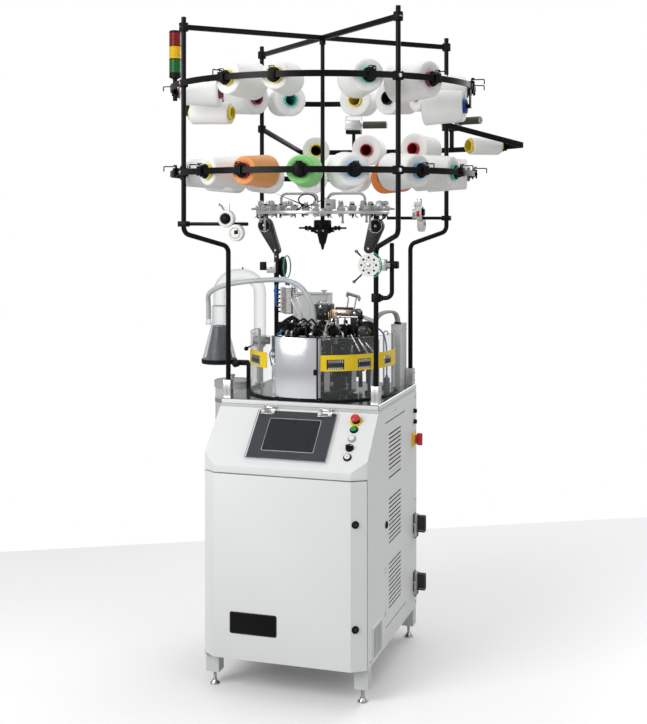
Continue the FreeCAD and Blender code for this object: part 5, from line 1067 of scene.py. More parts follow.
# ---------------------------------------------------------------- camera, light and floor
@dataclass
class Studio:
    """The photograph's camera, soft lamps and a pale floor."""

    camera_place: Point = (1391.878, -4394.42, 1675.929)
    heading: float = 0.306
    lens: float = 59.88
    shift: float = -0.2045
    floor_edge: tuple[Point, ...] = (
        (-4558.0, -640.0), (-9000.0, -9000.0), (9000.0, -9000.0), (4587.0, 4435.0))
    floor_tone: float = 0.62
    floor_seen: float = 1.0
    floor_lift: float = 0.06
    ambient: float = 0.42
    white: tuple[float, float, float, float] = (1.0, 1.0, 1.0, 1.0)

    def build(self) -> None:
        """Sets the camera, the lamps, the world and the floor."""
        self.camera()
        self.world()
        self.lamp("key", (-1.7, -3.3, 2.7), (0.0, 0.0, 1.1), 2.2, 87.0)
        self.lamp("fill", (4.2, -2.4, 2.6), (0.0, 0.0, 1.2), 3.0, 26.0)
        self.lamp("top", (0.2, 0.4, 5.0), (0.0, 0.0, 1.0), 3.2, 58.0)
        self.lamp("back", (1.8, 4.0, 3.2), (0.0, 0.0, 1.4), 2.6, 66.0)
        self.floor()
        bpy.context.scene.view_settings.view_transform = "Standard"

    def camera(self) -> None:
        """Sets the camera level, with its frame shifted down."""
        data = bpy.data.cameras.new("photograph")
        data.lens = self.lens
        data.shift_y = self.shift
        data.clip_end = 60.0
        camera = bpy.data.objects.new("photograph", data)
        camera.location = in_frame(self.camera_place)
        camera.rotation_euler = (math.pi / 2, 0.0, self.heading)
        bpy.context.scene.collection.objects.link(camera)
        bpy.context.scene.camera = camera

    def lamp(self, name: str, place: Point, target: Point, size: float, watts: float) -> None:
        """Adds a square soft lamp.

        Args:
            name: the lamp's name.
            place: where it stands, in metres in the frame.
            target: the point it looks at.
            size: its side, in metres.
            watts: its power.
        """
        data = bpy.data.lights.new(name, "AREA")
        data.shape = "SQUARE"
        data.size = size
        data.energy = watts
        lamp = bpy.data.objects.new(name, data)
        lamp.location = place
        lamp.rotation_euler = (Vector(target) - Vector(place)).to_track_quat("-Z", "Y").to_euler()
        bpy.context.scene.collection.objects.link(lamp)

    def world(self) -> None:
        """Grey light from all round, and white where the camera or glass sees past the floor."""
        world = bpy.data.worlds.new("studio")
        bpy.context.scene.world = world
        world.use_nodes = True
        nodes, links = world.node_tree.nodes, world.node_tree.links
        lit = nodes["Background"]
        feed(lit, Color=self.white, Strength=self.ambient)
        seen = nodes.new("ShaderNodeBackground")
        feed(seen, Color=self.white, Strength=1.0)
        path = nodes.new("ShaderNodeLightPath")
        either = nodes.new("ShaderNodeMath")
        either.operation = "MAXIMUM"
        links.new(path.outputs["Is Camera Ray"], either.inputs[0])
        links.new(path.outputs["Is Transmission Ray"], either.inputs[1])
        mix = nodes.new("ShaderNodeMixShader")
        links.new(either.outputs[0], mix.inputs[0])
        links.new(lit.outputs[0], mix.inputs[1])
        links.new(seen.outputs[0], mix.inputs[2])
        links.new(mix.outputs[0], nodes["World Output"].inputs["Surface"])

    def floor(self) -> None:
        """A plain pale floor that ends on a slant behind the machine, with the white behind it."""
        mesh = bpy.data.meshes.new("floor")
        corners = [in_frame((x, y, 0.0)) for x, y in self.floor_edge]
        mesh.from_pydata(corners, [], [tuple(range(len(corners)))])
        material = bpy.data.materials.new("pale_floor")
        material.use_nodes = True
        nodes, links = material.node_tree.nodes, material.node_tree.links
        surface = nodes["Principled BSDF"]
        path = nodes.new("ShaderNodeLightPath")
        tone = nodes.new("ShaderNodeMix")
        tone.data_type = "RGBA"
        links.new(path.outputs["Is Camera Ray"], tone.inputs["Factor"])
        feed(tone, A=(*[self.floor_tone] * 3, 1.0), B=(*[self.floor_seen] * 3, 1.0))
        links.new(tone.outputs["Result"], surface.inputs["Base Color"])
        feed(surface, Roughness=0.32, Specular_IOR_Level=0.35, Emission_Color=self.white)
        lift = nodes.new("ShaderNodeMath")
        lift.operation = "MULTIPLY"
        lift.inputs[1].default_value = self.floor_lift
        links.new(path.outputs["Is Camera Ray"], lift.inputs[0])
        links.new(lift.outputs[0], surface.inputs["Emission Strength"])
        mesh.materials.append(material)
        floor = bpy.data.objects.new("floor", mesh)
        bpy.context.scene.collection.objects.link(floor)


# ---------------------------------------------------------------- cords
@dataclass
class Cords:
    """Suction hose, three cables and an air line, on the routes of their solids."""

    hose: tuple[Point, ...] = (
        (-472, 0, 1262), (-472, 0, 1322), (-464, -28, 1366), (-400, -54, 1396), (-306, -62, 1414), (
            -205, -62, 1424),
        (-125, -62, 1426), (-62, -68, 1402), (-24, -76, 1350), (-8, -78, 1295), (-8, -78, 1246))
    cable: tuple[Point, ...] = (
        (236, 215, 1243), (236, 215, 1272), (222, 201, 1296), (182, 157, 1290), (160, 135, 1258), (
            160, 135, 1190))
    air: tuple[Point, ...] = (
        (99, -12, 1205), (124, -34, 1222), (160, -36, 1248), (198, -10, 1254), (226, 30, 1236), (
            236, 60, 1190),
        (236, 66, 1130), (236, 66, 1060))
    cable_pitch: float = 8.0

    def build(self) -> None:
        """Lays every cord along its route."""
        self.lay("suction_hose", self.hose, 9.5, 696.0, Coat.HOSE, ["hoses_and_cables"])
        for i in range(3):
            route = [(x + self.cable_pitch * i, y - self.cable_pitch * i, z) for x, y, z in self.cable]
            self.lay(f"head_cable_{i + 1}", route, 5.0, 226.0, Coat.CABLE, ["hoses_and_cables"])
        self.lay("air_line", self.air, 3.0, 359.0, Coat.AIR_LINE, ["hoses_and_cables"])

    def lay(self, name: str, route: Sequence[Point], radius: float, length: float, coat: Coat,
            stands_for: Sequence[str]) -> None:
        """Lays one cord.

        Args:
            name: the piece's name.
            route: its control points.
            radius: half its diameter.
            length: its real length.
            coat: its finish.
            stands_for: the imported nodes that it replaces.
        """
        data = bpy.data.curves.new(name, "CURVE")
        data.dimensions = "3D"
        data.bevel_depth = radius * MM
        data.bevel_resolution = 5
        data.resolution_u = 10
        data.use_fill_caps = True
        spline = data.splines.new("NURBS")
        spline.points.add(len(route) - 1)
        for point, place in zip(spline.points, route):
            point.co = (*in_frame(place), 1.0)
        spline.order_u = 3
        spline.use_endpoint_u = True
        data.materials.append(coat.material())
        piece = bpy.data.objects.new(name, data)
        bpy.context.scene.collection.objects.link(piece)
        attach(piece, ROOT)
        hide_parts(*stands_for)
        in_frame(route[0])
        log.info("%s: %.0f mm long", name, length)


# ---------------------------------------------------------------- cabinet
def on_slope(x: float = 0.0, up: float = 0.0, off: float = 0.0) -> Matrix:
    """A placement on the sloping console: local X to the right, Y up the slope, Z off the face."""
    return tilted((0, FRONT_Y, SLOPE_FOOT_Z), SLOPE, "X") @ Matrix.Translation((x, up, off))


@dataclass
class Cabinet:
    """Grey sheet cabinet on four feet, with its folded door and louvred side."""

    feet: tuple[Point, ...] = ((-274.0, -408.0), (274.0, -408.0), (-274.0, 264.0), (274.0, 264.0))
    foot_r: float = 17.5
    leg_bottom: float = 49.0
    chamfer: tuple[float, float] = (50.0, 36.0)
    louvre_z: tuple[float, ...] = (240.0, 476.0, 712.0)
    lock_z: tuple[float, float] = (265.0, 621.0)
    plate: tuple[float, float, float, float] = (-190.0, -16.0, 211.0, 287.0)

    def build(self, shop: Workshop) -> None:
        """Makes the sheet work, the feet, the door's fittings and what stands behind the door.

        Args:
            shop: the recipes in hand.
        """
        softened("base_frame", ROOT, Coat.FRAME, 1.5)
        softened("left_rear_cover", ROOT, Coat.CABINET, 0.7)
        softened("right_side_panel", ROOT, Coat.CABINET, 0.5)
        softened("console_panel", ROOT, Coat.CABINET, 0.8)
        softened("front_door", "front_door", Coat.CABINET, 0.8)
        self.trim(shop)
        self.levelling_feet()
        self.name_plate()
        for height, label in zip(self.lock_z, ("lower", "upper")):
            self.lock(height, "door_lock_" + label)
        self.drive(shop)

    def trim(self, shop: Workshop) -> None:
        """Louvre blades behind the side slots, the filter's mesh, panel screws and the side panel's lock.

        Args:
            shop: the recipes in hand.
        """
        mould = Mould().use(Coat.SHADOW)
        for low in self.louvre_z:
            mould.block((292, 294.5), (-156, 42), (low - 8, low + 176), 0)
        mould.block((292, 294.5), (-378, -254), (128, 242), 0)
        mould.block((298.6, 299), (-145, 31), (734, 790), 0)
        for low in self.louvre_z:
            blade = Mould()
            blade.slab([(295.6, -146), (297.8, -146), (297.8, 32), (295.6, 32)], (low + 6.4, low + 8), 0)
            shop.repeat(mould, blade, 11, shift=(0.0, 0.0, 15.8))
        mould.use(Coat.GREY_METAL)
        bar = Mould()
        bar.block((297, 300.5), (-371, -261), (139, 140.6), 0)
        shop.repeat(mould, bar, 19, shift=(0.0, 0.0, 5.2))
        mould.use(Coat.BRIGHT)
        for y, z in ((270.0, 140.0), (270.0, 545.0), (270.0, 950.0), (-410.0, 140.0), (-60.0, 950.0)):
            mould.screw((300, y, z), X_AXIS, 5, 2.6)
        for x in (-270.0, 0.0, 270.0):
            for z in (150.0, 940.0):
                mould.screw((x, 290, z), Y_AXIS, 5, 2.6)
        mould.cast("cabinet_trim", ROOT)
        side = Mould().use(Coat.BLACK_MATT)
        side.turn([(13, 0), (13, 3.5), (11.5, 5), (6.5, 5), (6.5, 2.5), (0, 2.5)],
                  (300, -189, 556), X_AXIS, 28)
        side.use(Coat.BRIGHT).block((302.4, 303.4), (-194, -184), (555, 557), 0)
        side.use(Coat.GREY_METAL)
        for z in (228.0, 384.0):
            vent = Mould()
            vent.block((299.6, 300.7), (-206, -190), (z, z + 1.6), 0)
            shop.repeat(side, vent, 5, shift=(0.0, 0.0, 4.6))
        side.cast("side_panel_lock", ROOT)

    def levelling_feet(self) -> None:
        """Turned feet on threaded stems with their lock nuts."""
        mould = Mould()
        for x, y in self.feet:
            mould.use(Coat.BRIGHT)
            mould.turn([(self.foot_r, 0), (self.foot_r, 3.4), (16.6, 4.4), (9.4, 12), (8.4, 15), (6, 15.6)]
                       + [(5 + (i % 2), 16 + i * 1.1) for i in range(30)]
                       + [(5.6, self.leg_bottom)], (x, y, 0), steps=36)
            mould.turn([(8.8, 0), (10, 1), (10, 7), (8.8, 8)], (x, y, self.leg_bottom - 8.2), steps=6)
        mould.cast("levelling_feet_turned", ROOT, ["levelling_feet"], math.radians(30))

    def name_plate(self) -> None:
        """Bare black plate on the door with a thin raised rim."""
        x0, x1, z0, z1 = self.plate
        mould = Mould().put(tilted((0, FRONT_Y, 0), 90, "X"))
        corners = rounded(x0, x1, z0, z1, 7)
        mould.use(Coat.BEZEL).slab(corners, (0, 1.6), 0.5)
        mould.use(Coat.BLACK).slab(rounded(x0 + 3, x1 - 3, z0 + 3, z1 - 3, 5), (1.2, 2.2), 0.4)
        mould.cast("door_plate", "front_door")

    def lock(self, z: float, body: str) -> None:
        """Quarter-turn lock: black head with a dark slotted core, barrel and cam.

        Args:
            z: its height.
            body: its body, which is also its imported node.
        """
        lean = math.atan2(self.chamfer[1], self.chamfer[0])
        along = Vector((math.cos(lean), math.sin(lean), 0))
        out = Vector((math.sin(lean), -math.cos(lean), 0))
        centre = Vector((250, FRONT_Y, z)) + along * 16.8
        mould = Mould().use(Coat.BLACK_MATT)
        mould.turn([(9, -18), (9, 0.1), (13, 0.1), (13, 3.4), (11.4, 5), (6.8, 5), (6.8, 3.2), (0, 3.2)],
                   centre, out, 32)
        mould.use(Coat.CAST_DARK).turn([(6.4, 3), (6.4, 4.2), (5.8, 4.6), (0, 4.6)], centre, out, 24)
        mould.use(Coat.STEEL)
        frame_out = Matrix((along.to_4d(), Z_AXIS.to_4d(), out.to_4d(), (0, 0, 0, 1))).transposed()
        frame_out.translation = centre
        mould.put(frame_out).block((-6, 24), (-4.5, 4.5), (-19.5, -16.5), 0.6)
        mould.use(Coat.SHADOW).block((-4.6, 4.6), (-0.9, 0.9), (4.3, 4.75), 0)
        mould.cast(body + "_turned", body, [body])

    def drive(self, shop: Workshop) -> None:
        """Finned motor with its plate, its pulley and the toothed belt behind the covers.

        Args:
            shop: the recipes in hand.
        """
        hang = 930.0
        mould = Mould().use(Coat.CAST_DARK).put(Matrix.Translation((0.0, 150.0, 0.0)))
        mould.block((-63, 63), (-63, 63), (hang - 10, hang), 2)
        mould.block((-52, 52), (-52, 52), (hang - 190, hang - 10), 6)
        mould.turn([(47, hang - 201), (47, hang - 189)], steps=48, edge=2)
        for turn in (0, 90, 180, 270):
            fin = Mould()
            fin.put(turned(turn)).block((50, 55), (-38, -35.6), (hang - 186, hang - 14), 0)
            shop.repeat(mould, fin, 10, shift=turned(turn) @ Vector((0, 8, 0)))
        mould.use(Coat.BRIGHT)
        for sx, sy in CORNERS:
            mould.screw((sx * 56, sy * 56, hang - 10), -Z_AXIS, 5, 5)
        mould.cast("main_motor_finned", ROOT, ["main_motor"])
        pulley = Mould().use(Coat.ALUMINIUM).put(Matrix.Translation((0.0, 150.0, 0.0)))
        pulley.turn([(11, hang), (11, 950), (30, 950), (30, 952), (28.6, 952.4), (28.6, 971.6), (30, 972),
                     (30, 974), (16, 974), (16, 971), (0, 971)], steps=48)
        tooth = Mould()
        tooth.block((28.2, 29.8), (-1.3, 1.3), (952.2, 971.8), 0)
        shop.repeat(pulley, tooth, 30, turn=12.0)
        pulley.cast("motor_pulley_toothed", "motor_pulley", ["motor_pulley"])
        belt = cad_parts["drive_belt"]
        belt.data.materials.clear()
        belt.data.materials.append(Coat.RUBBER.material())


@dataclass
class Console:
    """Terminal, clear flap, push buttons and the side's switch and connectors."""

    terminal_x: float = 6.0
    terminal_up: float = 136.0
    terminal_size: tuple[float, float, float] = (288.0, 202.0, 8.0)
    screen: tuple[float, float] = (193.0, 139.0)
    button_x: float = 226.0
    hinge_up: float = 250.0
    hinges: tuple[float, float] = (-104.0, 110.0)
    switch: tuple[float, float] = (236.0, 790.0)
    connector_z: tuple[float, float] = (227.0, 455.0)

    def build(self, shop: Workshop) -> None:
        """Makes the terminal, its flap, every button and the side fittings.

        Args:
            shop: the recipes in hand.
        """
        self.terminal(shop)
        self.flap()
        fittings = Mould()
        self.stop_button(fittings)
        self.push_button(fittings, "start_button", 178.0, Coat.GREEN, Coat.BLACK_MATT, 4.0)
        self.push_button(fittings, "reset_button", 139.0, Coat.WHITE, Coat.GREY_METAL, 4.0)
        self.push_button(fittings, "jog_button", 62.0, Coat.WHITE, Coat.BLACK_MATT, 4.0)
        self.selector(fittings)
        self.hinge_leaves(fittings)
        self.main_switch(fittings)
        fittings.cast("console_fittings_turned", ROOT, ["console_fittings"])
        self.connectors(shop)

    def terminal(self, shop: Workshop) -> None:
        """Dark front with a bright line round the sunk screen, and the body behind the sheet.

        Args:
            shop: the recipes in hand.
        """
        width, height, thick = self.terminal_size
        mould = Mould().put(on_slope(self.terminal_x, self.terminal_up))
        mould.use(Coat.BEZEL)
        half_w, half_h = width / 2, height / 2
        screen_w, screen_h = self.screen[0] / 2, self.screen[1] / 2
        for x0, x1, y0, y1 in (
                (-half_w, half_w, screen_h, half_h), (-half_w, half_w, -half_h, -screen_h),
                (-half_w, -screen_w, -screen_h, screen_h), (screen_w, half_w, -screen_h, screen_h)):
            mould.block((x0, x1), (y0, y1), (0, thick), 0)
        mould.block((-screen_w - 3, screen_w + 3), (-screen_h - 3, screen_h + 3), (0, thick - 3), 0)
        mould.block((-131, 131), (-88, 88), (-50, -0.5), 3)
        mould.use(Coat.ALUMINIUM)
        for x0, x1, y0, y1 in ((-screen_w, screen_w, screen_h - 1.6, screen_h),
                               (-screen_w, screen_w, -screen_h, 1.6 - screen_h),
                               (-screen_w, 1.6 - screen_w, -screen_h, screen_h),
                               (screen_w - 1.6, screen_w, -screen_h, screen_h)):
            mould.block((x0, x1), (y0, y1), (thick - 3, thick), 0.2)
        mould.block((-half_w, half_w), (-half_h - 1.6, -half_h), (0, thick - 1), 0.5)
        mould.use(Coat.SCREEN)
        mould.block((1.6 - screen_w, screen_w - 1.6), (1.6 - screen_h, screen_h - 1.6),
                    (thick - 2.8, thick - 1.4), 0)
        mould.use(Coat.SHADOW)
        slot = Mould()
        slot.block((-120, -60), (-88.6, -87.8), (-44, -42), 0)
        shop.repeat(mould, slot, 8, shift=(0.0, 0.0, 5.0))
        mould.cast("operator_terminal_built", ROOT, ["operator_terminal"])

    def flap(self) -> None:
        """Clear flap with milled hinge leaves, screws and a finger edge."""
        low = self.terminal_size[2] + 0.3
        mould = Mould().put(on_slope(self.terminal_x))
        mould.use(Coat.FLAP).block((-149, 149), (31, self.hinge_up - 9), (low, low + 3), 0)
        mould.use(Coat.CLEAR_EDGE)
        for x0, x1, y0, y1 in (
                (-149.2, 149.2, 30.8, 32.6), (-149.2, -147.8, 31.0, 241.0), (147.8, 149.2, 31.0, 241.0)):
            mould.block((x0, x1), (y0, y1), (low - 0.1, low + 3.2), 0.4)
        mould.put(on_slope())
        for x in self.hinges:
            mould.use(Coat.BRIGHT)
            mould.block((x - 27, x + 27), (self.hinge_up - 32, self.hinge_up - 10), (low + 3, low + 5.4), 0.8)
            mould.block((x - 13.5, x + 13.5), (self.hinge_up - 14, self.hinge_up - 3),
                        (low + 1, low + 4.5), 0.8)
            mould.turn([(2.6, 0), (5.5, 0), (5.5, 27), (2.6, 27)], (x - 13.5, self.hinge_up, 7),
                       X_AXIS, 28, True, 0.5)
            for dx in (-19.0, 19.0):
                mould.use(Coat.WHITE).turn([(6.2, 0), (6.2, 2), (4.6, 3.4), (0, 3.8)],
                                           (x + dx, self.hinge_up - 21, low + 5.2), Z_AXIS, 24)
        mould.cast("screen_flap_clear", "screen_cover", ["screen_cover"])

    def hinge_leaves(self, mould: Mould) -> None:
        """Fixed lugs and pins of the flap's hinges.

        Args:
            mould: the mould that takes the faces.
        """
        mould.put(on_slope()).use(Coat.BRIGHT)
        for x in self.hinges:
            for side in (-1, 1):
                x0, x1 = sorted((x + side * 13.8, x + side * 21.8))
                mould.block((x0, x1), (self.hinge_up - 7, self.hinge_up + 7), (0, 12), 1.2)
            mould.turn([(2.4, -14.5), (2.4, 14.5)], (x, self.hinge_up, 7), X_AXIS, 20)

    def collar(self, mould: Mould, up: float, coat: Coat, height: float = 5.0) -> None:
        """Round collar of a button, open in the middle.

        Args:
            mould: the mould that takes the faces.
            up: its place up the slope.
            coat: its finish.
            height: how far it stands out.
        """
        mould.put(on_slope(self.button_x, up)).use(coat)
        mould.turn([(10.3, height), (12.6, height), (14.5, height - 1.6), (14.5, 0), (11, 0), (11, -34),
                    (10.3, -34)], steps=40, hollow=True)

    def push_button(self, fittings: Mould, name: str, up: float, cap: Coat, ring: Coat,
                    stands: float) -> None:
        """One push button and its collar.

        Args:
            fittings: the mould of everything fixed.
            name: the button's body.
            up: its place up the slope.
            cap: its finish.
            ring: the collar's finish.
            stands: how far it stands out of the collar.
        """
        self.collar(fittings, up, ring)
        top = 5.0 + stands
        mould = Mould().use(Coat.BLACK_MATT).put(on_slope(self.button_x, up))
        mould.turn([(6, -10), (6, 1), (9.9, 1), (9.9, top - 2.6)], steps=40)
        mould.use(cap).turn(
            [(9.95, top - 2.8), (9.95, top - 1), (9, top - 0.2), (7, top - 0.2), (0, top - 0.7)], steps=40)
        if name == "jog_button":
            mould.use(Coat.GREY_METAL).turn([(3, top - 0.6), (3, top), (0, top)], steps=24)
        mould.cast(name + "_cap", name, [name])

    def stop_button(self, fittings: Mould) -> None:
        """Red mushroom head over a yellow plate and a black collar.

        Args:
            fittings: the mould of everything fixed.
        """
        up = 215.0
        fittings.put(on_slope(self.button_x, up)).use(Coat.YELLOW)
        fittings.turn([(14.5, 0), (22, 0), (22, 2.2), (21.2, 3), (14.5, 3)], steps=56, hollow=True)
        self.collar(fittings, up, Coat.BLACK_MATT, 12.0)
        mould = Mould().use(Coat.BLACK_MATT).put(on_slope(self.button_x, up))
        mould.turn([(9.9, -9), (9.9, 16.6)], steps=40)
        mould.use(Coat.RED).turn([(0, 16.2), (13.6, 16.2), (15.6, 17.6), (16, 19.4), (15.2, 22.8),
                                  (12.4, 25.8), (8, 27), (0, 27.3)], steps=56)
        mould.cast("emergency_stop_head", "emergency_stop_button", ["emergency_stop_button"])

    def selector(self, fittings: Mould) -> None:
        """Black selector with a grip and a white line on it.

        Args:
            fittings: the mould of everything fixed.
        """
        up = 101.0
        self.collar(fittings, up, Coat.BLACK_MATT)
        mould = Mould().use(Coat.BLACK_MATT).put(on_slope(self.button_x, up))
        mould.turn([(8.8, -10), (8.8, 5.3), (12.9, 5.3), (13, 7.6), (12.2, 9.3), (0, 9.3)], steps=40)
        mould.slab(rounded(-12, 12, -3.5, 3.5, 3.4), (9, 18.2), 0.9)
        mould.use(Coat.WHITE).block((4, 11), (-0.5, 0.5), (17.9, 18.4), 0.1)
        mould.cast("selector_knob_grip", "selector_knob", ["selector_knob"])

    def main_switch(self, mould: Mould) -> None:
        """Yellow plate with its boss and two glands on the side panel, and the red handle.

        Args:
            mould: the mould that takes the faces.
        """
        y, z = self.switch
        side = tilted((SIDE_X, y, z), 90, "Y")
        mould.put(side).use(Coat.YELLOW).slab(rounded(-29, 29, -29, 29, 5), (0, 3), 0.7)
        mould.turn([(8.2, 2), (20, 2), (20, 9.2), (19.2, 10), (8.2, 10)], steps=48, hollow=True)
        mould.use(Coat.BRIGHT)
        for sx, sy in CORNERS:
            mould.screw((sx * 23, sy * 23, 3), Z_AXIS, 3, 1.6)
        mould.use(Coat.BLACK_MATT)
        for height in (857.0, 899.0):
            mould.put(tilted((SIDE_X, y + 10, height), 90, "Y")).turn([(9.8, 0), (9.8, 5)], steps=6, edge=0.5)
            mould.turn([(8, 4.8), (8.6, 6), (8, 11.4), (3.6, 11.8), (3.6, 8), (0, 8)], steps=32)
        handle = Mould().use(Coat.RED).put(side)
        handle.turn([(7.8, 3), (7.8, 10.3), (19, 10.3), (19, 14), (17.6, 16.3), (0, 16.3)], steps=48)
        handle.slab(rounded(-24, 24, -6, 6, 5.6), (15.6, 36.3), 1.6, 3)
        handle.cast("main_switch_grip", "main_switch_handle", ["main_switch_handle"])

    def connectors(self, shop: Workshop) -> None:
        """Cast connector housings on the side, each with a ribbed hood and a wire bail.

        Args:
            shop: the recipes in hand.
        """
        mould = Mould()
        for z in self.connector_z:
            mould.put(Matrix.Translation((0.0, 0.0, z)))
            mould.use(Coat.CAST_DARK).block((300, 305), (232, 268), (-38, 38), 1.2)
            mould.use(Coat.GREY_METAL).block((304, 316), (234, 266), (-35, 35), 2.2)
            mould.use(Coat.BLACK_MATT).block((315.8, 318.2), (236, 264), (-32.6, 32.6), 0.5)
            mould.use(Coat.CAST_DARK).block((318, 346), (236, 264), (-32, 32), 3.2)
            rib = Mould()
            rib.block((322, 346), (235.6, 264.4), (-25, -23.4), 0)
            shop.repeat(mould, rib, 8, shift=(0.0, 0.0, 6.9))
            mould.use(Coat.BLACK_MATT).block((343.4, 345.9), (240, 260), (-27, 27), 0.8)
            mould.use(Coat.BRIGHT).rod(2.95, (309, 228, 0), (309, 272, 0), 16, 0.4)
            for dz in (-36.0, 36.0):
                mould.screw((305, 250, dz), X_AXIS, 3.2, 1.8)
        mould.cast("connector_housings_cast", ROOT, ["connector_housings"])
        for z, label in zip(self.connector_z, ("lower", "upper")):
            bail = Mould().use(Coat.STEEL).put(Matrix.Translation((0.0, 0.0, z)))
            for y0, y1 in ((228.0, 231.0), (269.0, 272.0)):
                bail.put(tilted((309, y1, z), 90, "X"))
                bail.turn([(3.05, 0), (6.6, 0), (6.6, y1 - y0), (3.05, y1 - y0)], steps=24,
                          hollow=True, edge=0.3)
                bail.slab([(-4, -55), (4, -55), (4, -5.4), (-4, -5.4)], (0, y1 - y0), 0.5)
            bail.put(Matrix.Translation((0.0, 0.0, z))).block((305, 313), (228, 272), (-55, -50), 0.7)
            node = "connector_lever_" + label
            bail.cast(node + "_bail", node, [node])


# ---------------------------------------------------------------- table
@dataclass
class Table:
    """Polished steel table with a bearing bore and four slotted pole sockets."""

    half_x: float = 299.0
    half_y: float = 290.0
    top: float = TABLE_Z
    thick: float = 18.0
    bore_r: float = 60.3
    socket: tuple[float, float] = (282.0, 262.0)
    socket_side: float = 30.0
    socket_h: float = 65.0
    pole_r: float = 9.1

    def build(self, _shop: Workshop) -> None:
        """Makes the plate with its bore, the sockets, light strips on the rim's edges as a painted highlight,
        and the screws.

        Args:
            _shop: the recipes, which this sub-assembly doesn't need.
        """
        mould = Mould().use(Coat.TABLE)
        self.plate(mould)
        for sx, sy in CORNERS:
            self.pole_socket(mould, sx * self.socket[0], sy * self.socket[1])
        # light grey strips on the plate's four sides: a painted highlight along its polished edge
        mould.home().use(Coat.CABINET)
        low = self.top - self.thick
        for side in (-1, 1):
            mould.block((-self.half_x + 2, self.half_x - 2),
                        (side * self.half_y - 0.6, side * self.half_y + 0.6), (low + 1.5, self.top - 2), 0.4)
            mould.block((side * self.half_x - 0.6, side * self.half_x + 0.6),
                        (-self.half_y + 2, self.half_y - 2), (low + 1.5, self.top - 2), 0.4)
        mould.cast("table_top_polished", ROOT, ["table_plate"], math.radians(30))
        self.table_screws()

    def plate(self, mould: Mould) -> None:
        """The plate with its bore: one ring of faces from the bore to the rim, and its edges.

        Args:
            mould: the mould that takes the faces.
        """
        steps = 48
        rim: list[Vector] = []
        bore: list[Vector] = []
        for i in range(steps):
            ray = on_circle(1, 360 * (i + 0.5) / steps)
            reach = min(self.half_x / max(abs(ray.x), 1e-6), self.half_y / max(abs(ray.y), 1e-6))
            rim.append(ray * reach)
            bore.append(ray * self.bore_r)
        corners = [Vector((x, y, 0)) for x,
                   y in ((self.half_x, self.half_y), (-self.half_x, self.half_y),
                         (-self.half_x, -self.half_y), (self.half_x, -self.half_y))]
        for corner in corners:
            nearest = min(range(steps), key=lambda k: (rim[k] - corner).length)
            rim[nearest] = corner
        low, high, break_edge = self.top - self.thick, self.top, 1.2
        rings = []
        for line, z, inset in ((bore, low, 0.0), (rim, low, 0.0), (rim, high - break_edge, 0.0),
                               (rim, high, break_edge), (bore, high, 0.0)):
            pull = 1.0 - inset / self.half_x
            rings.append([Vector((p.x * pull, p.y * pull, z)) for p in line])
        mould.faces([p for ring in rings for p in ring], between(len(rings), steps, closed=True))

    def pole_socket(self, mould: Mould, x: float, y: float) -> None:
        """One aluminium socket block: split clamp with a slot and two screws.

        Args:
            mould: the table's mould.
            x: the pole's place.
            y: the pole's place.
        """
        half = self.socket_side / 2
        mould.use(Coat.ALUMINIUM)
        outside = -1 if y < 0 else 1
        side = -1 if x < 0 else 1
        foot, top, slot = self.top, self.top + self.socket_h, 1.2
        shell = self.drilled_block(half, foot, top)
        mould.put(Matrix.Translation((x, y, 0.0))).faces(*shell, 1.2)
        mould.home().use(Coat.SHADOW)
        mould.block((x - slot / 2, x + slot / 2),
                    tuple(sorted((y + outside * (half - 0.6), y + outside * (half + 0.15)))),
                    (foot + 6, top - 0.4), 0)
        mould.use(Coat.STEEL)
        for height in (18.0, 48.0):
            mould.screw((x + side * half, y + outside * 7, foot + height), Vector((side, 0, 0)), 3.6, 2.4)

    def drilled_block(self, half: float, low: float, high: float) -> tuple[list[Vector], list[Sequence[int]]]:
        """A square block with a round hole from the top down.

        Args:
            half: half its side.
            low: its foot.
            high: its top.

        Returns:
            Its corners and its faces.
        """
        steps = 32
        outer: list[Vector] = []
        inner: list[Vector] = []
        for i in range(steps):
            ray = on_circle(1, 360 * i / steps + 45)
            outer.append(ray * min(half / max(abs(ray.x), 1e-6), half / max(abs(ray.y), 1e-6)))
            inner.append(ray * self.pole_r)
        floor = low + 5.0
        rings = [(outer, low), (outer, high), (inner, high), (inner, floor)]
        points = [Vector((p.x, p.y, z)) for line, z in rings for p in line]
        ends: list[Sequence[int]] = [tuple(range(steps)), tuple(range(3 * steps, 4 * steps))]
        return points, ends + between(len(rings), steps)

    def table_screws(self) -> None:
        """Socket screws sunk along the table's rim, and a dark strip below it that is painted shadow under the
        table's front edge.
        """
        mould = Mould().use(Coat.STEEL)
        for x in (-250.0, -90.0, 90.0, 250.0):
            for y in (-280.0, 280.0):
                mould.turn([(5, 0.2), (4.6, 0.5), (2.4, 0.5), (2.4, 0.1), (0, 0.1)],
                           (x, y, self.top), Z_AXIS, 16)
        # painted shadow: a dark strip under the table's front edge, where shade falls
        mould.use(Coat.SHADOW)
        mould.block((-296, 296), (-287, -240), (self.top - self.thick - 9, self.top - self.thick - 0.4), 0)
        mould.cast("table_screws", ROOT)


# ---------------------------------------------------------------- creel
class Size(Enum):
    """Yarn package sizes: outer end radius, inner end radius and length."""

    BIG = (66.0, 80.0, 160.0)
    MEDIUM = (58.0, 70.0, 150.0)
    SMALL = (50.0, 61.0, 150.0)
    CONE = (41.0, 45.0, 165.0)
    BOBBIN = (34.0, 36.0, 140.0)


@dataclass(frozen=True)
class Package:
    """One yarn package: its azimuth, size, yarn and core colours, and how far it hangs below its ring."""

    azimuth: float
    size: Size
    yarn: Coat = Coat.YARN_WHITE
    core: Coat = Coat.CORE_YELLOW
    drop: float = 0.0


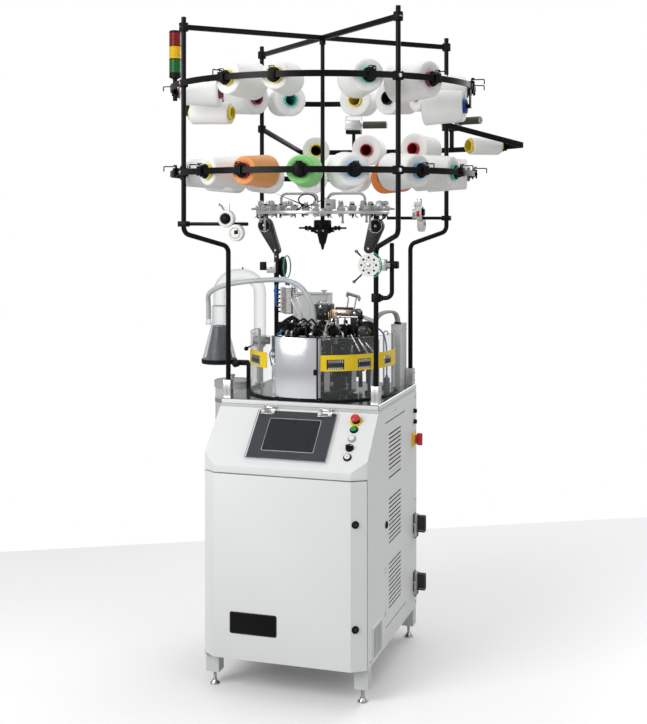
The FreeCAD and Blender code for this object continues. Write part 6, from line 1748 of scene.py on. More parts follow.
UPPER = (
    Package(250.5, Size.MEDIUM), Package(270.3, Size.SMALL),
    Package(304.1, Size.MEDIUM, core=Coat.CORE_TEAL), Package(331.3, Size.BIG, core=Coat.CORE_PURPLE),
    Package(0.0, Size.MEDIUM, core=Coat.CORE_BLUE, drop=75.0), Package(
        20.0, Size.MEDIUM, Coat.YARN_IVORY, Coat.CORE_BLACK),
    Package(40.4, Size.MEDIUM, core=Coat.CORE_PURPLE), Package(66.0, Size.MEDIUM, core=Coat.CORE_BLACK),
    Package(88.0, Size.MEDIUM), Package(127.0, Size.MEDIUM, core=Coat.CORE_TEAL),
    Package(150.0, Size.MEDIUM, core=Coat.CORE_PURPLE), Package(
        178.0, Size.CONE, Coat.YARN_IVORY, Coat.CORE_YELLOW, 75.0),
    Package(191.0, Size.SMALL, core=Coat.CORE_PURPLE),
)
LOWER = (
    Package(219.8, Size.SMALL, core=Coat.CORE_RED), Package(239.7, Size.SMALL),
    Package(257.8, Size.SMALL, Coat.YARN_ORANGE, Coat.CORE_RED), Package(
        279.6, Size.SMALL, Coat.YARN_GREEN, Coat.CORE_BLACK),
    Package(298.7, Size.MEDIUM, core=Coat.CORE_SKY), Package(325.3, Size.MEDIUM, core=Coat.CORE_SKY),
    Package(347.0, Size.MEDIUM, Coat.YARN_IVORY, Coat.CORE_TEAL), Package(
        12.0, Size.MEDIUM, core=Coat.CORE_BROWN),
    Package(69.0, Size.MEDIUM, Coat.YARN_RUST, Coat.CORE_BROWN), Package(
        91.0, Size.MEDIUM, core=Coat.CORE_BROWN),
    Package(114.0, Size.MEDIUM, core=Coat.CORE_BROWN), Package(139.8, Size.MEDIUM, core=Coat.CORE_RED),
    Package(165.0, Size.MEDIUM, Coat.YARN_IVORY, Coat.CORE_BLUE),
)
REAR = (
    Package(110.0, Size.SMALL), Package(91.0, Size.MEDIUM, core=Coat.CORE_RED),
    Package(72.0, Size.MEDIUM, core=Coat.CORE_RED), Package(
        45.0, Size.BOBBIN, Coat.YARN_IVORY, Coat.CORE_YELLOW),
)


@dataclass
class Creel:
    """Four bent poles, two rings of yarn packages, a rear arc and the signal tower."""

    socket: tuple[float, float] = (282.0, 262.0)
    top: tuple[float, float] = (398.0, 403.0)
    pole_r: float = 9.0
    knee: tuple[float, float] = (1556.0, 1606.0)
    pole_top: float = 2387.0
    cross_z: float = 2350.0
    ring_z: tuple[float, float] = (2148.0, 1826.0)
    hook_out: float = 42.0  # how far the yarn hooks reach past their ring
    hook_limit: tuple[float, float] = (588.0, 875.0)  # how far they may reach to the front and to the back
    bar_h: float = 22.0
    bar_t: float = 5.0
    rear_r: float = 845.0
    rear_z: float = 1954.0
    rear_span: tuple[float, float] = (35.0, 114.0)
    core_r: float = 28.0
    core_wall: float = 3.0
    core_back: float = 18.0
    core_show: float = 9.0
    tower_x: float = -616.0
    tower_base: float = 2217.0
    tower_parts: tuple[float, ...] = (20.0, 56.0, 52.0, 55.0)
    roller_z: float = 2077.0

    @property
    def ring_in(self) -> float:
        """Inner radius of both rings, just outside the poles."""
        return math.hypot(*self.top) + self.pole_r + 0.3

    @property
    def ring_flats(self) -> tuple[float, float]:
        """How near the flats of the 40-sided packed rings come to the knitting axis, inside and outside."""
        flat = math.cos(math.pi / 40)
        return self.ring_in * flat, (self.ring_in + self.bar_t) * flat

    @property
    def core_flat(self) -> float:
        """How near the flats of a six-sided packed core come to its axis."""
        return self.core_r * math.cos(math.pi / 6)

    def build(self, shop: Workshop) -> None:
        """Makes the poles, cross, rings, rear arc, packages, tower and roller drives.

        Args:
            shop: the recipes in hand.
        """
        self.poles()
        self.cross()
        for z, name in zip(self.ring_z, ("upper", "lower")):
            self.ring(z, "creel_ring_" + name)
        self.rear_arc()
        holders, cores, yarns = Mould(), Mould(), Mould()
        seed = 1
        for ring_in, z, packages in ((self.ring_in, self.ring_z[0], UPPER),
                                     (self.ring_in, self.ring_z[1], LOWER), (self.rear_r, self.rear_z, REAR)):
            for package in packages:
                self.package(shop, holders, yarns, cores, package, ring_in, z, seed)
                seed += 1
        holders.cast("package_pegs", ROOT, ["package_holders"])
        yarns.cast("yarn_packages_wound", ROOT, ["yarn_packages"], math.radians(60))
        cores.cast("package_cores_moulded", ROOT, ["package_cores"])
        self.tower()
        self.roller_drives()

    def poles(self) -> None:
        """Black tubes with two bends each and a moulded cap."""
        mould = Mould()
        for sx, sy in CORNERS:
            foot = (sx * self.socket[0], sy * self.socket[1])
            head = (sx * self.top[0], sy * self.top[1])
            mould.use(Coat.BLACK)
            mould.pipe([(*foot, 1005), (*foot, self.knee[0]), (*head, self.knee[1]),
                        (*head, self.pole_top - 4)], self.pole_r, 30, 24, 9)
            mould.use(Coat.BLACK_MATT)
            mould.turn([(self.pole_r, self.pole_top - 4.2), (self.pole_r, self.pole_top - 1.5),
                        (self.pole_r - 1.5, self.pole_top), (0, self.pole_top)], (*head, 0), steps=24)
        mould.cast("creel_poles_bent", ROOT, ["creel_poles"])

    def bar(self, mould: Mould, start: Vector, end: Vector, width: float, height: float,
            edge: float = 1.0) -> None:
        """Adds a flat bar between two points, its height upright.

        Args:
            mould: the mould that takes the faces.
            start: the middle of its first end.
            end: the middle of its last end.
            width: its width.
            height: its height.
            edge: radius of its edges.
        """
        along = end - start
        side = along.cross(Z_AXIS).normalized() * (width / 2)
        up = side.cross(along).normalized() * (height / 2)
        points = [p + s + u for p in (start, end)
                  for s, u in ((side, up), (-side, up), (-side, -up), (side, -up))]
        mould.faces(points, [(0, 1, 2, 3), (4, 5, 6, 7), (0, 1, 5, 4), (1, 2, 6, 5), (2, 3, 7, 6),
                             (3, 0, 4, 7)], edge)

    def clamp(self, mould: Mould, place: Point, height: float = 30.0) -> None:
        """Adds a split collar round a pole with its screw.

        Args:
            mould: the mould that takes the faces.
            place: its middle.
            height: its height.
        """
        x, y, z = place
        mould.use(Coat.BLACK_MATT)
        mould.turn([(self.pole_r + 0.1, z - height / 2), (16.4, z - height / 2), (17, z - height / 2 + 1.2),
                    (17, z + height / 2 - 1.2), (16.4, z + height / 2), (self.pole_r + 0.1, z + height / 2)],
                   (x, y, 0), steps=32, hollow=True)
        mould.use(Coat.BRIGHT)
        out = Vector((x, y, 0)).normalized()
        mould.screw(Vector((x, y, z)) + out * 14.5, out, 4, 2.4)

    def cross(self) -> None:
        """Welded cross of two bars, its collars, and the centre pole."""
        mould = Mould().use(Coat.BLACK)
        for sx in (1, -1):
            end = Vector((sx * self.top[0], self.top[1], self.cross_z))
            reach = 1.0 - 10.0 / end.xy.length
            start = Vector((-end.x * reach, -end.y * reach, self.cross_z))
            self.bar(mould, start, Vector((end.x * reach, end.y * reach, self.cross_z)), 18.0, 18.0, 1.6)
        mould.rod(8, (0, 0, 1653), (0, 0, self.cross_z), 24)
        mould.turn([(12, self.cross_z - 26), (12, self.cross_z - 9)], steps=24, edge=1)
        for sx, sy in CORNERS:
            self.clamp(mould, (sx * self.top[0], sy * self.top[1], self.cross_z))
        mould.cast("centre_frame_welded", ROOT, ["centre_frame"])

    def ring(self, z: float, node: str) -> None:
        """One rolled flat ring with its saddles, bolts and joint plate.

        Args:
            z: its height.
            node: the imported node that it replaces.
        """
        mould = Mould().use(Coat.BLACK)
        half = self.bar_h / 2
        inner, outer = self.ring_flats
        mould.turn([(inner, z - half + 0.8), (inner + 0.8, z - half), (outer - 0.8, z - half),
                    (outer, z - half + 0.8), (outer, z + half - 0.8), (outer - 0.8, z + half),
                    (inner + 0.8, z + half), (inner, z + half - 0.8)], steps=200, hollow=True)
        for sx, sy in CORNERS:
            pole = Vector((sx * self.top[0], sy * self.top[1], z))
            reach = pole.xy.length
            mould.put(turned(math.degrees(math.atan2(pole.y, pole.x)), (0.0, 0.0, z))).use(Coat.BLACK_MATT)
            for y0, y1 in ((-17.0, -9.2), (9.2, 17.0)):
                mould.block((reach - 11, inner + 1.5), (y0, y1), (-15, 15), 1.5)
            mould.block((reach - 11, reach - 9.3), (-9.4, 9.4), (-15, 15), 0.5)
            mould.use(Coat.BRIGHT)
            mould.turn([(6.5, 0), (6.5, 1.2), (5, 1.2), (5, 4.4), (4.4, 5), (2.5, 5), (2.5, 2.2), (0, 2.2)],
                       (outer, 0, 0), X_AXIS, 20)
        for azimuth in (15.0, 195.0):
            mould.put(turned(azimuth, (0.0, 0.0, z))).use(Coat.BLACK)
            mould.block((outer - 0.4, outer + 2.5), (-26, 26), (-9, 9), 0.8)
            mould.use(Coat.STEEL)
            for y in (-18.0, -7.0, 7.0, 18.0):
                mould.screw((outer + 2.5, y, 0), X_AXIS, 2.6, 1.4)
        mould.cast(node + "_rolled", ROOT, [node])

    def rear_arc(self) -> None:
        """Rear arc with its two struts and collars."""
        mould = Mould().use(Coat.BLACK)
        half = self.bar_h / 2
        mould.wall((self.rear_r, self.rear_r + self.bar_t), (self.rear_z - half, self.rear_z + half),
                   self.rear_span, 1.5, 0.7)
        for sx, azimuth in ((1, self.rear_span[0]), (-1, self.rear_span[1])):
            pole = Vector((sx * self.top[0], self.top[1], 2036))
            tip = on_circle(self.rear_r + self.bar_t / 2, azimuth, self.rear_z)
            run = (tip - pole).normalized()
            mould.use(Coat.BLACK)
            self.bar(mould, pole + run * 12.0, tip, 8.0, self.bar_h, 1.0)
            self.clamp(mould, pole)
            mould.use(Coat.BRIGHT)
            out = on_circle(1, azimuth)
            mould.screw(tip - run * 12 + Vector((0, 0, 4)) + out * 2, out, 4, 3)
        mould.cast("rear_ring_rolled", ROOT, ["rear_ring"])

    def package(self, shop: Workshop, holders: Mould, yarns: Mould, cores: Mould, package: Package,
                ring_in: float,
                z: float, seed: int) -> None:
        """One peg with its core and yarn, drawn at azimuth 0 and turned to its place.

        Args:
            shop: the recipes.
            holders: mould of the pegs.
            yarns: mould of the yarn.
            cores: mould of the cores.
            package: what it carries.
            ring_in: inner radius of its ring.
            z: the ring's height.
            seed: seed of the yarn's unevenness.
        """
        outer_r, inner_r, length = package.size.value
        core_out = ring_in - self.core_back
        place = turned(package.azimuth, (0.0, 0.0, z - package.drop))
        self.peg(holders, turned(package.azimuth, (0.0, 0.0, z)), ring_in, core_out, package.drop)
        cores.put(place).use(package.core)
        core_length = length + 2 * self.core_show
        start = core_out - core_length
        rim = self.core_flat + 2.0
        cores.turn([(rim - self.core_wall, 0), (rim + 0.6, 0), (rim + 1.2, 0.8), (rim + 1.2, 3), (rim, 4),
                    (rim, core_length - 4), (rim + 1.2, core_length - 3), (rim + 1.2, core_length - 0.8),
                    (rim + 0.6, core_length), (rim - self.core_wall, core_length)], (start, 0, 0),
                   X_AXIS, 36, True)
        coat = package.yarn.material()
        flat = math.cos(math.pi / 10)
        mesh = shop.package.run(Outer_Radius=outer_r * flat + 1.4, Inner_Radius=inner_r * flat + 1.4,
                                Core_Radius=rim + 0.3, Length=length, Seed=float(seed), Material=coat)
        yarns.put(place @ Matrix.Translation((core_out - self.core_show, 0.0, 0.0))).use(package.yarn)
        yarns.take(mesh)

    def peg(self, mould: Mould, place: Matrix, ring_in: float, core_out: float, drop: float) -> None:
        """The peg that clips on the ring: clip, plug, wire loop, wing plate and the yarn's long hook.

        Args:
            mould: mould of the pegs.
            place: the ring's placement at this azimuth.
            ring_in: inner radius of the ring.
            core_out: outer end of the core.
            drop: how far the core hangs below the ring.
        """
        half = self.bar_h / 2
        outside = ring_in + self.bar_t
        mould.put(place).use(Coat.BLACK_MATT)
        mould.block((outside + 0.3, outside + 6.3), (-12, 12), (-half - 5, half + 6), 1.2)
        mould.block((ring_in - 4.5, outside + 4), (-12, 12), (half + 0.4, half + 6), 1.2)
        low = -drop if drop else -half
        mould.block((ring_in - 8, ring_in - 2.6), (-12, 12), (low - 8, half + 6), 1.2)
        mould.put(place @ Matrix.Translation((0.0, 0.0, -drop)))
        mould.turn([(7.5, core_out - ring_in + 1), (7.5, -6)], (ring_in, 0, 0), X_AXIS, 24)
        grip = self.core_flat - 1.6
        mould.turn([(8, -19.5), (grip - 1.6, -19.5), (grip, -16), (grip, -1.6), (grip + 3.2, -1.2),
                    (grip + 3.2, 1.2), (grip, 2), (9, 5), (7, 9), (0, 9)], (core_out, 0, 0), X_AXIS, 32)
        mould.put(place)
        mould.pipe([(outside - 4, -9, half + 5), (outside - 4, -9, half + 16), (outside + 4.4, -9, half + 16),
                    (outside + 4.4, 9, half + 16), (outside - 4, 9, half + 16), (outside - 4, 9, half + 5)],
                   1.8, 4, 8, 3)
        backward = place.col[0].y
        reach = outside + self.hook_out
        if abs(backward) > 0.1:
            front, back = self.hook_limit
            reach = min(reach, (back if backward > 0.0 else front) / abs(backward) - 2.0)
        mould.pipe([(outside - 5, 0, half + 5), (outside - 5, 0, half + 11), (reach, 0, half + 11),
                    (reach, 0, half - 7)], 2.2, 3, 8, 3)
        mould.slab(rounded(outside + 5, outside + 8, -7, 7, 1.4, 3), (-2.2, 2.2), 0.4)

    def tower(self) -> None:
        """Signal tower: stem, base, three ribbed lenses with black bands, and a cap."""
        mould = Mould().use(Coat.BLACK_MATT)
        place = (self.tower_x, 0.0, 0.0)
        base = self.tower_base
        mould.turn([(9, self.ring_z[0] - self.bar_h), (9, base - 6), (13, base - 3), (20, base),
                    (23.4, base + 1), (23.4, base + 19), (22.4, base + 20)], place, steps=48)
        z = base + self.tower_parts[0]
        for height, coat in zip(self.tower_parts[1:], (Coat.LAMP_GREEN, Coat.LAMP_YELLOW, Coat.LAMP_RED)):
            profile = [(22.0, z), (23.5, z + 0.6)]
            ribs = 9
            pitch = (height - 4.4) / ribs
            for i in range(ribs):
                low = z + 1.2 + i * pitch
                profile += [(23.5, low), (23.5, low + pitch * 0.62), (22.9, low + pitch * 0.78),
                            (22.9, low + pitch * 0.94)]
            profile += [(23.5, z + height - 3.2), (22.0, z + height - 3.0)]
            mould.use(coat).turn(profile, place, steps=48)
            mould.use(Coat.BLACK_MATT)
            mould.turn([(21, z + height - 3.4), (23.9, z + height - 3), (23.9, z + height - 0.2),
                        (21, z + height + 0.2)], place, steps=48)
            z += height
        mould.turn([(23.4, z - 0.4), (23.4, z + 1.5), (21, z + 4.4), (17, z + 5.9), (0, z + 6)],
                   place, steps=48)
        mould.use(Coat.BLACK).block(
            (self.tower_x, -self.ring_flats[1]), (-7, 7), (self.ring_z[0] - 10, self.ring_z[0] + 10), 1)
        mould.use(Coat.BRIGHT).screw((self.tower_x + 22, -7, self.ring_z[0]), -Y_AXIS, 3.4, 2)
        mould.cast("signal_tower_lamps", ROOT, ["signal_tower"])

    def roller_drives(self) -> None:
        """Two drive boxes on the rear arc, with their turning rolls."""
        boxes = Mould()
        middle = self.rear_r + self.bar_t / 2
        for azimuth, label in ((98.0, "left"), (66.0, "right")):
            place = turned(azimuth, (middle, 0.0, self.roller_z))
            boxes.put(place).use(Coat.GLASSY).block((-30, 30), (-35, 35), (20, 40), 2)
            boxes.use(Coat.CAST).block((-30, 30), (-35, 35), (-24, 20), 2)
            boxes.use(Coat.BLACK_MATT).block((-28, 28), (-33, 33), (-40, -23.8), 1.5)
            boxes.block((-7, 7), (-7, 7), (self.rear_z + 11 - self.roller_z, -39), 1)
            boxes.use(Coat.BRIGHT)
            for x in (-22.0, 22.0):
                for z in (-16.0, 12.0):
                    boxes.screw((x, 35, z), Y_AXIS, 3.6, 2.4)
            roll = Mould().put(turned(azimuth)).use(Coat.STEEL)
            base = (middle, -35.0, self.roller_z)
            out = -Y_AXIS
            roll.turn([(6, -20), (6, 116)], base, out, 24)
            roll.use(Coat.OLIVE)
            roll.turn([(6.2, 8), (15.6, 8), (16.3, 9), (16.3, 113), (15.6, 114), (6.2, 114)],
                      base, out, 40, True)
            roll.use(Coat.BRIGHT).turn([(15, 6), (15, 8.2)], base, out, 32)
            roll.turn([(15, 113.8), (15, 116)], base, out, 32)
            node = "drive_roller_" + label
            roll.cast(node + "_roll", node, [node])
        boxes.cast("roller_drive_boxes", ROOT, ["roller_drives"])


# ---------------------------------------------------------------- yarn guides
def eye_plate(upper: Point, lower: Point, inset: float = 0.0, steps: int = 12) -> list[Point]:
    """Outline round a large eye and a small one, joined by tangents.

    Args:
        upper: the large eye's place and radius.
        lower: the small eye's place and radius.
        inset: how far the outline is drawn in.
        steps: facets of each eye.

    Returns:
        The outline's corners.
    """
    (x0, z0, r0), (x1, z1, r1) = upper, lower
    heading = math.atan2(z1 - z0, x1 - x0)
    lean = math.acos((r0 - r1) / math.hypot(x1 - x0, z1 - z0))
    outline: list[Point] = []
    for x, z, r, start, span in (
            (x0, z0, r0, heading + lean, 2 * math.pi - 2 * lean), (x1, z1, r1, heading - lean, 2 * lean)):
        for i in range(steps + 1):
            angle = start + span * i / steps
            outline.append((x + (r - inset) * math.cos(angle), z + (r - inset) * math.sin(angle)))
    return outline


@dataclass
class YarnGuides:
    """Feeder ring with its tensioners, centre guide, tension arms and the feeders on the poles."""

    ring_z: float = 1676.0
    ring_r: float = 255.0
    ring_w: float = 30.0
    ring_t: float = 12.0
    guide: tuple[float, float, float] = (1653.0, 1600.0, 1539.0)
    left_knee: tuple[Point, Point] = ((-226.0, 1632.0, 29.0), (-180.0, 1536.0, 15.0))
    right_knee: tuple[Point, Point] = ((218.0, 1630.0, 29.0), (190.0, 1546.0, 19.0))
    pole: tuple[float, float] = (398.0, 403.0)
    bar_z: tuple[float, float] = (1640.0, 1659.0)
    bar_r: float = 6.5
    bar_end: float = 150.0
    feeder_r: float = 31.0
    feeder_t: float = 26.0
    feeder_step: tuple[float, float] = (37.0, -50.0)
    right_disc: Point = (268.0, -310.0, 1496.0)
    left_disc: Point = (-162.0, 14.0, 1471.0)
    disc_r: float = 40.0

    def build(self, shop: Workshop) -> None:
        """Makes the ring, the centre guide, the arms, the measuring feeders and the elastic feeders.

        Args:
            shop: the recipes in hand.
        """
        self.feeder_ring(shop)
        self.centre_guide()
        self.tension_arms()
        self.measuring_feeders(shop)
        self.elastic_feeders()

    def feeder_ring(self, shop: Workshop) -> None:
        """Ring on spokes with sixteen disc tensioners, small cones, handles and hanging rods.

        Args:
            shop: the recipes in hand.
        """
        low, high = self.ring_z, self.ring_z + self.ring_t
        rim, bore = self.ring_r, self.ring_r - self.ring_w
        mould = Mould().use(Coat.CAST)
        for inner, outer in ((bore, bore + 7.0), (rim - 9.0, rim)):
            mould.turn([(inner, low), (outer, low), (outer, high), (inner, high)], steps=96,
                       hollow=True, edge=0.8)
        mould.turn([(bore + 1, low), (rim - 1, low), (rim - 1, low + 3), (bore + 1, low + 3)],
                   steps=96, hollow=True)
        mould.turn([(8.1, low - 9), (22, low - 9), (23.4, low - 7.5), (23.4, low + 19), (22, low + 21),
                    (8.1, low + 21)], steps=40, hollow=True)
        spoke = Mould()
        for y0, y1 in ((-11.0, -7.5), (7.5, 11.0)):
            spoke.block((22, bore + 1), (y0, y1), (low, high), 0.6)
        spoke.block((22, bore + 1), (-8, 8), (low + 2, low + 5), 0)
        shop.repeat(mould, spoke, 4, turn=90.0)
        mould.use(Coat.GREY_METAL)
        self.tensioners(shop, mould, low, high)
        for side in (-1, 1):
            mould.use(Coat.GREY_METAL)
            mould.pipe([(side * 22, 0, high - 1), (side * 22, 0, high + 66), (side * 168, 0, high + 66),
                        (side * 168, 0, high - 1)], 5, 22, 14, 7)
            mould.use(Coat.CAST)
            for x in (22.0, 168.0):
                mould.turn([(8, high - 1), (8, high + 5)], (side * x, 0, 0), steps=24, edge=0.8)
        mould.use(Coat.GREY_METAL).block((22, 58), (-40, -14), (high + 6, high + 44), 3)
        mould.use(Coat.BLACK)
        loop = [Vector((-52 + 34 * math.cos(math.radians(a)), -34,
                        high + 42 + 22 * math.sin(math.radians(a)))) for a in range(-70, 262, 20)]
        mould.pipe([(-14, -14, high + 2)] + loop + [(-100, -20, high + 2)], 2.6, 8, 10, 4)
        self.hanging_rods(mould, low)
        mould.cast("feeder_ring_built", ROOT, ["feeder_ring"])

    def tensioners(self, shop: Workshop, mould: Mould, low: float, high: float) -> None:
        """Sixteen tensioners: a block, two discs on a stud, a wire eye and a small cone below.

        Args:
            shop: the recipes.
            mould: the ring's mould.
            low: the ring's low face.
            high: its high face.
        """
        pitch = 22.5
        body = Mould()
        body.block((226, 256), (-12, 12), (high - 1, high + 11), 1.4)
        body.block((232, 252), (-10, 10), (high + 10, high + 18), 1.2)
        body.block((236, 248), (-5, 5), (high + 17, high + 33), 1)
        body.block((230, 250), (-8, 8), (low - 7, low + 1), 1.2)
        body.rod(2.4, (226, 9, high + 14), (206, 11, high + 20), 8)
        body.turn([(4, 0), (4, 24)], (252, 0, high + 7), X_AXIS, 10)
        body.turn([(6.4, 0), (6.4, 5)], (228, 0, high + 5), X_AXIS, 10)
        shop.repeat(mould, body, 16, turn=pitch, first=pitch / 2)
        mould.use(Coat.CAST)
        discs = Mould()
        for y0 in (-7.0, 3.5):
            discs.turn([(10, y0 + 0.6), (12, y0), (12, y0 + 0.8), (4, y0 + 3.8)],
                       (242, 0, high + 26), Y_AXIS, 16)
        discs.turn([(2, -10.5), (2, 10.5)], (242, 0, high + 26), Y_AXIS, 8)
        discs.block((250, 258), (-9, 9), (high + 2, high + 16), 1)
        discs.turn([(5, 0), (6, 1), (6, 5), (2, 6)], (258, 0, high + 9), X_AXIS, 12)
        shop.repeat(mould, discs, 16, turn=pitch, first=pitch / 2)
        mould.use(Coat.GREY_METAL)
        brake = Mould()
        brake.block((228, 250), (-9, 9), (high, high + 20), 1.6)
        brake.turn([(8, 0), (9, 1), (9, 4), (5, 6)], (250, 0, high + 11), X_AXIS, 14)
        brake.rod(3, (238, 0, low - 16), (238, 0, low + 1), 10, 0.6)
        other = brake.copy()
        shop.repeat(mould, brake, 6, turn=pitch, first=135.0)
        shop.repeat(mould, other, 6, turn=pitch, first=-67.5)
        mould.use(Coat.BLACK_MATT)
        cone = Mould()
        cone.turn([(1.2, 0), (6.6, 12), (7.4, 14), (5, 15)], (240, 0, high + 10.5), Z_AXIS, 12)
        cone.turn([(4, 0), (4, 10)], (240, 0, low - 10), Z_AXIS, 10)
        cone.pipe([(250, 5, low), (250, 5, low - 9), (259, 12, low - 13)], 1.6, 3, 6, 3)
        shop.repeat(mould, cone, 16, turn=pitch, first=0.0)
        mould.use(Coat.STEEL)
        eye = Mould()
        eye.pipe([(252, 6, high + 8), (252, 6, high + 18), (262, 0, high + 22), (252, -6, high + 18),
                  (252, -6, high + 8)], 0.9, 3, 6, 3)
        shop.repeat(mould, eye, 16, turn=pitch, first=pitch / 2)

    def hanging_rods(self, mould: Mould, low: float) -> None:
        """Grey rods hung from the ring, each with a foot, beside the tension arms.

        Args:
            mould: the mould that takes the faces.
            low: the ring's low face.
        """
        mould.use(Coat.GREY_METAL)
        for azimuth, radius, length in ((196.0, 222.0, 66.0), (206.0, 240.0, 34.0), (340.0, 222.0, 62.0),
                                        (330.0, 240.0, 34.0), (88.0, 240.0, 40.0)):
            top = on_circle(radius, azimuth, low + 2)
            mould.rod(4.2, top - Vector((0, 0, length)), top, 14, 0.8)
            mould.rod(6, top - Vector((0, 0, length)), top - Vector((0, 0, length - 7)), 14, 0.8)

    def centre_guide(self) -> None:
        """Black guide on the centre pole: turned body, cone, two eyelet arms with balls and ribs."""
        top, waist, tip = self.guide
        mould = Mould().use(Coat.BLACK_MATT)
        mould.turn([(2.4, tip), (4, tip + 1.5), (9, tip + 22), (12, tip + 23), (20.5, waist - 2),
                    (22, waist)], steps=40)
        mould.turn([(22, waist), (30, waist + 2), (33, waist + 5), (33, waist + 20), (27, waist + 22),
                    (27, waist + 32), (33, waist + 34), (33, top - 4), (30, top), (9, top)], steps=48)
        for turn in range(0, 360, 45):
            mould.put(turned(turn + 10.0)).block((24, 33.6), (-3.6, 3.6), (waist + 6, top - 6), 1.2)
        mould.home()
        for side in (-1, 1):
            mould.use(Coat.BLACK_MATT)
            z = waist + 22.0
            mould.rod(4, (side * 30, 0, z), (side * 77, 0, z), 16, 0.6)
            mould.turn([(8, -4), (9, -3), (9, 3), (8, 4)], (side * 66, 0, z), X_AXIS, 20)
            mould.turn([(5, -16), (7.5, -14), (7.5, -5), (4.5, 2)], (side * 40, 0, z), Z_AXIS, 20)
            mould.turn([(5, z - 3.5), (9, z - 3.5), (9.6, z), (9, z + 3.5), (5, z + 3.5)], (side * 86, 0, 0),
                       steps=24, hollow=True)
            mould.ball(9, (side * 52, 0, z), 18)
            mould.use(Coat.BRASS if side < 0 else Coat.STEEL)
            mould.rod(1.4, (side * 52, 0, z), (side * 52, -22, z - 9), 10)
            mould.ball(3.4, (side * 52, -22, z - 9), 12)
        mould.use(Coat.BRIGHT)
        for turn in (250.0, 290.0):
            mould.screw(on_circle(32.6, turn, waist + 12), on_circle(1, turn), 3.6, 2.4)
        mould.cast("centre_guide_turned", ROOT, ["centre_guide_head"])

    def tension_arms(self) -> None:
        """Two dark castings with a raised rim, a round hub, ribs and the left column."""
        mould = Mould()
        for (upper, lower), facing_right in ((self.left_knee, False), (self.right_knee, True)):
            mould.put(FRONTWARD).use(Coat.CAST_DARK).slab(eye_plate(upper, lower), (3, 31), 2.4)
            mould.slab(eye_plate(upper, lower, 5), (30.5, 35), 1.6)
            x, z, radius = upper
            fifth = 1.257  # of a turn
            mould.use(Coat.BLACK_MATT)
            mould.turn([(radius - 7, 34), (radius - 8, 36.5), (11, 37), (9, 35.5), (0, 35.5)],
                       (x, z, 0), steps=36)
            for k in range(5):
                mould.turn([(3.2, 36), (3.2, 38)],
                           (x + 14.5 * math.cos(k * fifth), z + 14.5 * math.sin(k * fifth), 0),
                           steps=12, edge=0.4)
            mould.use(Coat.STEEL).turn([(5, 35), (5, 38.6), (4, 39.6), (0, 39.6)], (x, z, 0), steps=20)
            mould.turn([(radius - 4.6, 34.6), (radius - 3.4, 34.6), (radius - 3.4, 35.8),
                        (radius - 4.6, 35.8)], (x, z, 0), steps=40, hollow=True)
            mould.screw((lower[0], lower[1], 34.8), Z_AXIS, 4.5, 2.6)
            mould.home().use(Coat.BLACK_MATT).block((x - 9, x + 9), (-29, -11), (z + 18, self.ring_z), 1.6)
            side = 1 if facing_right else -1
            mould.pipe([(x + side * 20, -20, z + 24), (x + side * 34, -20, z + 32),
                        (x + side * 34, -20, z + 42)], 3, 5, 12, 4)
        lower = self.left_knee[1]
        mould.use(Coat.BLACK).block((lower[0] - 8, lower[0] + 8), (-28, -12), (1404, lower[1]), 1.4)
        mould.use(Coat.STEEL)
        for z in (1420.0, 1512.0):
            mould.screw((lower[0], -28, z), -Y_AXIS, 3.6, 2.2)
        mould.cast("tension_arms_cast", ROOT, ["tension_arms"])

    def measuring_feeders(self, shop: Workshop) -> None:
        """Side bars clamped to the poles, and their white two-disc feeders with toothed wheels.

        Args:
            shop: the recipes in hand.
        """
        mould = Mould()
        thick = self.feeder_t
        half = 17.0
        left = (-224.0, -self.pole[1] - self.bar_r - thick, self.bar_z[0] + 19.0)
        right = (300.0, self.pole[1], self.bar_z[1] + 24.0)
        for side, z, place, azimuth, node, mark in (
                (-1, self.bar_z[0], left, 0.0, "feeder_wheel_left", False),
                (1, self.bar_z[1], right, 90.0, "feeder_wheel_right", True)):
            x, y = side * self.pole[0], side * self.pole[1]
            mould.home().use(Coat.BLACK_MATT)
            for y0, y1 in ((-half, -9.15), (9.15, half)):
                mould.block((x - half, x + half), (y + y0, y + y1), (z - 10, z + 10), 1.4)
            mould.block((x - half, x - 9.15), (y - 9.2, y + 9.2), (z - 10, z + 10), 0.8)
            mould.block((x + 9.15, x + half), (y - 9.2, y + 9.2), (z - 10, z + 10), 0.8)
            mould.use(Coat.BLACK).rod(self.bar_r, (x - side * half, y, z), (side * self.bar_end, y, z), 20, 1)
            at = tilted(place, azimuth, "Z")
            self.feeder_shell(mould, at, thick, mark)
            self.feeder_wheel(shop, node, at)
        mould.cast("yarn_feeders_moulded", ROOT, ["yarn_feeders"])

